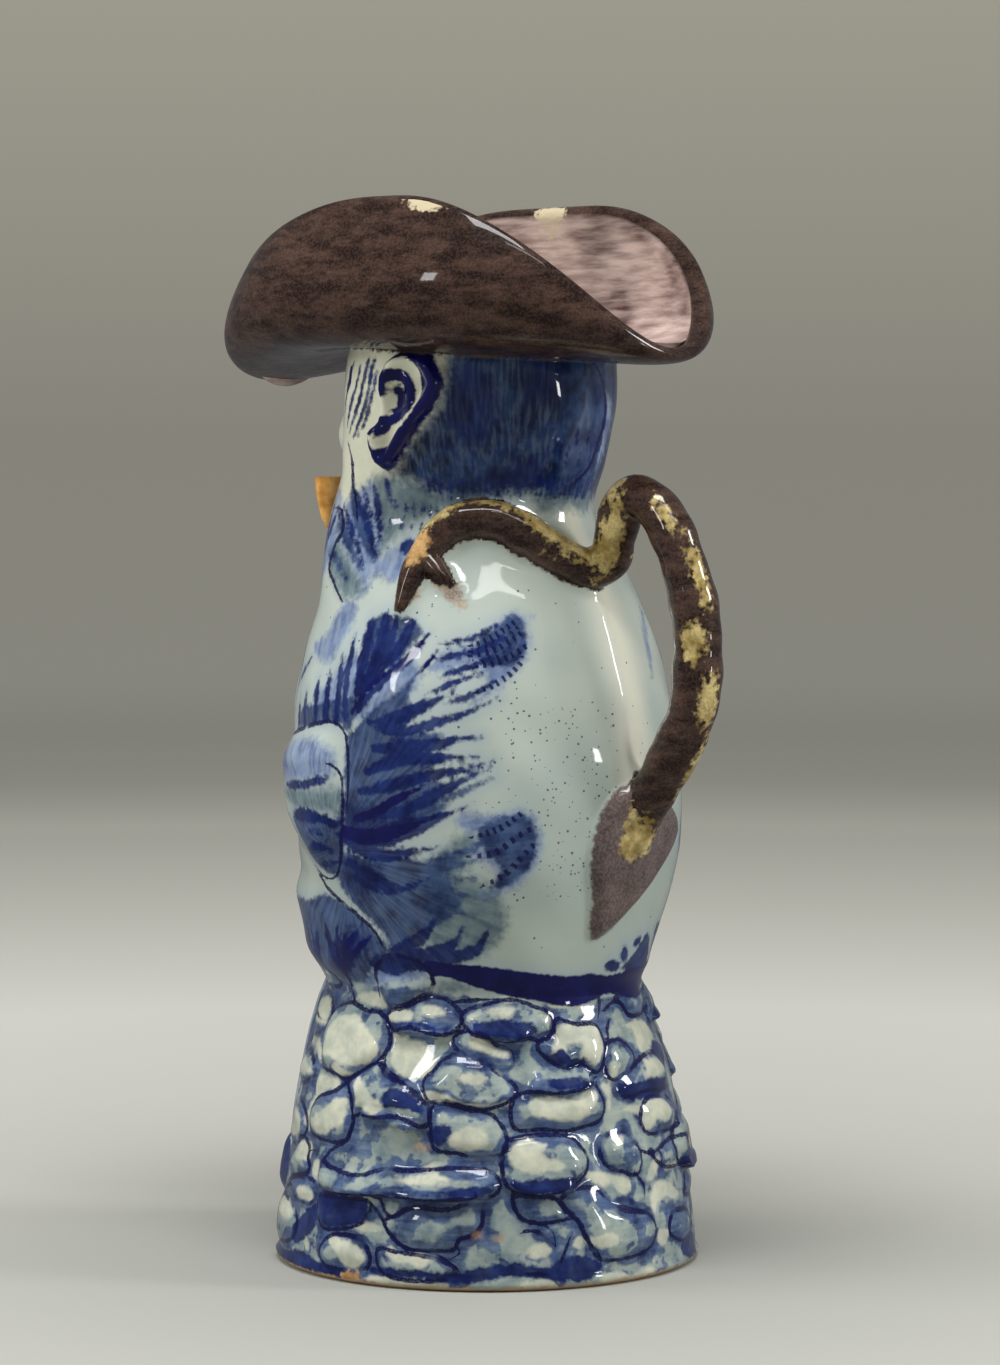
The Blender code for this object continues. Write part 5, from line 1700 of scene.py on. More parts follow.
        area(128, 183, 140, 186, 152, 189, 160, 186, 158, 182, 146, 181, 134, 180.6),
        area(80, 77, 85, 80, 91, 77, 86, 73, 79, 70, 76, 71),
        area(98, 75.6, 106, 76, 112, 75, 108, 72.4, 100, 72.4),
    ),
    Coat.INK: (
        stroke(3.6, 0.9, 0.15, 85.6, 102.6, 94, 101.8, 102.5, 103.2, 108.9, 104.9, 116, 107),
        stroke(2.4, 0.8, 0.2, 90, 106, 96, 107.2, 102.8, 110.2, 109, 112.7, 115, 115.2),
        stroke(1.4, 0.8, 0.2, 87, 129.8, 91, 133.4, 96, 137.6, 104, 141.4),
        stroke(1.1, 0.3, 0.6, 111.4, 148, 107, 144.4, 101, 140.4),
        stroke(1.2, 0.3, 0.6, 114.9, 144.8, 111.8, 141.3, 108.4, 138.8),
        area(85, 207.5, 88, 211, 95, 213.2, 103, 213.2, 108, 210.9, 112.3, 206.6, 112.7, 204.5,
            110.7, 201.3, 107, 198.3, 102, 195.8, 97, 192.3, 92, 188.8, 88, 186.3, 83, 185.1, 79, 186.1,
            76.8, 189, 75.8, 192.2, 78, 193.4, 80.6, 190.2, 84, 190.4, 89, 192.6, 95, 195.2, 99.6, 197.8,
            103, 202, 102.6, 206.6, 99.4, 209.8, 94.6, 211, 89.8, 210, 88, 207, 87.6, 203.4, 85.6, 203.6,
            84.6, 205.6),
        stroke(2.9, 0.8, 0.75, 87.4, 203, 87.6, 205.9, 91.4, 206.9, 96, 205.9, 98.1, 202.6, 96.9, 199.1,
            91, 197, 84.4, 196.3, 80.2, 194.2),
        stroke(2.4, 0.8, 0.5, 92, 203.4, 93.6, 201.8, 92.4, 199.4, 89, 198.6),
        stroke(1.5, 0.5, 0.9, 82, 192.9, 86, 195, 91, 197),
        area(109, 73.6, 120, 73.2, 130, 72.7, 140, 71.7, 150, 70.7, 160, 69.7, 168, 70, 176, 69.2,
            185, 68.8, 196, 66.9, 205, 65.9, 203, 63.6, 190, 64.6, 180, 64.6, 172, 63.4, 164, 62.6, 157, 63,
            149, 64.4, 140, 65.4, 133, 66.6, 126, 68, 118, 69.8, 111, 70.4),
        stroke(2.2, 0.6, 0.8, 54.8, 203.4, 56.2, 205.6, 56, 208.6),
        stroke(2.0, 0.5, 0.8, 84, 79, 81, 75, 77, 71),
        stroke(1.6, 0.4, 0.8, 90, 78.6, 85, 75, 79, 71),
        stroke(1.4, 0.4, 0.8, 75, 77, 76, 73, 75, 69),
        stroke(1.6, 0.8, 0.5, 76.6, 71, 74, 68, 72.6, 65),
        area(18.6, 200.2, 19.2, 201.2, 20.2, 201.2, 20.7, 200.2, 20.2, 199.3, 19.2, 199.3),
    ),
    Coat.YELLOW: (
        area(18, 23, 25, 23.4, 25, 27.4, 18, 27),
    ),
}
# Marks that are drawn once, on the back and across the middle of the front.
SINGLE_MARKS: dict[Coat, tuple[Mark, ...]] = {
    Coat.CREAM: (
        area(-112, 216, -60, 218, 0, 218, 60, 218, 112, 216, 108, 196, 96, 187, 80, 183, 66, 180, 60, 172,
            40, 174, 20, 178, 0, 179, -20, 178, -40, 174, -60, 172, -66, 180, -80, 183, -96, 187,
            -108, 196),
    ),
    Coat.LILAC: (
        area(80, 67, 90.6, 72.4, 97.3, 74.9, 105, 74.4, 110.7, 73.3, 109.5, 69.8, 102, 68.4, 95.3, 68.2,
            88.1, 66.5, 81.5, 64.9),
        stroke(3.0, 0.4, 0.3, 206, 152, 200, 146, 196, 138),
        area(182, 214, 206, 214, 206, 182, 196, 180, 186, 179.6, 184, 190, 185, 202),
        area(-58, 176, -50, 181, -38, 181, -26, 182.4, -14, 184, 0, 180.6, 14, 184, 26, 182.4, 38, 181,
            50, 181, 58, 176, 56, 166, 48, 158, 34, 153, 18, 149, 0, 146, -18, 149, -34, 153, -48, 158,
            -56, 166),
        area(-20, 104, -14, 100, 0, 98, 14, 100, 20, 104, 10, 106, -10, 106),
    ),
    Coat.HEART: (
        area(98, 190.6, 103, 194.8, 109, 198.6, 113, 202, 112, 197, 106, 192.6, 100, 188.6),
    ),
    Coat.HAIR: (
        area(112, 206.5, 113, 211, 116, 216, 140, 216, 160, 216, 178, 216, 177, 206, 174, 198, 170, 190,
            167, 180, 160, 180.2, 140, 180, 125, 178.8, 112, 178.8, 103, 180, 93, 182, 84, 183.8, 87, 186.8,
            91, 190, 97, 193.6, 104, 197, 110, 201),
        area(202, 216, 220, 216, 244, 216, 247, 211, 248, 206.5, 250, 200, 257, 197, 264, 193, 270, 190,
            274, 186.5, 276, 183.5, 268, 181.5, 258, 179.4, 250, 178.3, 235, 178.8, 220, 179.6, 205, 178.5,
            200, 180, 203, 190, 204, 200, 203, 208),
    ),
    Coat.DEEP: (
        area(174.6, 71.4, 177, 72.8, 181, 72.4, 184, 71, 181, 69.8, 177, 70.2),
        area(182.4, 73.4, 183.6, 75.8, 186.6, 74.6, 187.6, 72.4, 185, 71.6),
        area(189.4, 75.4, 191.4, 77.4, 194.6, 76.8, 193, 74.8),
        area(184.6, 70.4, 188, 72, 192, 73.8, 195, 76, 198.6, 78, 201.4, 76.6, 204.6, 73, 207.6, 68.6,
            203, 67, 196, 67.8, 190, 69),
        area(208, 78, 214, 79, 221, 76, 219, 71, 211, 70),
    ),
    Coat.INK: (
        stroke(1.6, 0.4, 0.6, 184, 210, 192, 206, 196, 200, 195, 193, 189, 186, 181, 182.4),
    ),
    Coat.OCHRE: (
        area(89.4, 0, 90, 2, 93, 2.9, 95.8, 1.9, 96, 0),
    ),
    Coat.STAIN: (
        stroke(4.4, 0.7, 0.5, 112, 160, 117, 158.4, 122, 154.6),
        stroke(4.0, 0.8, 0.6, 99, 156.6, 104, 157.2),
        area(109.6, 31.4, 110, 33.2, 113.6, 32.4, 113.4, 31),
        area(127, 12.4, 128, 13.6, 130, 13.2, 129, 12),
        area(133, 11.8, 134, 13, 136.4, 12.6, 136, 11.6),
        area(-7.5, 181.7, -3, 183, 0, 182.6, 3, 183, 7.5, 181.7, 3, 180.3, -3, 180.3),
    ),
    Coat.TAIL: (
        Mark(Figure.leaf, closed=True),
    ),
    Coat.YELLOW: (
        area(171, 99, 172.6, 105, 174.6, 110, 178.6, 112, 183, 110.6, 184.4, 104, 180.4, 98.6, 175, 96.6),
    ),
}
# Thin lines that both sides have.
PAIRED_LINES: tuple[Mark, ...] = (
    stroke(1.3, 0.6, 0.5, 47, 122.6, 52, 123.6, 57, 124.6, 65, 126, 73, 127.2, 78, 127.6, 82, 126.6,
        84.6, 124.6),
    stroke(1.0, 0.7, 0.4, 84.4, 124.6, 86.2, 120, 86.8, 113, 86, 107.6),
    stroke(1.0, 0.6, 0.5, 80.4, 118, 84, 115.4, 84.7, 108, 83.8, 100, 82.8, 96, 80, 92.8, 76, 91.3,
        72, 91.8, 68.6, 93.8),
    stroke(1.2, 0.7, 0.5, 69.6, 91.8, 73, 89, 80, 85.6, 88, 82, 93, 78.6, 95.2, 74.6),
    stroke(1.3, 0.6, 0.4, 56, 191, 58.4, 188, 59.6, 184.6, 61.6, 181.6, 64.6, 177.8, 66.6, 174),
    stroke(1.2, 0.6, 0.5, 53, 176.4, 57, 176, 59.6, 173.4, 60.4, 170.6, 58, 168.4, 56.8, 165, 57, 162,
        60, 160, 64, 157.4, 68.4, 155.2),
    stroke(1.1, 0.5, 0.5, 11.5, 200.4, 15, 202.6, 20, 203.1, 25, 201.9, 28.4, 199.6),
    stroke(0.6, 0.5, 0.4, 13.5, 199.2, 19, 197.7, 26, 198.8),
    stroke(0.7, 0.5, 0.4, 12, 204.3, 19, 205, 27, 203),
    stroke(0.8, 0.6, 0.5, 9.5, 193.4, 10.4, 191.2, 8.6, 189.6, 6, 189.2),
    stroke(1.0, 0.6, 0.5, 14, 118.6, 22, 120.6, 32, 118.8, 41, 114, 44.4, 108.4, 41, 103.4, 31, 102.2,
        19, 104),
    stroke(0.8, 0.6, 0.4, 13, 114.8, 20, 115.6, 28, 114.2),
    stroke(0.8, 0.6, 0.4, 11.6, 111, 19, 111.6, 27, 110.6),
    stroke(0.8, 0.6, 0.4, 12.6, 107.4, 20, 107.8, 28, 107),
    stroke(0.8, 0.6, 0.5, 7, 148, 8, 136, 9, 124, 10, 112),
    stroke(1.0, 0.6, 0.3, 28, 150, 33, 142, 37, 132, 40, 122),
    stroke(0.9, 0.6, 0.3, 40, 152, 45, 146, 48, 138, 50, 129),
    stroke(0.9, 0.6, 0.3, 19, 148, 21, 140, 22, 131, 22, 124),
    Mark(CALF, 0.9, closed=True),
    Mark(SHOE, 0.9, closed=True),
    stroke(1.0, 0.6, 0.4, 10, 97, 16, 90, 22, 80, 20, 70),
)
# Thin lines drawn once: the mouth, and two stones between the feet.
SINGLE_LINES: tuple[Mark, ...] = (
    stroke(0.9, 0.5, 0.5, -8, 183.2, -3, 183.6, 0, 183.1, 3, 183.6, 8, 183.2),
    Mark(path(-9, 43, -3, 45.4, 6, 44.6, 9.6, 40, 7, 34.6, -2, 33, -9, 35.6,
        -10.4, 39.4), 1.0, closed=True),
    Mark(path(-10, 27, -6, 30.4, 1, 30.6, 4, 26.6, 2, 21.6, -4, 20.4, -9.6, 22.6), 1.0, closed=True),
)
# Rows of short dark dashes on the feathers.
DASH_ROWS: tuple[Points, ...] = (
    path(126, 145.6, 131, 146.8, 136, 148.8, 141, 151),
    path(126, 143.2, 132, 144.2, 138, 146.4, 143, 148.6),
    path(128, 140.8, 134, 141.8, 140, 143.8, 144, 145.6),
    path(128, 135.2, 133, 136.8, 138, 139.2, 142, 142),
    path(127, 102.6, 131, 103.5, 136, 105.2, 141, 108.2),
    path(126, 98.2, 132, 98.7, 136, 100.5, 140, 103, 144, 104.6),
    path(130, 91.6, 134, 93, 138, 95.5, 142, 99, 145, 101.2),
)
# Patches of colour on the serpent.
BLOTCHES: dict[Coat, tuple[Blotch, ...]] = {
    Coat.OCHRE: (
        Blotch(0.075, 100.0, 40.0, 4.5, 2.6),
    ),
    Coat.YELLOW: (
        Blotch(0.13, 125.0, 66.0, 7.0, 1.6),
        Blotch(0.19, 135.0, 70.0, 7.0, 1.5),
        Blotch(0.31, 150.0, 60.0, 14.0, 3.0),
        Blotch(0.27, 150.0, 58.0, 12.0, 2.6),
        Blotch(0.33, 155.0, 48.0, 9.0, 2.6),
        Blotch(0.4, 140.0, 55.0, 9.0, 2.8),
        Blotch(0.45, 110.0, 60.0, 5.0, 2.6),
        Blotch(0.53, 131.0, 10.0, 4.0, 1.4),
        Blotch(0.62, 160.0, 10.0, 7.0, 1.7),
        Blotch(0.7, 118.0, 5.0, 4.6, 2.8),
        Blotch(0.77, 165.0, 0.0, 6.0, 2.6),
        Blotch(0.86, 196.0, 0.0, 8.0, 1.8),
        Blotch(0.985, 140.0, 10.0, 7.0, 2.8),
    ),
}


@dataclass(frozen=True)
class WornPatch:
    """A worn place on the brim.

    Attributes:
        angle: Angle of its middle.
        share: Brim share of its middle: 0 at the head, 1 to 2 round the edge, more inside.
        half_angle: Angle from its middle to its edge.
        half_share: The same along the brim's share.
    """

    angle: float
    share: float
    half_angle: float
    half_share: float

    def reach(self, angle: np.ndarray, share: np.ndarray) -> np.ndarray:
        """How far out places are: 0 in the middle and 1 at the edge."""
        return np.hypot(turn(angle - self.angle) / self.half_angle, (share - self.share) / self.half_share)


@dataclass
class Painting:
    """What the painter drew: the marks of each coat, laid on the wall as distances from their edges.

    Attributes:
        skin: The jug that is painted.
        gap: Room that two lines of one layer need between them.
        line_reach: Distance from a line up to which it is told.
        row_length: Length that each row of dashes counts as.
        seed: Seed of the painter's unevenness.
        beard_reach: Angle from the middle of the beard to its sides.
        beard_step: Angle between two of its strokes.
        beard_top: Height where the strokes start, and how much lower they do at the sides.
        chin: Angle up to which they start at the chin, and their height there.
        beard_foot: Height where the strokes end, and how much higher they do at the sides.
        sway: How far the strokes sway and end unevenly.
        stroke_widths: Least and greatest width of the strokes.
        rim_reach: How far the blue wash reaches from the lines drawn round the stones.
        brown_depth: Depth inside the brown that the whole hat and serpent count as.
        hat_overlap: How far the hat's brown comes down over the head.
        serpent_overlap: How far the serpent's brown spreads on the wall beside it.
        serpent_heights: Heights between which the serpent touches the wall.
        fan_root: Angle and height from which the brush strokes fan out.
        fan_scale: Distance on the wall for one degree there.
        worn: The worn places of the brim.
        warm_angles: Angles, on either side, over which the glaze turns warmer at the back.
        warm_heights: Heights over which it does so.
        speck_angles: Angles between which most specks lie, as two edges that each fade.
        speck_heights: Heights between which they lie.
        specks: Share of places with a speck, first elsewhere and then what is added there.
        lining_start: Shares of the brim over which its lining's colour starts.
    """

    skin: JugSkin
    gap: float = 2.5
    line_reach: float = 3.0
    row_length: float = 18.0
    seed: int = 7
    beard_reach: float = 54.0
    beard_step: float = 4.5
    beard_top: tuple[float, float] = (179.5, 3.0)
    chin: tuple[float, float] = (12.0, 177.5)
    beard_foot: tuple[float, float] = (151.0, 9.0)
    sway: tuple[float, float] = (1.6, 2.0)
    stroke_widths: tuple[float, float] = (1.6, 2.6)
    rim_reach: float = 1.9
    brown_depth: float = 2.5
    hat_overlap: float = 0.4
    serpent_overlap: float = 0.5
    serpent_heights: tuple[float, float] = (90.0, 190.0)
    fan_root: tuple[float, float] = (81.0, 98.0)
    fan_scale: float = 0.76
    worn: tuple[WornPatch, ...] = (WornPatch(109.0, 1.0, 8.0, 0.035), WornPatch(-75.0, 1.7, 9.0, 0.35))
    warm_angles: tuple[float, float] = (166.0, 180.0)
    warm_heights: tuple[float, float] = (100.0, 120.0)
    speck_angles: tuple[float, float, float, float] = (124.0, 140.0, 166.0, 176.0)
    speck_heights: tuple[float, float, float, float] = (84.0, 92.0, 126.0, 142.0)
    specks: tuple[float, float] = (0.03, 0.38)
    lining_start: tuple[float, float] = (1.75, 1.95)

    def beard(self) -> list[Mark]:
        """The long strokes of the beard, each a little uneven."""
        rng = np.random.default_rng(self.seed)
        made = []
        sway_reach, end_reach = self.sway
        for angle in np.arange(-self.beard_reach, self.beard_reach + 1.0, self.beard_step):
            aside = abs(angle) / self.beard_reach
            top = self.beard_top[0] - self.beard_top[1] * aside if abs(angle) > self.chin[0] else self.chin[1]
            low = self.beard_foot[0] + self.beard_foot[1] * aside**2 + rng.uniform(-end_reach, end_reach)
            sway = rng.uniform(-sway_reach, sway_reach)
            angles = [angle * (1.0 - 0.04 * k) + sway * np.sin(k * 1.7) for k in range(5)]
            places = tuple(zip(angles, np.linspace(top, low, 5)))
            made.append(Mark(places, rng.uniform(*self.stroke_widths), 0.4, 0.15))
        return made

    def ticks(self) -> list[Mark]:
        """Rows of short ticks on the shoulder's collar and on the back of the head, on both sides."""
        made = []
        for angle in range(84, 122, 4):
            slope = 0.07 * (angle - 82)
            made.append(stroke(0.75, 0.5, 0.1, angle, 178.4 - slope, angle + 0.5, 175.4 - slope))
        for angle in range(82, 104, 5):
            made.append(stroke(0.75, 0.5, 0.1, angle, 173.8 - 0.05 * (angle - 82), angle + 0.6, 171.0))
        for angle in range(100, 206, 3):
            made.append(stroke(0.7, 0.5, 0.1, angle, 183.6, angle + 0.6, 179.0 + 0.8 * np.sin(angle)))
        for angle in range(108, 200, 4):
            wave = 3 * np.sin(0.9 * angle)
            made.append(stroke(0.6, 0.5, 0.1, angle, 192.0 + wave, angle + 0.4, 187.6 + wave))
        return both_sides(made)

    def marks(self) -> dict[Coat, list[Mark]]:
        """All marks of each coat."""
        rocks = self.skin.rocks
        made = {coat: both_sides(PAIRED_MARKS.get(coat, ())) for coat in Coat}
        for coat, drawn in SINGLE_MARKS.items():
            made[coat] += drawn
        made[Coat.DEEP] += self.ticks() + self.beard()
        # The rocks' deep washes include painted shade under the ledges' lips.
        stones = {Coat.HEART: rocks.hearts, Coat.TINT: rocks.tints, Coat.DEEP: rocks.deeps_and_lip_shade}
        for coat, outlines in stones.items():
            made[coat] += rocks.laid_round([Mark(outline, closed=True) for outline in outlines])
        return made

    def lines(self) -> list[Mark]:
        """The thin dark lines of the whole jug, the buttons' rings last."""
        figure = self.skin.figure
        reach = figure.button_reach
        rings = [Mark(path(-3, height, 0, height + reach, 3, height, 0, height - reach), 0.7, closed=True)
                 for height in figure.buttons]
        return [*self.skin.rocks.drawing(), *both_sides(PAIRED_LINES), *SINGLE_LINES, *rings]

    def distances(self, marks: list[Mark], wall: Wall) -> np.ndarray:
        """Distance from the nearest edge of the marks at each place, negative inside them.

        Args:
            marks: Areas and strokes.
            wall: The places.

        Returns:
            The distances, with FAR for all that is beyond it.
        """
        result = np.full(wall.angle.shape, FAR)
        for mark in marks:
            trace = wall.trace(mark)
            depth = -trace.depth if mark.closed else trace.distance - half_width(mark, trace.share)
            result[trace.near] = np.minimum(result[trace.near], depth)
        return result

    def coats(self, wall: Wall) -> dict[str, np.ndarray]:
        """Distance from the edge of each coat at the places of the figure's wall."""
        rocks = self.skin.rocks
        told = {coat.value: self.distances(marks, wall) for coat, marks in self.marks().items()}
        legs = self.distances(both_sides(Mark(outline, closed=True) for outline in (CALF, SHOE)), wall)
        seat = np.clip(wall.height - rocks.top_at(wall.angle), -FAR, FAR)
        rim = np.full(wall.angle.shape, FAR)
        for mark in rocks.drawing():
            trace = wall.trace(mark)
            rim[trace.near] = np.minimum(rim[trace.near], trace.distance - self.rim_reach)
        foot = self.skin.form.brim_foot(wall.angle)[1]
        told[Coat.ROCK.value] = np.maximum(seat, -legs)
        told[Coat.RIM.value] = np.maximum(rim, told[Coat.ROCK.value])
        told[Coat.MANGANESE.value] = np.clip(foot - self.hat_overlap - wall.height, -FAR, FAR)
        return told

    def line_layers(self, wall: Wall) -> list[LineLayer]:
        """The thin lines, shared out so that those of one layer keep apart."""
        layers = [LineLayer.empty(wall) for _ in range(LINE_LAYERS)]
        for mark in self.lines():
            height = float(np.mean([point[1] for point in mark.points]))
            radius = float(np.interp(height, RADIUS_HEIGHTS, RADIUS_VALUES))
            curve = mark.sampled(radius, wall.step) * (np.radians(1.0) * radius, 1.0)
            rooms = [layer.room(curve) for layer in layers]
            chosen = next((k for k, room in enumerate(rooms) if room >= self.gap), int(np.argmax(rooms)))
            layers[chosen].curves.append(curve)
            length = float(np.linalg.norm(np.diff(curve, axis=0), axis=1).sum())
            layers[chosen].draw(mark, wall.trace(mark, self.line_reach), length)
        return layers

    def line_values(self, wall: Wall) -> dict[str, np.ndarray]:
        """The thin lines and the feathers' dashes at the places of the figure's wall."""
        told = {}
        for k, layer in enumerate(self.line_layers(wall)):
            told[f"line_{k}_side"] = layer.side
            told[f"line_{k}_reach"] = layer.reach
        dashes = LineLayer.empty(wall)
        for mark in both_sides(Mark(row, 1.7, 0.5, 0.8) for row in DASH_ROWS):
            dashes.draw(mark, wall.trace(mark, self.line_reach), self.row_length)
        return told | {"dash_side": dashes.side, "dash_reach": dashes.reach, "dash_along": dashes.along}

    def all_round(self, angle: np.ndarray, height: np.ndarray, part: np.ndarray,
                  share: np.ndarray) -> dict[str, np.ndarray]:
        """What no mark tells, at all places: the strokes' fan, wear, warmth, specks and the parts.

        Args:
            angle: Angle of each place.
            height: Height of each place.
            part: Part that it belongs to.
            share: Its brim share.

        Returns:
            The values by name.
        """
        across = (np.abs(angle) - self.fan_root[0]) * self.fan_scale
        up = height - self.fan_root[1]
        told = {"height": height}
        told["fan_turn"] = np.degrees(np.arctan2(up, across))
        told["fan_reach"] = np.hypot(across, up)
        told["brim_bare"] = np.minimum.reduce([patch.reach(angle, share) for patch in self.worn])
        told["brim_inside"] = np.where(part == Part.BRIM_INSIDE.value, 1.0, ease(*self.lining_start, share))
        told["warmth"] = ease(*self.warm_angles, np.abs(angle)) * ease(*self.warm_heights, height)
        speckled = plateau(self.speck_angles, angle) * plateau(self.speck_heights, height)
        told["specks"] = self.specks[0] + self.specks[1] * speckled
        for kind in (Part.CAVITY, Part.PIPE, Part.UNDERSIDE, Part.SERPENT):
            told[kind.name.lower()] = (part == kind.value).astype(float)
        return told

    def lay(self, jug: bpy.types.Object, part: np.ndarray, share: np.ndarray) -> None:
        """Lays the painting on the jug as named values of its vertices.

        Args:
            jug: The jug's skin.
            part: Part that each vertex belongs to.
            share: Brim share of each vertex: 0 at the head, 1 to 2 round the edge, more inside.
        """
        mesh = jug.data
        place = np.empty(len(mesh.vertices) * 3)
        mesh.vertices.foreach_get("co", place)
        place = place.reshape(-1, 3) / MM
        angle, height = np.degrees(np.arctan2(place[:, 0], -place[:, 1])), place[:, 2]
        figure = np.flatnonzero(part == Part.FIGURE.value)
        wall = Wall(angle[figure], height[figure], self.skin.form.radius(angle[figure], height[figure]))
        values = {}
        for name, told in (self.coats(wall) | self.line_values(wall)).items():
            values[name] = np.full(len(place), FAR)
            values[name][figure] = told
        self.paint_serpent(place, part, values)
        values |= self.all_round(angle, height, part, share)
        for name, told in values.items():
            mesh.attributes.new(name, "FLOAT", "POINT").data.foreach_set("value", told.astype(np.float32))

    def paint_serpent(self, place: np.ndarray, part: np.ndarray, values: dict[str, np.ndarray]) -> None:
        """Colours the hat, the serpent and the wall beside it."""
        brown = values[Coat.MANGANESE.value]
        coloured = (Part.BRIM_OUTSIDE, Part.BRIM_EDGE, Part.BRIM_INSIDE, Part.SERPENT)
        brown[np.isin(part, [kind.value for kind in coloured])] = -self.brown_depth
        tubes = self.skin.serpent.tubes(self.skin.form)
        tree = tree_of(np.vstack([route for route, _ in tubes]))
        thick = np.concatenate([radii for _, radii in tubes])
        low, high = self.serpent_heights
        near = np.flatnonzero((part == Part.FIGURE.value) & (place[:, 2] > low) & (place[:, 2] < high))
        found = [tree.find(Vector(place[k])) for k in near]
        away = np.array([distance - thick[k] for _, k, distance in found])
        brown[near] = np.minimum(brown[near], away - self.serpent_overlap)
        on_serpent = np.flatnonzero(part == Part.SERPENT.value)
        route, radii = tubes[0]
        along = np.gradient(route, axis=0)
        along /= np.linalg.norm(along, axis=1)[:, None]
        for coat, blotches in BLOTCHES.items():
            told = values[coat.value]
            for blotch in blotches:
                k = int(round(blotch.share * (len(route) - 1)))
                way = toward(blotch.azimuth, blotch.elevation)
                way -= along[k] * np.dot(way, along[k])
                offset = place[on_serpent] - route[k] - radii[k] * way / np.linalg.norm(way)
                lengthwise = offset @ along[k]
                crosswise = np.linalg.norm(offset - np.outer(lengthwise, along[k]), axis=1)
                reach = np.hypot(lengthwise / blotch.length, crosswise / blotch.width)
                told[on_serpent] = np.minimum(told[on_serpent], (reach - 1.0) * blotch.width)


Colour = tuple[float, float, float]


def seen(red: float, green: float, blue: float) -> Colour:
    """A colour named as a screen shows it, from 0 to 255, in the linear values that a shader takes."""
    shares = np.array((red, green, blue)) / 255.0
    linear = np.where(shares <= 0.04045, shares / 12.92, ((shares + 0.055) / 1.055) ** 2.4)
    return tuple(float(value) for value in linear)


@dataclass(frozen=True)
class Value:
    """A socket's value, with its arithmetic written as Python operators.

    Attributes:
        shader: The shader that it belongs to.
        socket: The socket that gives it.
    """

    shader: "Shader"
    socket: bpy.types.NodeSocket

    def math(self, operation: str, *others: Any) -> "Value":
        """The result of a Math node on this value and others."""
        sockets = dict(enumerate((self, *others)))
        return self.shader.value("ShaderNodeMath", {"operation": operation}, sockets)

    def __add__(self, other: Any) -> "Value":
        """Sum."""
        return self.math("ADD", other)

    __radd__ = __add__

    def __mul__(self, other: Any) -> "Value":
        """Product."""
        return self.math("MULTIPLY", other)

    __rmul__ = __mul__

    def __sub__(self, other: Any) -> "Value":
        """Difference."""
        return self.math("SUBTRACT", other)

    def __rsub__(self, other: Any) -> "Value":
        """Difference from a number."""
        return (self * -1.0) + other

    def __truediv__(self, other: Any) -> "Value":
        """Quotient."""
        return self.math("DIVIDE", other)

    def __abs__(self) -> "Value":
        """Size without its sign."""
        return self.math("ABSOLUTE")

    def least(self, other: Any) -> "Value":
        """The smaller of two values."""
        return self.math("MINIMUM", other)

    def most(self, other: Any) -> "Value":
        """The larger of two values."""
        return self.math("MAXIMUM", other)

    def rise(self, low: float, high: float) -> "Value":
        """Smooth step from 0 at low to 1 at high; low may be the larger."""
        settings = {"interpolation_type": "SMOOTHSTEP"}
        sockets = {"Value": self, "From Min": low, "From Max": high}
        return self.shader.value("ShaderNodeMapRange", settings, sockets)


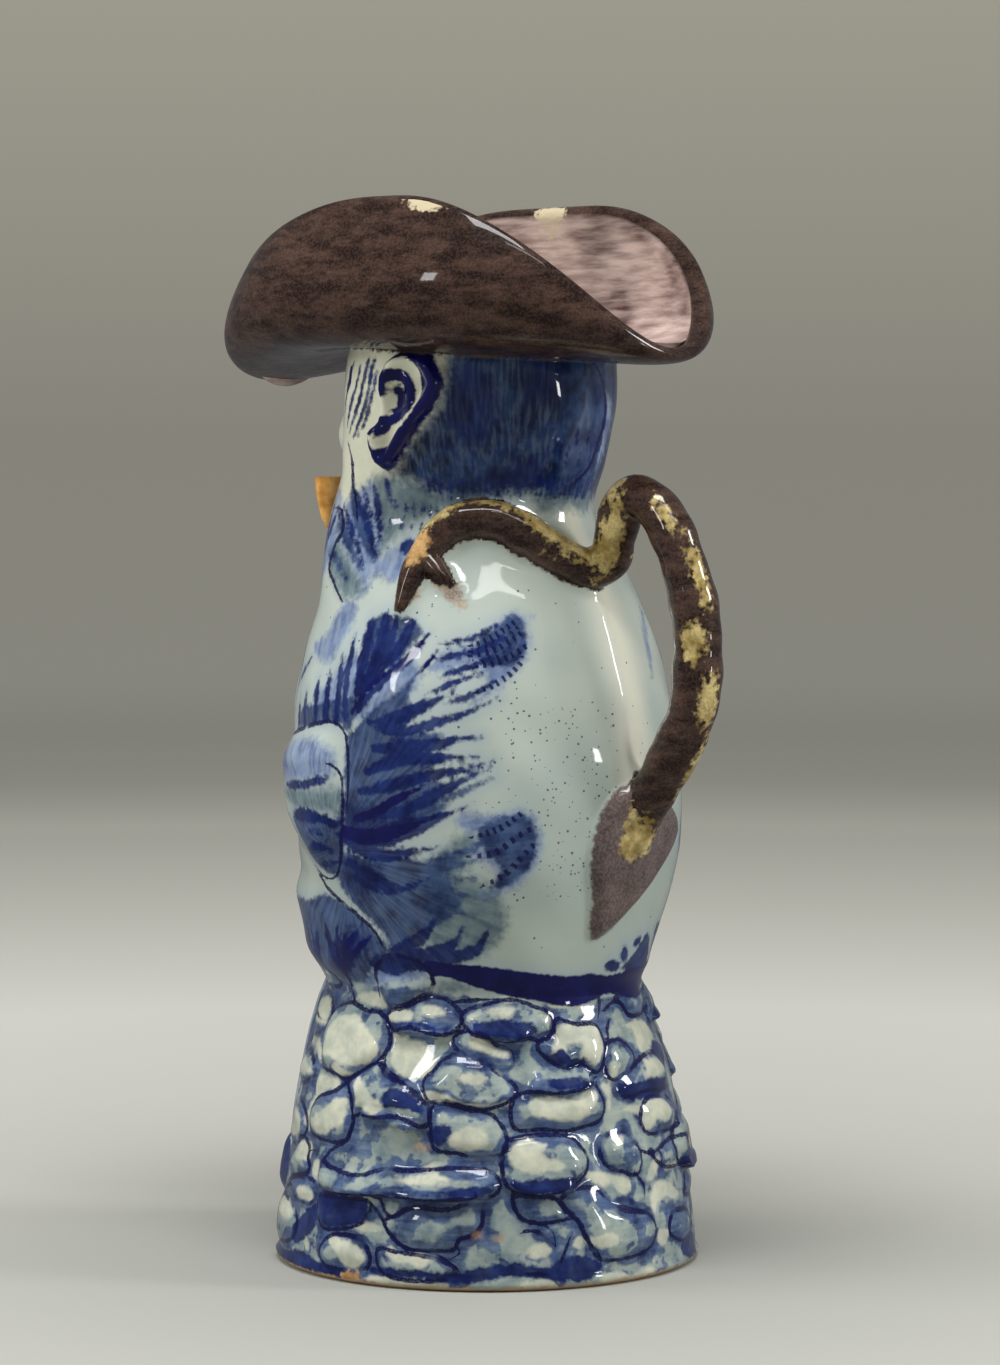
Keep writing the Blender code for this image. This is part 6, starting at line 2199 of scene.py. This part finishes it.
class Shader:
    """A material and its nodes, which are added by expressions."""

    def __init__(self, name: str) -> None:
        """Starts a material with a Principled surface."""
        self.material = bpy.data.materials.new(name)
        self.material.use_nodes = True
        self.tree = self.material.node_tree
        self.surface = self.tree.nodes["Principled BSDF"]

    def node(self, kind: str, settings: dict[str, Any], sockets: dict[str | int, Any]) -> bpy.types.Node:
        """Adds a node.

        Args:
            kind: The node's type.
            settings: Its settings, set first; "stops" gives a ramp's places and colours.
            sockets: Values or links of its sockets, by name or number.

        Returns:
            The node.
        """
        made = self.tree.nodes.new(kind)
        for name, setting in settings.items():
            if name == "stops":
                for k, (place, colour) in enumerate(setting):
                    ramp = made.color_ramp.elements
                    stop = ramp[k] if k < len(ramp) else ramp.new(place)
                    stop.position, stop.color = place, (*colour, 1.0)
            else:
                setattr(made, name, setting)
        for name, value in sockets.items():
            self.feed(made.inputs[name], value)
        return made

    def feed(self, socket: bpy.types.NodeSocket, value: Any) -> None:
        """Links a value to a socket, or sets a constant on it."""
        if isinstance(value, Value):
            self.tree.links.new(value.socket, socket)
        elif isinstance(value, tuple) and len(value) == 3 and len(socket.default_value) == 4:
            socket.default_value = (*value, 1.0)
        else:
            socket.default_value = value

    def value(self, kind: str, settings: dict[str, Any], sockets: dict[str | int, Any],
              output: str | int = 0) -> Value:
        """Adds a node and gives one of its outputs."""
        return Value(self, self.node(kind, settings, sockets).outputs[output])

    def named(self, name: str) -> Value:
        """A value that the mesh carries by name."""
        return self.value("ShaderNodeAttribute", {"attribute_name": name}, {}, "Fac")

    def mix(self, share: Any, first: Any, second: Any) -> Value:
        """A share of the second colour over the first."""
        made = self.node("ShaderNodeMix", {"data_type": "RGBA"}, {0: share, 6: first, 7: second})
        return Value(self, made.outputs[2])

    def places(self, stretch: tuple[float, float, float] = (1.0, 1.0, 1.0)) -> Value:
        """Places on the piece in millimetres, stretched."""
        there = self.value("ShaderNodeTexCoord", {}, {}, "Object")
        scale = tuple(1.0 / (MM * side) for side in stretch)
        return self.value("ShaderNodeVectorMath", {"operation": "MULTIPLY"}, {0: there, 1: scale})

    def noise(self, size: float, detail: float = 2.0, where: Value | None = None,
              roughness: float = 0.5) -> Value:
        """Cloudy noise from 0 to 1 whose grain has a size in millimetres."""
        sockets = {"Scale": 1.0 / size, "Detail": detail, "Roughness": roughness}
        sockets["Vector"] = where or self.places()
        return self.value("ShaderNodeTexNoise", {}, sockets, "Fac")

    def spots(self, size: float, radius: float, share: Value | float) -> Value:
        """Round spots scattered over the piece.

        Args:
            size: Mean distance between the places where a spot may be, in millimetres.
            radius: Radius of the largest spots, in millimetres.
            share: Share of those places that have one.

        Returns:
            1 in a spot and 0 outside.
        """
        sockets = {"Vector": self.places(), "Scale": 1.0 / size, "Randomness": 1.0}
        cells = self.node("ShaderNodeTexVoronoi", {}, sockets)
        chance = self.value("ShaderNodeSeparateColor", {}, {0: Value(self, cells.outputs["Color"])}, 0)
        luck = self.value("ShaderNodeSeparateColor", {}, {0: Value(self, cells.outputs["Color"])}, 1)
        edge = Value(self, cells.outputs["Distance"]) * size / (luck * 0.75 + 0.3)
        return edge.rise(radius, 0.7 * radius) * chance.math("LESS_THAN", share)


class Grain(Enum):
    """The way in which a coat lets the ground through."""

    EVEN = "even"
    STIPPLE = "stipple"
    VERTICAL = "vertical"
    FAN = "fan"
    LEVEL = "level"


@dataclass(frozen=True)
class Paint:
    """How a coat is painted.

    Attributes:
        coat: The coat.
        dark: Colour where it lies thick.
        light: Colour where it lies thin.
        ragged: How far its edge wanders, in millimetres.
        soft: How far its edge fades, in millimetres.
        grain: How the ground shows through.
        depth: How much of the ground shows there.
        strength: How well it covers elsewhere.
        bare: How much of the ground it leaves in bare patches.
        swing: How far its edge strays in long waves, in millimetres.
    """

    coat: Coat
    dark: Colour
    light: Colour
    ragged: float = 1.0
    soft: float = 0.4
    grain: Grain = Grain.STIPPLE
    depth: float = 0.2
    strength: float = 1.0
    bare: float = 0.0
    swing: float = 0.0


@dataclass(frozen=True)
class TinGlaze:
    """The jug's finish: white tin glaze painted in blue and manganese under a clear gloss.

    Attributes:
        white: The glaze.
        cool: The glaze where it is cooler.
        warm: The glaze at the back, where it is warmer.
        low_painted_shade: The glaze low down, darker as painted shade.
        shade_heights: Heights over which that painted shade deepens, downwards.
        clay: The bare clay of the foot.
        line: The thin lines and dashes.
        line_wander: How far a line's edge wanders, in its half widths.
        line_edge: Half widths over which its edge fades, inwards.
        line_limit: Distances over which every line ends, inwards.
        dash_beat: How fast dashes follow one another in a row.
        halo: The glaze beside the blue, where the colour bled.
        halo_reach: Distances from the blue over which the halo starts.
        speck: The stray specks.
        pipe_dark: The pipe where it is darker.
        pipe_light: The pipe where it is lighter.
        hat_dark: The manganese where it is thick.
        hat_light: The manganese where it is thin.
        hat_rim: The brim where the manganese is worn away.
        lining_dark: The brim's inside where it is darker.
        lining_light: The brim's inside where it is lighter.
        paints: The coats under the thin lines, in order.
        overpaints: The coats over them.
        last_paints: The coats over the manganese, which the first of the overpaints follows once more.
        gloss_roughness: Roughness of the clear gloss.
        gloss_index: Its index of refraction.
        body_roughness: Roughness of the colour under the gloss, and how much its tone and bare clay add.
        body_mirror: How much the colour under the gloss mirrors.
        relief: Height of the glaze's waves, its fine ripple, the rocks' roughness and the brown's grain.
        relief_strength: How strongly all these show.
    """

    white: Colour = seen(186, 195, 186)
    cool: Colour = seen(172, 184, 180)
    warm: Colour = seen(218, 218, 202)
    # Painted shade: the glaze darker low down on the body.
    low_painted_shade: Colour = seen(142, 155, 148)
    shade_heights: tuple[float, float] = (150.0, 90.0)
    clay: Colour = seen(186, 158, 126)
    line: Colour = seen(8, 10, 62)
    line_wander: float = 1.6
    line_edge: tuple[float, float] = (1.25, 0.7)
    line_limit: tuple[float, float] = (1.25, 0.95)
    dash_beat: float = 2.6
    halo: Colour = seen(128, 150, 180)
    halo_reach: tuple[float, float] = (3.6, -0.4)
    speck: Colour = seen(38, 44, 74)
    pipe_dark: Colour = seen(186, 120, 48)
    pipe_light: Colour = seen(236, 184, 104)
    hat_dark: Colour = seen(30, 19, 16)
    hat_light: Colour = seen(84, 64, 55)
    hat_rim: Colour = seen(210, 196, 164)
    lining_dark: Colour = seen(92, 66, 62)
    lining_light: Colour = seen(222, 198, 190)
    paints: tuple[Paint, ...] = (
        Paint(Coat.CREAM, seen(206, 208, 188), seen(214, 215, 196), 1.5, 1.6, Grain.EVEN, 0.0),
        Paint(Coat.TINT, seen(56, 80, 98), seen(104, 126, 134), 1.8, 2.0, Grain.FAN, 0.16, 0.9),
        Paint(Coat.LILAC, seen(64, 86, 136), seen(122, 142, 184), 1.8, 1.5, Grain.FAN, 0.3, 0.88),
        Paint(Coat.WASH, seen(14, 30, 74), seen(54, 78, 122), 1.0, 0.7, Grain.FAN, 0.1, 0.96),
        Paint(Coat.ROCK, seen(104, 124, 134), seen(160, 170, 162), 0.8, 0.7, Grain.LEVEL, 0.2, 0.9),
        Paint(Coat.ROCK, seen(22, 40, 86), seen(84, 108, 146), 0.8, 0.6, Grain.LEVEL, 0.2, 0.9, 1.0),
        Paint(Coat.RIM, seen(16, 32, 78), seen(74, 98, 142), 0.7, 0.6, Grain.LEVEL, 0.16, 0.94, swing=4.5),
        Paint(Coat.HEART, seen(176, 182, 168), seen(208, 208, 188), 0.7, 0.6, Grain.EVEN, 0.0, 0.92,
              swing=1.8),
        Paint(Coat.HAIR, seen(2, 18, 52), seen(34, 60, 102), 1.6, 2.6, Grain.VERTICAL, 0.08, 1.0),
        Paint(Coat.DEEP, seen(4, 14, 68), seen(20, 42, 104), 0.9, 0.45, Grain.FAN, 0.06, 0.98),
        Paint(Coat.SHADE, seen(2, 12, 58), seen(8, 24, 84), 3.0, 2.4, Grain.VERTICAL, 0.2, 0.8),
        Paint(Coat.INK, seen(4, 6, 62), seen(12, 16, 84), 0.5, 0.3, Grain.STIPPLE, 0.0, 1.0),
    )
    overpaints: tuple[Paint, ...] = (
        Paint(Coat.OCHRE, seen(158, 112, 58), seen(226, 184, 124), 2.4, 0.7, Grain.STIPPLE, 0.3, 0.9),
        Paint(Coat.STAIN, seen(120, 78, 50), seen(184, 148, 112), 1.6, 0.9, Grain.STIPPLE, 0.3, 0.7),
    )
    last_paints: tuple[Paint, ...] = (
        Paint(Coat.TAIL, seen(70, 54, 54), seen(104, 84, 82), 0.8, 0.4, Grain.STIPPLE, 0.1, 0.97),
        Paint(Coat.YELLOW, seen(128, 106, 42), seen(226, 206, 144), 2.8, 0.8, Grain.STIPPLE, 0.35, 0.95),
    )
    gloss_roughness: float = 0.05
    gloss_index: float = 1.5
    body_roughness: tuple[float, float, float] = (0.3, 0.12, 0.4)
    body_mirror: float = 0.04
    relief: tuple[float, float, float, float] = (0.32, 0.06, 0.3, 0.2)
    relief_strength: float = 0.8

    def grains(self, shader: Shader) -> dict[Grain, Value]:
        """Noise for each way of letting the ground through."""
        axes = {0: shader.named("fan_turn") / 2.4, 1: shader.named("fan_reach") / 11.0}
        fan = shader.value("ShaderNodeCombineXYZ", {}, axes)
        return {
            Grain.STIPPLE: shader.noise(0.6, 1.0).rise(0.42, 0.62),
            Grain.VERTICAL: shader.noise(1.0, 2.0, shader.places((1.0, 1.0, 9.0))).rise(0.38, 0.64),
            Grain.FAN: shader.noise(1.0, 2.0, fan).rise(0.38, 0.66),
            Grain.LEVEL: shader.noise(1.1, 2.0, shader.places((9.0, 9.0, 1.0))).rise(0.36, 0.66),
        }

    def laid(self, shader: Shader, colour: Value, paint: Paint, noises: dict[str, Value],
             grains: dict[Grain, Value]) -> Value:
        """A coat of paint over a colour.

        Args:
            shader: The material that is built.
            colour: The colour under it.
            paint: The coat.
            noises: The painter's shared unevenness.
            grains: Noise for each grain.

        Returns:
            The colour with the coat on it.
        """
        depth = shader.named(paint.coat.value) + (noises["edge"] - 0.5) * (2.0 * paint.ragged)
        if paint.swing:
            depth = depth + (noises["wander"] - 0.5) * (2.0 * paint.swing)
        cover = depth.rise(paint.soft, -paint.soft) * paint.strength
        if paint.grain is not Grain.EVEN:
            cover = cover * (1.0 - grains[paint.grain] * paint.depth)
        if paint.bare:
            cover = cover * (1.0 - noises["patch"] * paint.bare)
        tone = noises["tone"]
        if paint.grain is not Grain.EVEN:
            tone = (tone + grains[paint.grain] * 0.17) * 0.86
        return shader.mix(cover, colour, shader.mix(tone, paint.dark, paint.light))

    def ground(self, shader: Shader) -> Value:
        """The bare glaze, cooler and warmer by turns, with stray specks of colour."""
        cloud = shader.noise(24.0, 1.0).rise(0.3, 0.7)
        colour = shader.mix(cloud, self.white, self.cool)
        # Painted shade: the glaze turns darker towards the bottom of the body.
        colour = shader.mix(shader.named("height").rise(*self.shade_heights) * 0.4, colour, self.low_painted_shade)
        colour = shader.mix(shader.named("warmth"), colour, self.warm)
        near = shader.named(Coat.WASH.value).least(shader.named(Coat.DEEP.value))
        near = near.least(shader.named(Coat.INK.value))
        colour = shader.mix(near.rise(*self.halo_reach) * 0.3, colour, self.halo)
        fine = shader.spots(1.7, 0.37, shader.named("specks"))
        finer = shader.spots(0.95, 0.36, shader.named("specks") * 0.8)
        return shader.mix(fine.most(finer) * 0.8, colour, self.speck)

    def lined(self, shader: Shader, colour: Value, noises: dict[str, Value],
              grains: dict[Grain, Value]) -> Value:
        """The thin lines and the feathers' dashes over a colour."""
        broken = shader.noise(8.0, 2.0).rise(0.34, 0.44) * 0.85 + 0.15
        for k in range(LINE_LAYERS):
            side = abs(shader.named(f"line_{k}_side")) + (noises["edge"] - 0.5) * self.line_wander
            cover = side.rise(*self.line_edge) * shader.named(f"line_{k}_reach").rise(*self.line_limit)
            colour = shader.mix(cover * broken * (grains[Grain.STIPPLE] * -0.15 + 0.98), colour, self.line)
        beat = (shader.named("dash_along") * self.dash_beat + noises["edge"] * 3.0).math("SINE")
        beat = beat.rise(-0.1, 0.5)
        side = abs(shader.named("dash_side")).rise(1.2, 0.7) * shader.named("dash_reach").rise(1.3, 1.0)
        return shader.mix(beat * side * 0.9, colour, self.line)

    def manganese(self, shader: Shader, colour: Value, noises: dict[str, Value],
                  grains: dict[Grain, Value]) -> Value:
        """The hat and the serpent: mottled brown manganese, worn thin at the brim's edge."""
        blot = shader.noise(3.2, 4.0, shader.places((3.2, 3.2, 1.0)), 0.72).rise(0.36, 0.7)
        coat = shader.mix(blot * 0.7 + grains[Grain.STIPPLE] * 0.3, self.hat_dark, self.hat_light)
        cover = (shader.named(Coat.MANGANESE.value) + (noises["edge"] - 0.5) * 2.0).rise(0.4, -0.4)
        colour = shader.mix(cover, colour, coat)
        streak = shader.noise(1.6, 3.0, shader.places((8.0, 8.0, 1.0)), 0.6).rise(0.3, 0.7)
        cloud = shader.noise(16.0, 1.0).rise(0.35, 0.68)
        lining = shader.mix(streak * 0.55 + cloud * 0.55, self.lining_dark, self.lining_light)
        colour = shader.mix(shader.named("brim_inside"), colour, lining)
        worn = (shader.named("brim_bare") + (noises["edge"] - 0.5) * 1.2).rise(1.1, 0.8) * 0.85
        return shader.mix(worn, colour, self.hat_rim)

    def material(self) -> bpy.types.Material:
        """The finish as a material."""
        shader = Shader("painted_tin_glaze")
        noises = {
            "edge": shader.noise(1.5, 2.0),
            "wander": shader.noise(7.0, 1.0),
            "tone": shader.noise(5.0, 3.0, roughness=0.6).rise(0.3, 0.7),
            "patch": shader.noise(6.5, 3.0, roughness=0.55).rise(0.41, 0.46),
        }
        grains = self.grains(shader)
        colour = self.ground(shader)
        for paint in self.paints:
            colour = self.laid(shader, colour, paint, noises, grains)
        colour = self.lined(shader, colour, noises, grains)
        for paint in self.overpaints:
            colour = self.laid(shader, colour, paint, noises, grains)
        colour = self.manganese(shader, colour, noises, grains)
        for paint in (*self.last_paints, self.overpaints[0]):
            colour = self.laid(shader, colour, paint, noises, grains)
        colour = shader.mix(shader.named("cavity"), colour, self.white)
        pipe = shader.mix(noises["tone"], self.pipe_dark, self.pipe_light)
        colour = shader.mix(shader.named("pipe"), colour, pipe)
        low = (shader.named("height") + (noises["edge"] - 0.5) * 2.0).rise(1.5, 0.7)
        bare = shader.named("underside").rise(0.2, 0.8).most(low * (1.0 - shader.named("cavity")))
        dark_clay = tuple(0.8 * part for part in self.clay)
        colour = shader.mix(bare, colour, shader.mix(noises["tone"], self.clay, dark_clay))
        shader.feed(shader.surface.inputs["Base Color"], colour)
        plain, uneven, rough_clay = self.body_roughness
        shader.feed(shader.surface.inputs["Roughness"], bare * rough_clay + noises["tone"] * uneven + plain)
        dull = shader.named(Coat.MANGANESE.value).rise(0.5, -0.5) * (1.0 - shader.named("serpent") * 0.6)
        shader.feed(shader.surface.inputs["Coat Weight"], (1.0 - bare) * (1.0 - dull * 0.4))
        shader.feed(shader.surface.inputs["Coat Roughness"], self.gloss_roughness)
        shader.feed(shader.surface.inputs["Coat IOR"], self.gloss_index)
        shader.feed(shader.surface.inputs["Specular IOR Level"], self.body_mirror)
        wave, ripple, roughness, grain = self.relief
        height = shader.noise(11.0, 1.0) * wave + shader.noise(2.6, 1.0) * ripple
        rough = shader.named(Coat.ROCK.value).rise(0.5, -0.5)
        height = height + rough * shader.noise(4.0, 0.0) * roughness
        height = height + dull * shader.noise(1.3, 1.0, shader.places((2.2, 2.2, 1.0)), 0.7) * grain
        bump = {"Height": height, "Distance": MM, "Strength": self.relief_strength}
        shader.feed(shader.surface.inputs["Normal"], shader.value("ShaderNodeBump", {}, bump))
        return shader.material


@dataclass(frozen=True)
class Softbox:
    """A soft lamp outside the picture.

    Attributes:
        azimuth: Where it stands round the jug.
        elevation: How high it stands over the floor, seen from the middle of the jug, in degrees.
        distance: Distance from the middle of the jug, in metres.
        width: Width, in metres.
        height: Height, in metres.
        power: Power, in watts.
        mirrored: Whether the glaze mirrors it, or it only brightens.
    """

    azimuth: float
    elevation: float
    distance: float
    width: float
    height: float
    power: float
    mirrored: bool = True

    def build(self, name: str, aim: Vector) -> bpy.types.Object:
        """The lamp, turned to face a point."""
        lamp = bpy.data.lights.new(name, "AREA")
        lamp.shape = "RECTANGLE"
        lamp.size = self.width
        lamp.size_y = self.height
        lamp.energy = self.power
        made = bpy.data.objects.new(name, lamp)
        way = Vector(toward(self.azimuth, self.elevation))
        made.location = aim + way * self.distance
        made.rotation_mode = "QUATERNION"
        made.rotation_quaternion = way.to_track_quat("Z", "Y")
        made.visible_camera = False
        made.visible_glossy = self.mirrored
        bpy.context.scene.collection.objects.link(made)
        return made


@dataclass(frozen=True)
class Studio:
    """A pale floor that sweeps up into a grey wall all round, soft lamps, and the photograph's camera.

    Attributes:
        floor_radius: Radius of the flat floor, in metres.
        sweep_radius: Radius of the curve from the floor to the wall, in metres.
        wall_height: Height of the wall, in metres.
        azimuth: Where the camera stands round the jug.
        distance: Camera's distance from the jug's axis, in metres.
        eye_height: Camera's height over the floor, in metres.
        focal_pixels: Focal length in pixels of the 1000 by 1365 picture.
        axis_pixel: Where the jug's axis is in the picture, across.
        horizon_pixel: Where the eye height is in the picture, down.
        picture: Width and height of that picture, in pixels.
        sensor: Width of the camera's sensor, in millimetres.
        paper_length: Length of paper, along the floor and up the wall, that the tones below run over.
        paper_tones_and_shadow: Tone of the paper at shares of that length; near the jug it is a painted
            shadow.
        wall_glow: How far the paper lights itself at shares of that length.
        lamps: The lamps, by name.
        aim_height: Height of the point that the lamps face, in metres.
        sky: Colour of the surrounding light.
        sky_strength: Its strength.
        sweep_steps: Steps of the curve from the floor to the wall.
        sides: Steps round the sweep.
    """

    floor_radius: float = 1.5
    sweep_radius: float = 0.7
    wall_height: float = 2.6
    azimuth: float = 131.0
    distance: float = 1.0
    eye_height: float = 0.187
    focal_pixels: float = 4255.0
    axis_pixel: float = 487.0
    horizon_pixel: float = 462.0
    picture: tuple[float, float] = (1000.0, 1365.0)
    sensor: float = 36.0
    paper_length: float = 4.0
    # The first stops darken the floor round the jug's foot: a painted shadow.
    paper_tones_and_shadow: tuple[tuple[float, Colour], ...] = (
        (0.012, seen(160, 161, 155)),
        (0.055, seen(180, 180, 174)),
        (0.115, seen(202, 202, 196)),
        (0.2, seen(196, 196, 189)),
        (0.3, seen(194, 194, 187)),
        (0.42, seen(118, 117, 111)),
        (0.7, seen(92, 91, 86)),
    )
    wall_glow: tuple[tuple[float, Colour], ...] = (
        (0.28, (0.0, 0.0, 0.0)),
        (0.45, (0.14, 0.138, 0.122)),
        (0.55, (0.15, 0.146, 0.124)),
        (0.7, (0.29, 0.275, 0.23)),
    )
    lamps: tuple[tuple[str, Softbox], ...] = (
        ("overhead_fill", Softbox(131.0, 80.0, 1.5, 1.4, 1.4, 6.0, mirrored=False)),
        ("left_fill", Softbox(46.0, 24.0, 1.3, 0.7, 0.7, 9.0, mirrored=False)),
        ("right_softbox", Softbox(212.0, 24.0, 1.25, 0.24, 0.4, 7.0)),
        ("shoulder_strip", Softbox(147.0, 57.0, 1.15, 0.5, 0.06, 0.6)),
        ("top_softbox", Softbox(125.0, 72.0, 1.3, 0.65, 0.4, 12.0)),
        ("left_spot", Softbox(84.0, 27.0, 1.3, 0.12, 0.16, 0.8)),
        ("low_spot", Softbox(193.0, 3.0, 1.3, 0.1, 0.14, 0.8)),
    )
    aim_height: float = 0.12
    sky: Colour = (0.93, 0.96, 1.0)
    sky_strength: float = 0.16
    sweep_steps: int = 14
    sides: int = 96

    def floor(self) -> bpy.types.Object:
        """The floor and wall as one turned sweep."""
        profile = [(0.0, 0.0)]
        profile += [(self.floor_radius * share, 0.0) for share in (0.2, 0.4, 0.6, 0.8, 1.0)]
        for sweep in np.linspace(0.0, 0.5 * np.pi, self.sweep_steps + 1)[1:]:
            profile.append((self.floor_radius + self.sweep_radius * np.sin(sweep),
                            self.sweep_radius * (1.0 - np.cos(sweep))))
        profile.append((self.floor_radius + self.sweep_radius, self.wall_height))
        sides = self.sides
        turns = np.linspace(0.0, 2.0 * np.pi, sides, endpoint=False)
        shape = bmesh.new()
        middle = shape.verts.new((0.0, 0.0, 0.0))
        rows = []
        for radius, height in profile[1:]:
            rows.append([shape.verts.new((radius * np.cos(a), radius * np.sin(a), height)) for a in turns])
        for k in range(sides):
            shape.faces.new((rows[0][k], rows[0][(k + 1) % sides], middle))
        for lower, upper in zip(rows, rows[1:]):
            for k in range(sides):
                shape.faces.new((lower[k], upper[k], upper[(k + 1) % sides], lower[(k + 1) % sides]))
        bmesh.ops.recalc_face_normals(shape, faces=shape.faces[:])
        sweep_object = new_object(shape, "studio_sweep")
        sweep_object.data.shade_smooth()
        return sweep_object

    def camera(self) -> bpy.types.Object:
        """The camera at the photograph's viewing angle."""
        bearing = np.radians(self.azimuth)
        out = toward(self.azimuth)
        right = np.array((np.cos(bearing), np.sin(bearing), 0.0))
        place = out * self.distance + (0.0, 0.0, self.eye_height)
        middle_x, middle_y = 0.5 * self.picture[0], 0.5 * self.picture[1]
        aside = (middle_x - self.axis_pixel) / self.focal_pixels
        down = (middle_y - self.horizon_pixel) / self.focal_pixels
        view = -out + right * aside - (0.0, 0.0, down)
        eye = bpy.data.cameras.new("camera")
        eye.sensor_fit = "AUTO"
        eye.sensor_width = self.sensor
        eye.lens = self.sensor * self.focal_pixels / max(self.picture)
        made = bpy.data.objects.new("camera", eye)
        made.location = Vector(place)
        made.rotation_mode = "QUATERNION"
        made.rotation_quaternion = (-Vector(view)).to_track_quat("Z", "Y")
        bpy.context.scene.collection.objects.link(made)
        bpy.context.scene.camera = made
        return made

    def build(self) -> None:
        """Makes the sweep, the lamps, the surrounding light and the camera."""
        sweep = self.floor()
        sweep.data.materials.append(self.paper())
        sweep.visible_glossy = False
        aim = Vector((0.0, 0.0, self.aim_height))
        for name, lamp in self.lamps:
            lamp.build(name, aim)
        world = bpy.data.worlds.new("room")
        world.use_nodes = True
        light = world.node_tree.nodes["Background"]
        light.inputs["Color"].default_value = (*self.sky, 1.0)
        light.inputs["Strength"].default_value = self.sky_strength
        bpy.context.scene.world = world
        bpy.context.scene.view_settings.view_transform = "Standard"
        self.camera()
        LOG.info("studio: sweep, %d lamps and camera", len(self.lamps))

    def paper(self) -> bpy.types.Material:
        """Matt paper, pale on the floor and greyer up the wall."""
        shader = Shader("paper")
        there = shader.value("ShaderNodeTexCoord", {}, {}, "Object")
        axes = shader.node("ShaderNodeSeparateXYZ", {}, {0: there})
        x, y, z = (Value(shader, axes.outputs[k]) for k in range(3))
        reach = (x * x + y * y).math("SQRT")
        along = (reach + z) / self.paper_length
        glow = shader.value("ShaderNodeValToRGB", {"stops": self.wall_glow}, {0: along})
        # Painted shadow: the tone is darker on the floor round the jug's foot.
        tone = shader.value("ShaderNodeValToRGB", {"stops": self.paper_tones_and_shadow}, {0: along})
        grain = shader.noise(0.8, 2.0)
        shader.feed(shader.surface.inputs["Base Color"], shader.mix(grain * 0.04, tone, (0.0, 0.0, 0.0)))
        shader.feed(shader.surface.inputs["Emission Color"], glow)
        shader.feed(shader.surface.inputs["Emission Strength"], 1.0)
        shader.feed(shader.surface.inputs["Roughness"], 0.75)
        shader.feed(shader.surface.inputs["Specular IOR Level"], 0.2)
        return shader.material


def main() -> None:
    """Builds the jug and the studio."""
    logging.basicConfig(level=logging.INFO, format="%(name)s: %(message)s")
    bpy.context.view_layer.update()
    skin = JugSkin()
    jug, part, share = skin.build()
    Painting(skin).lay(jug, part, share)
    jug.data.materials.clear()
    jug.data.materials.append(TinGlaze().material())
    jug.data.shade_smooth()
    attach(jug, BODY)
    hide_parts(NODE)
    LOG.info("%s: %d triangles", jug.name, len(jug.data.polygons))
    Studio().build()


if __name__ == "__main__":
    main()
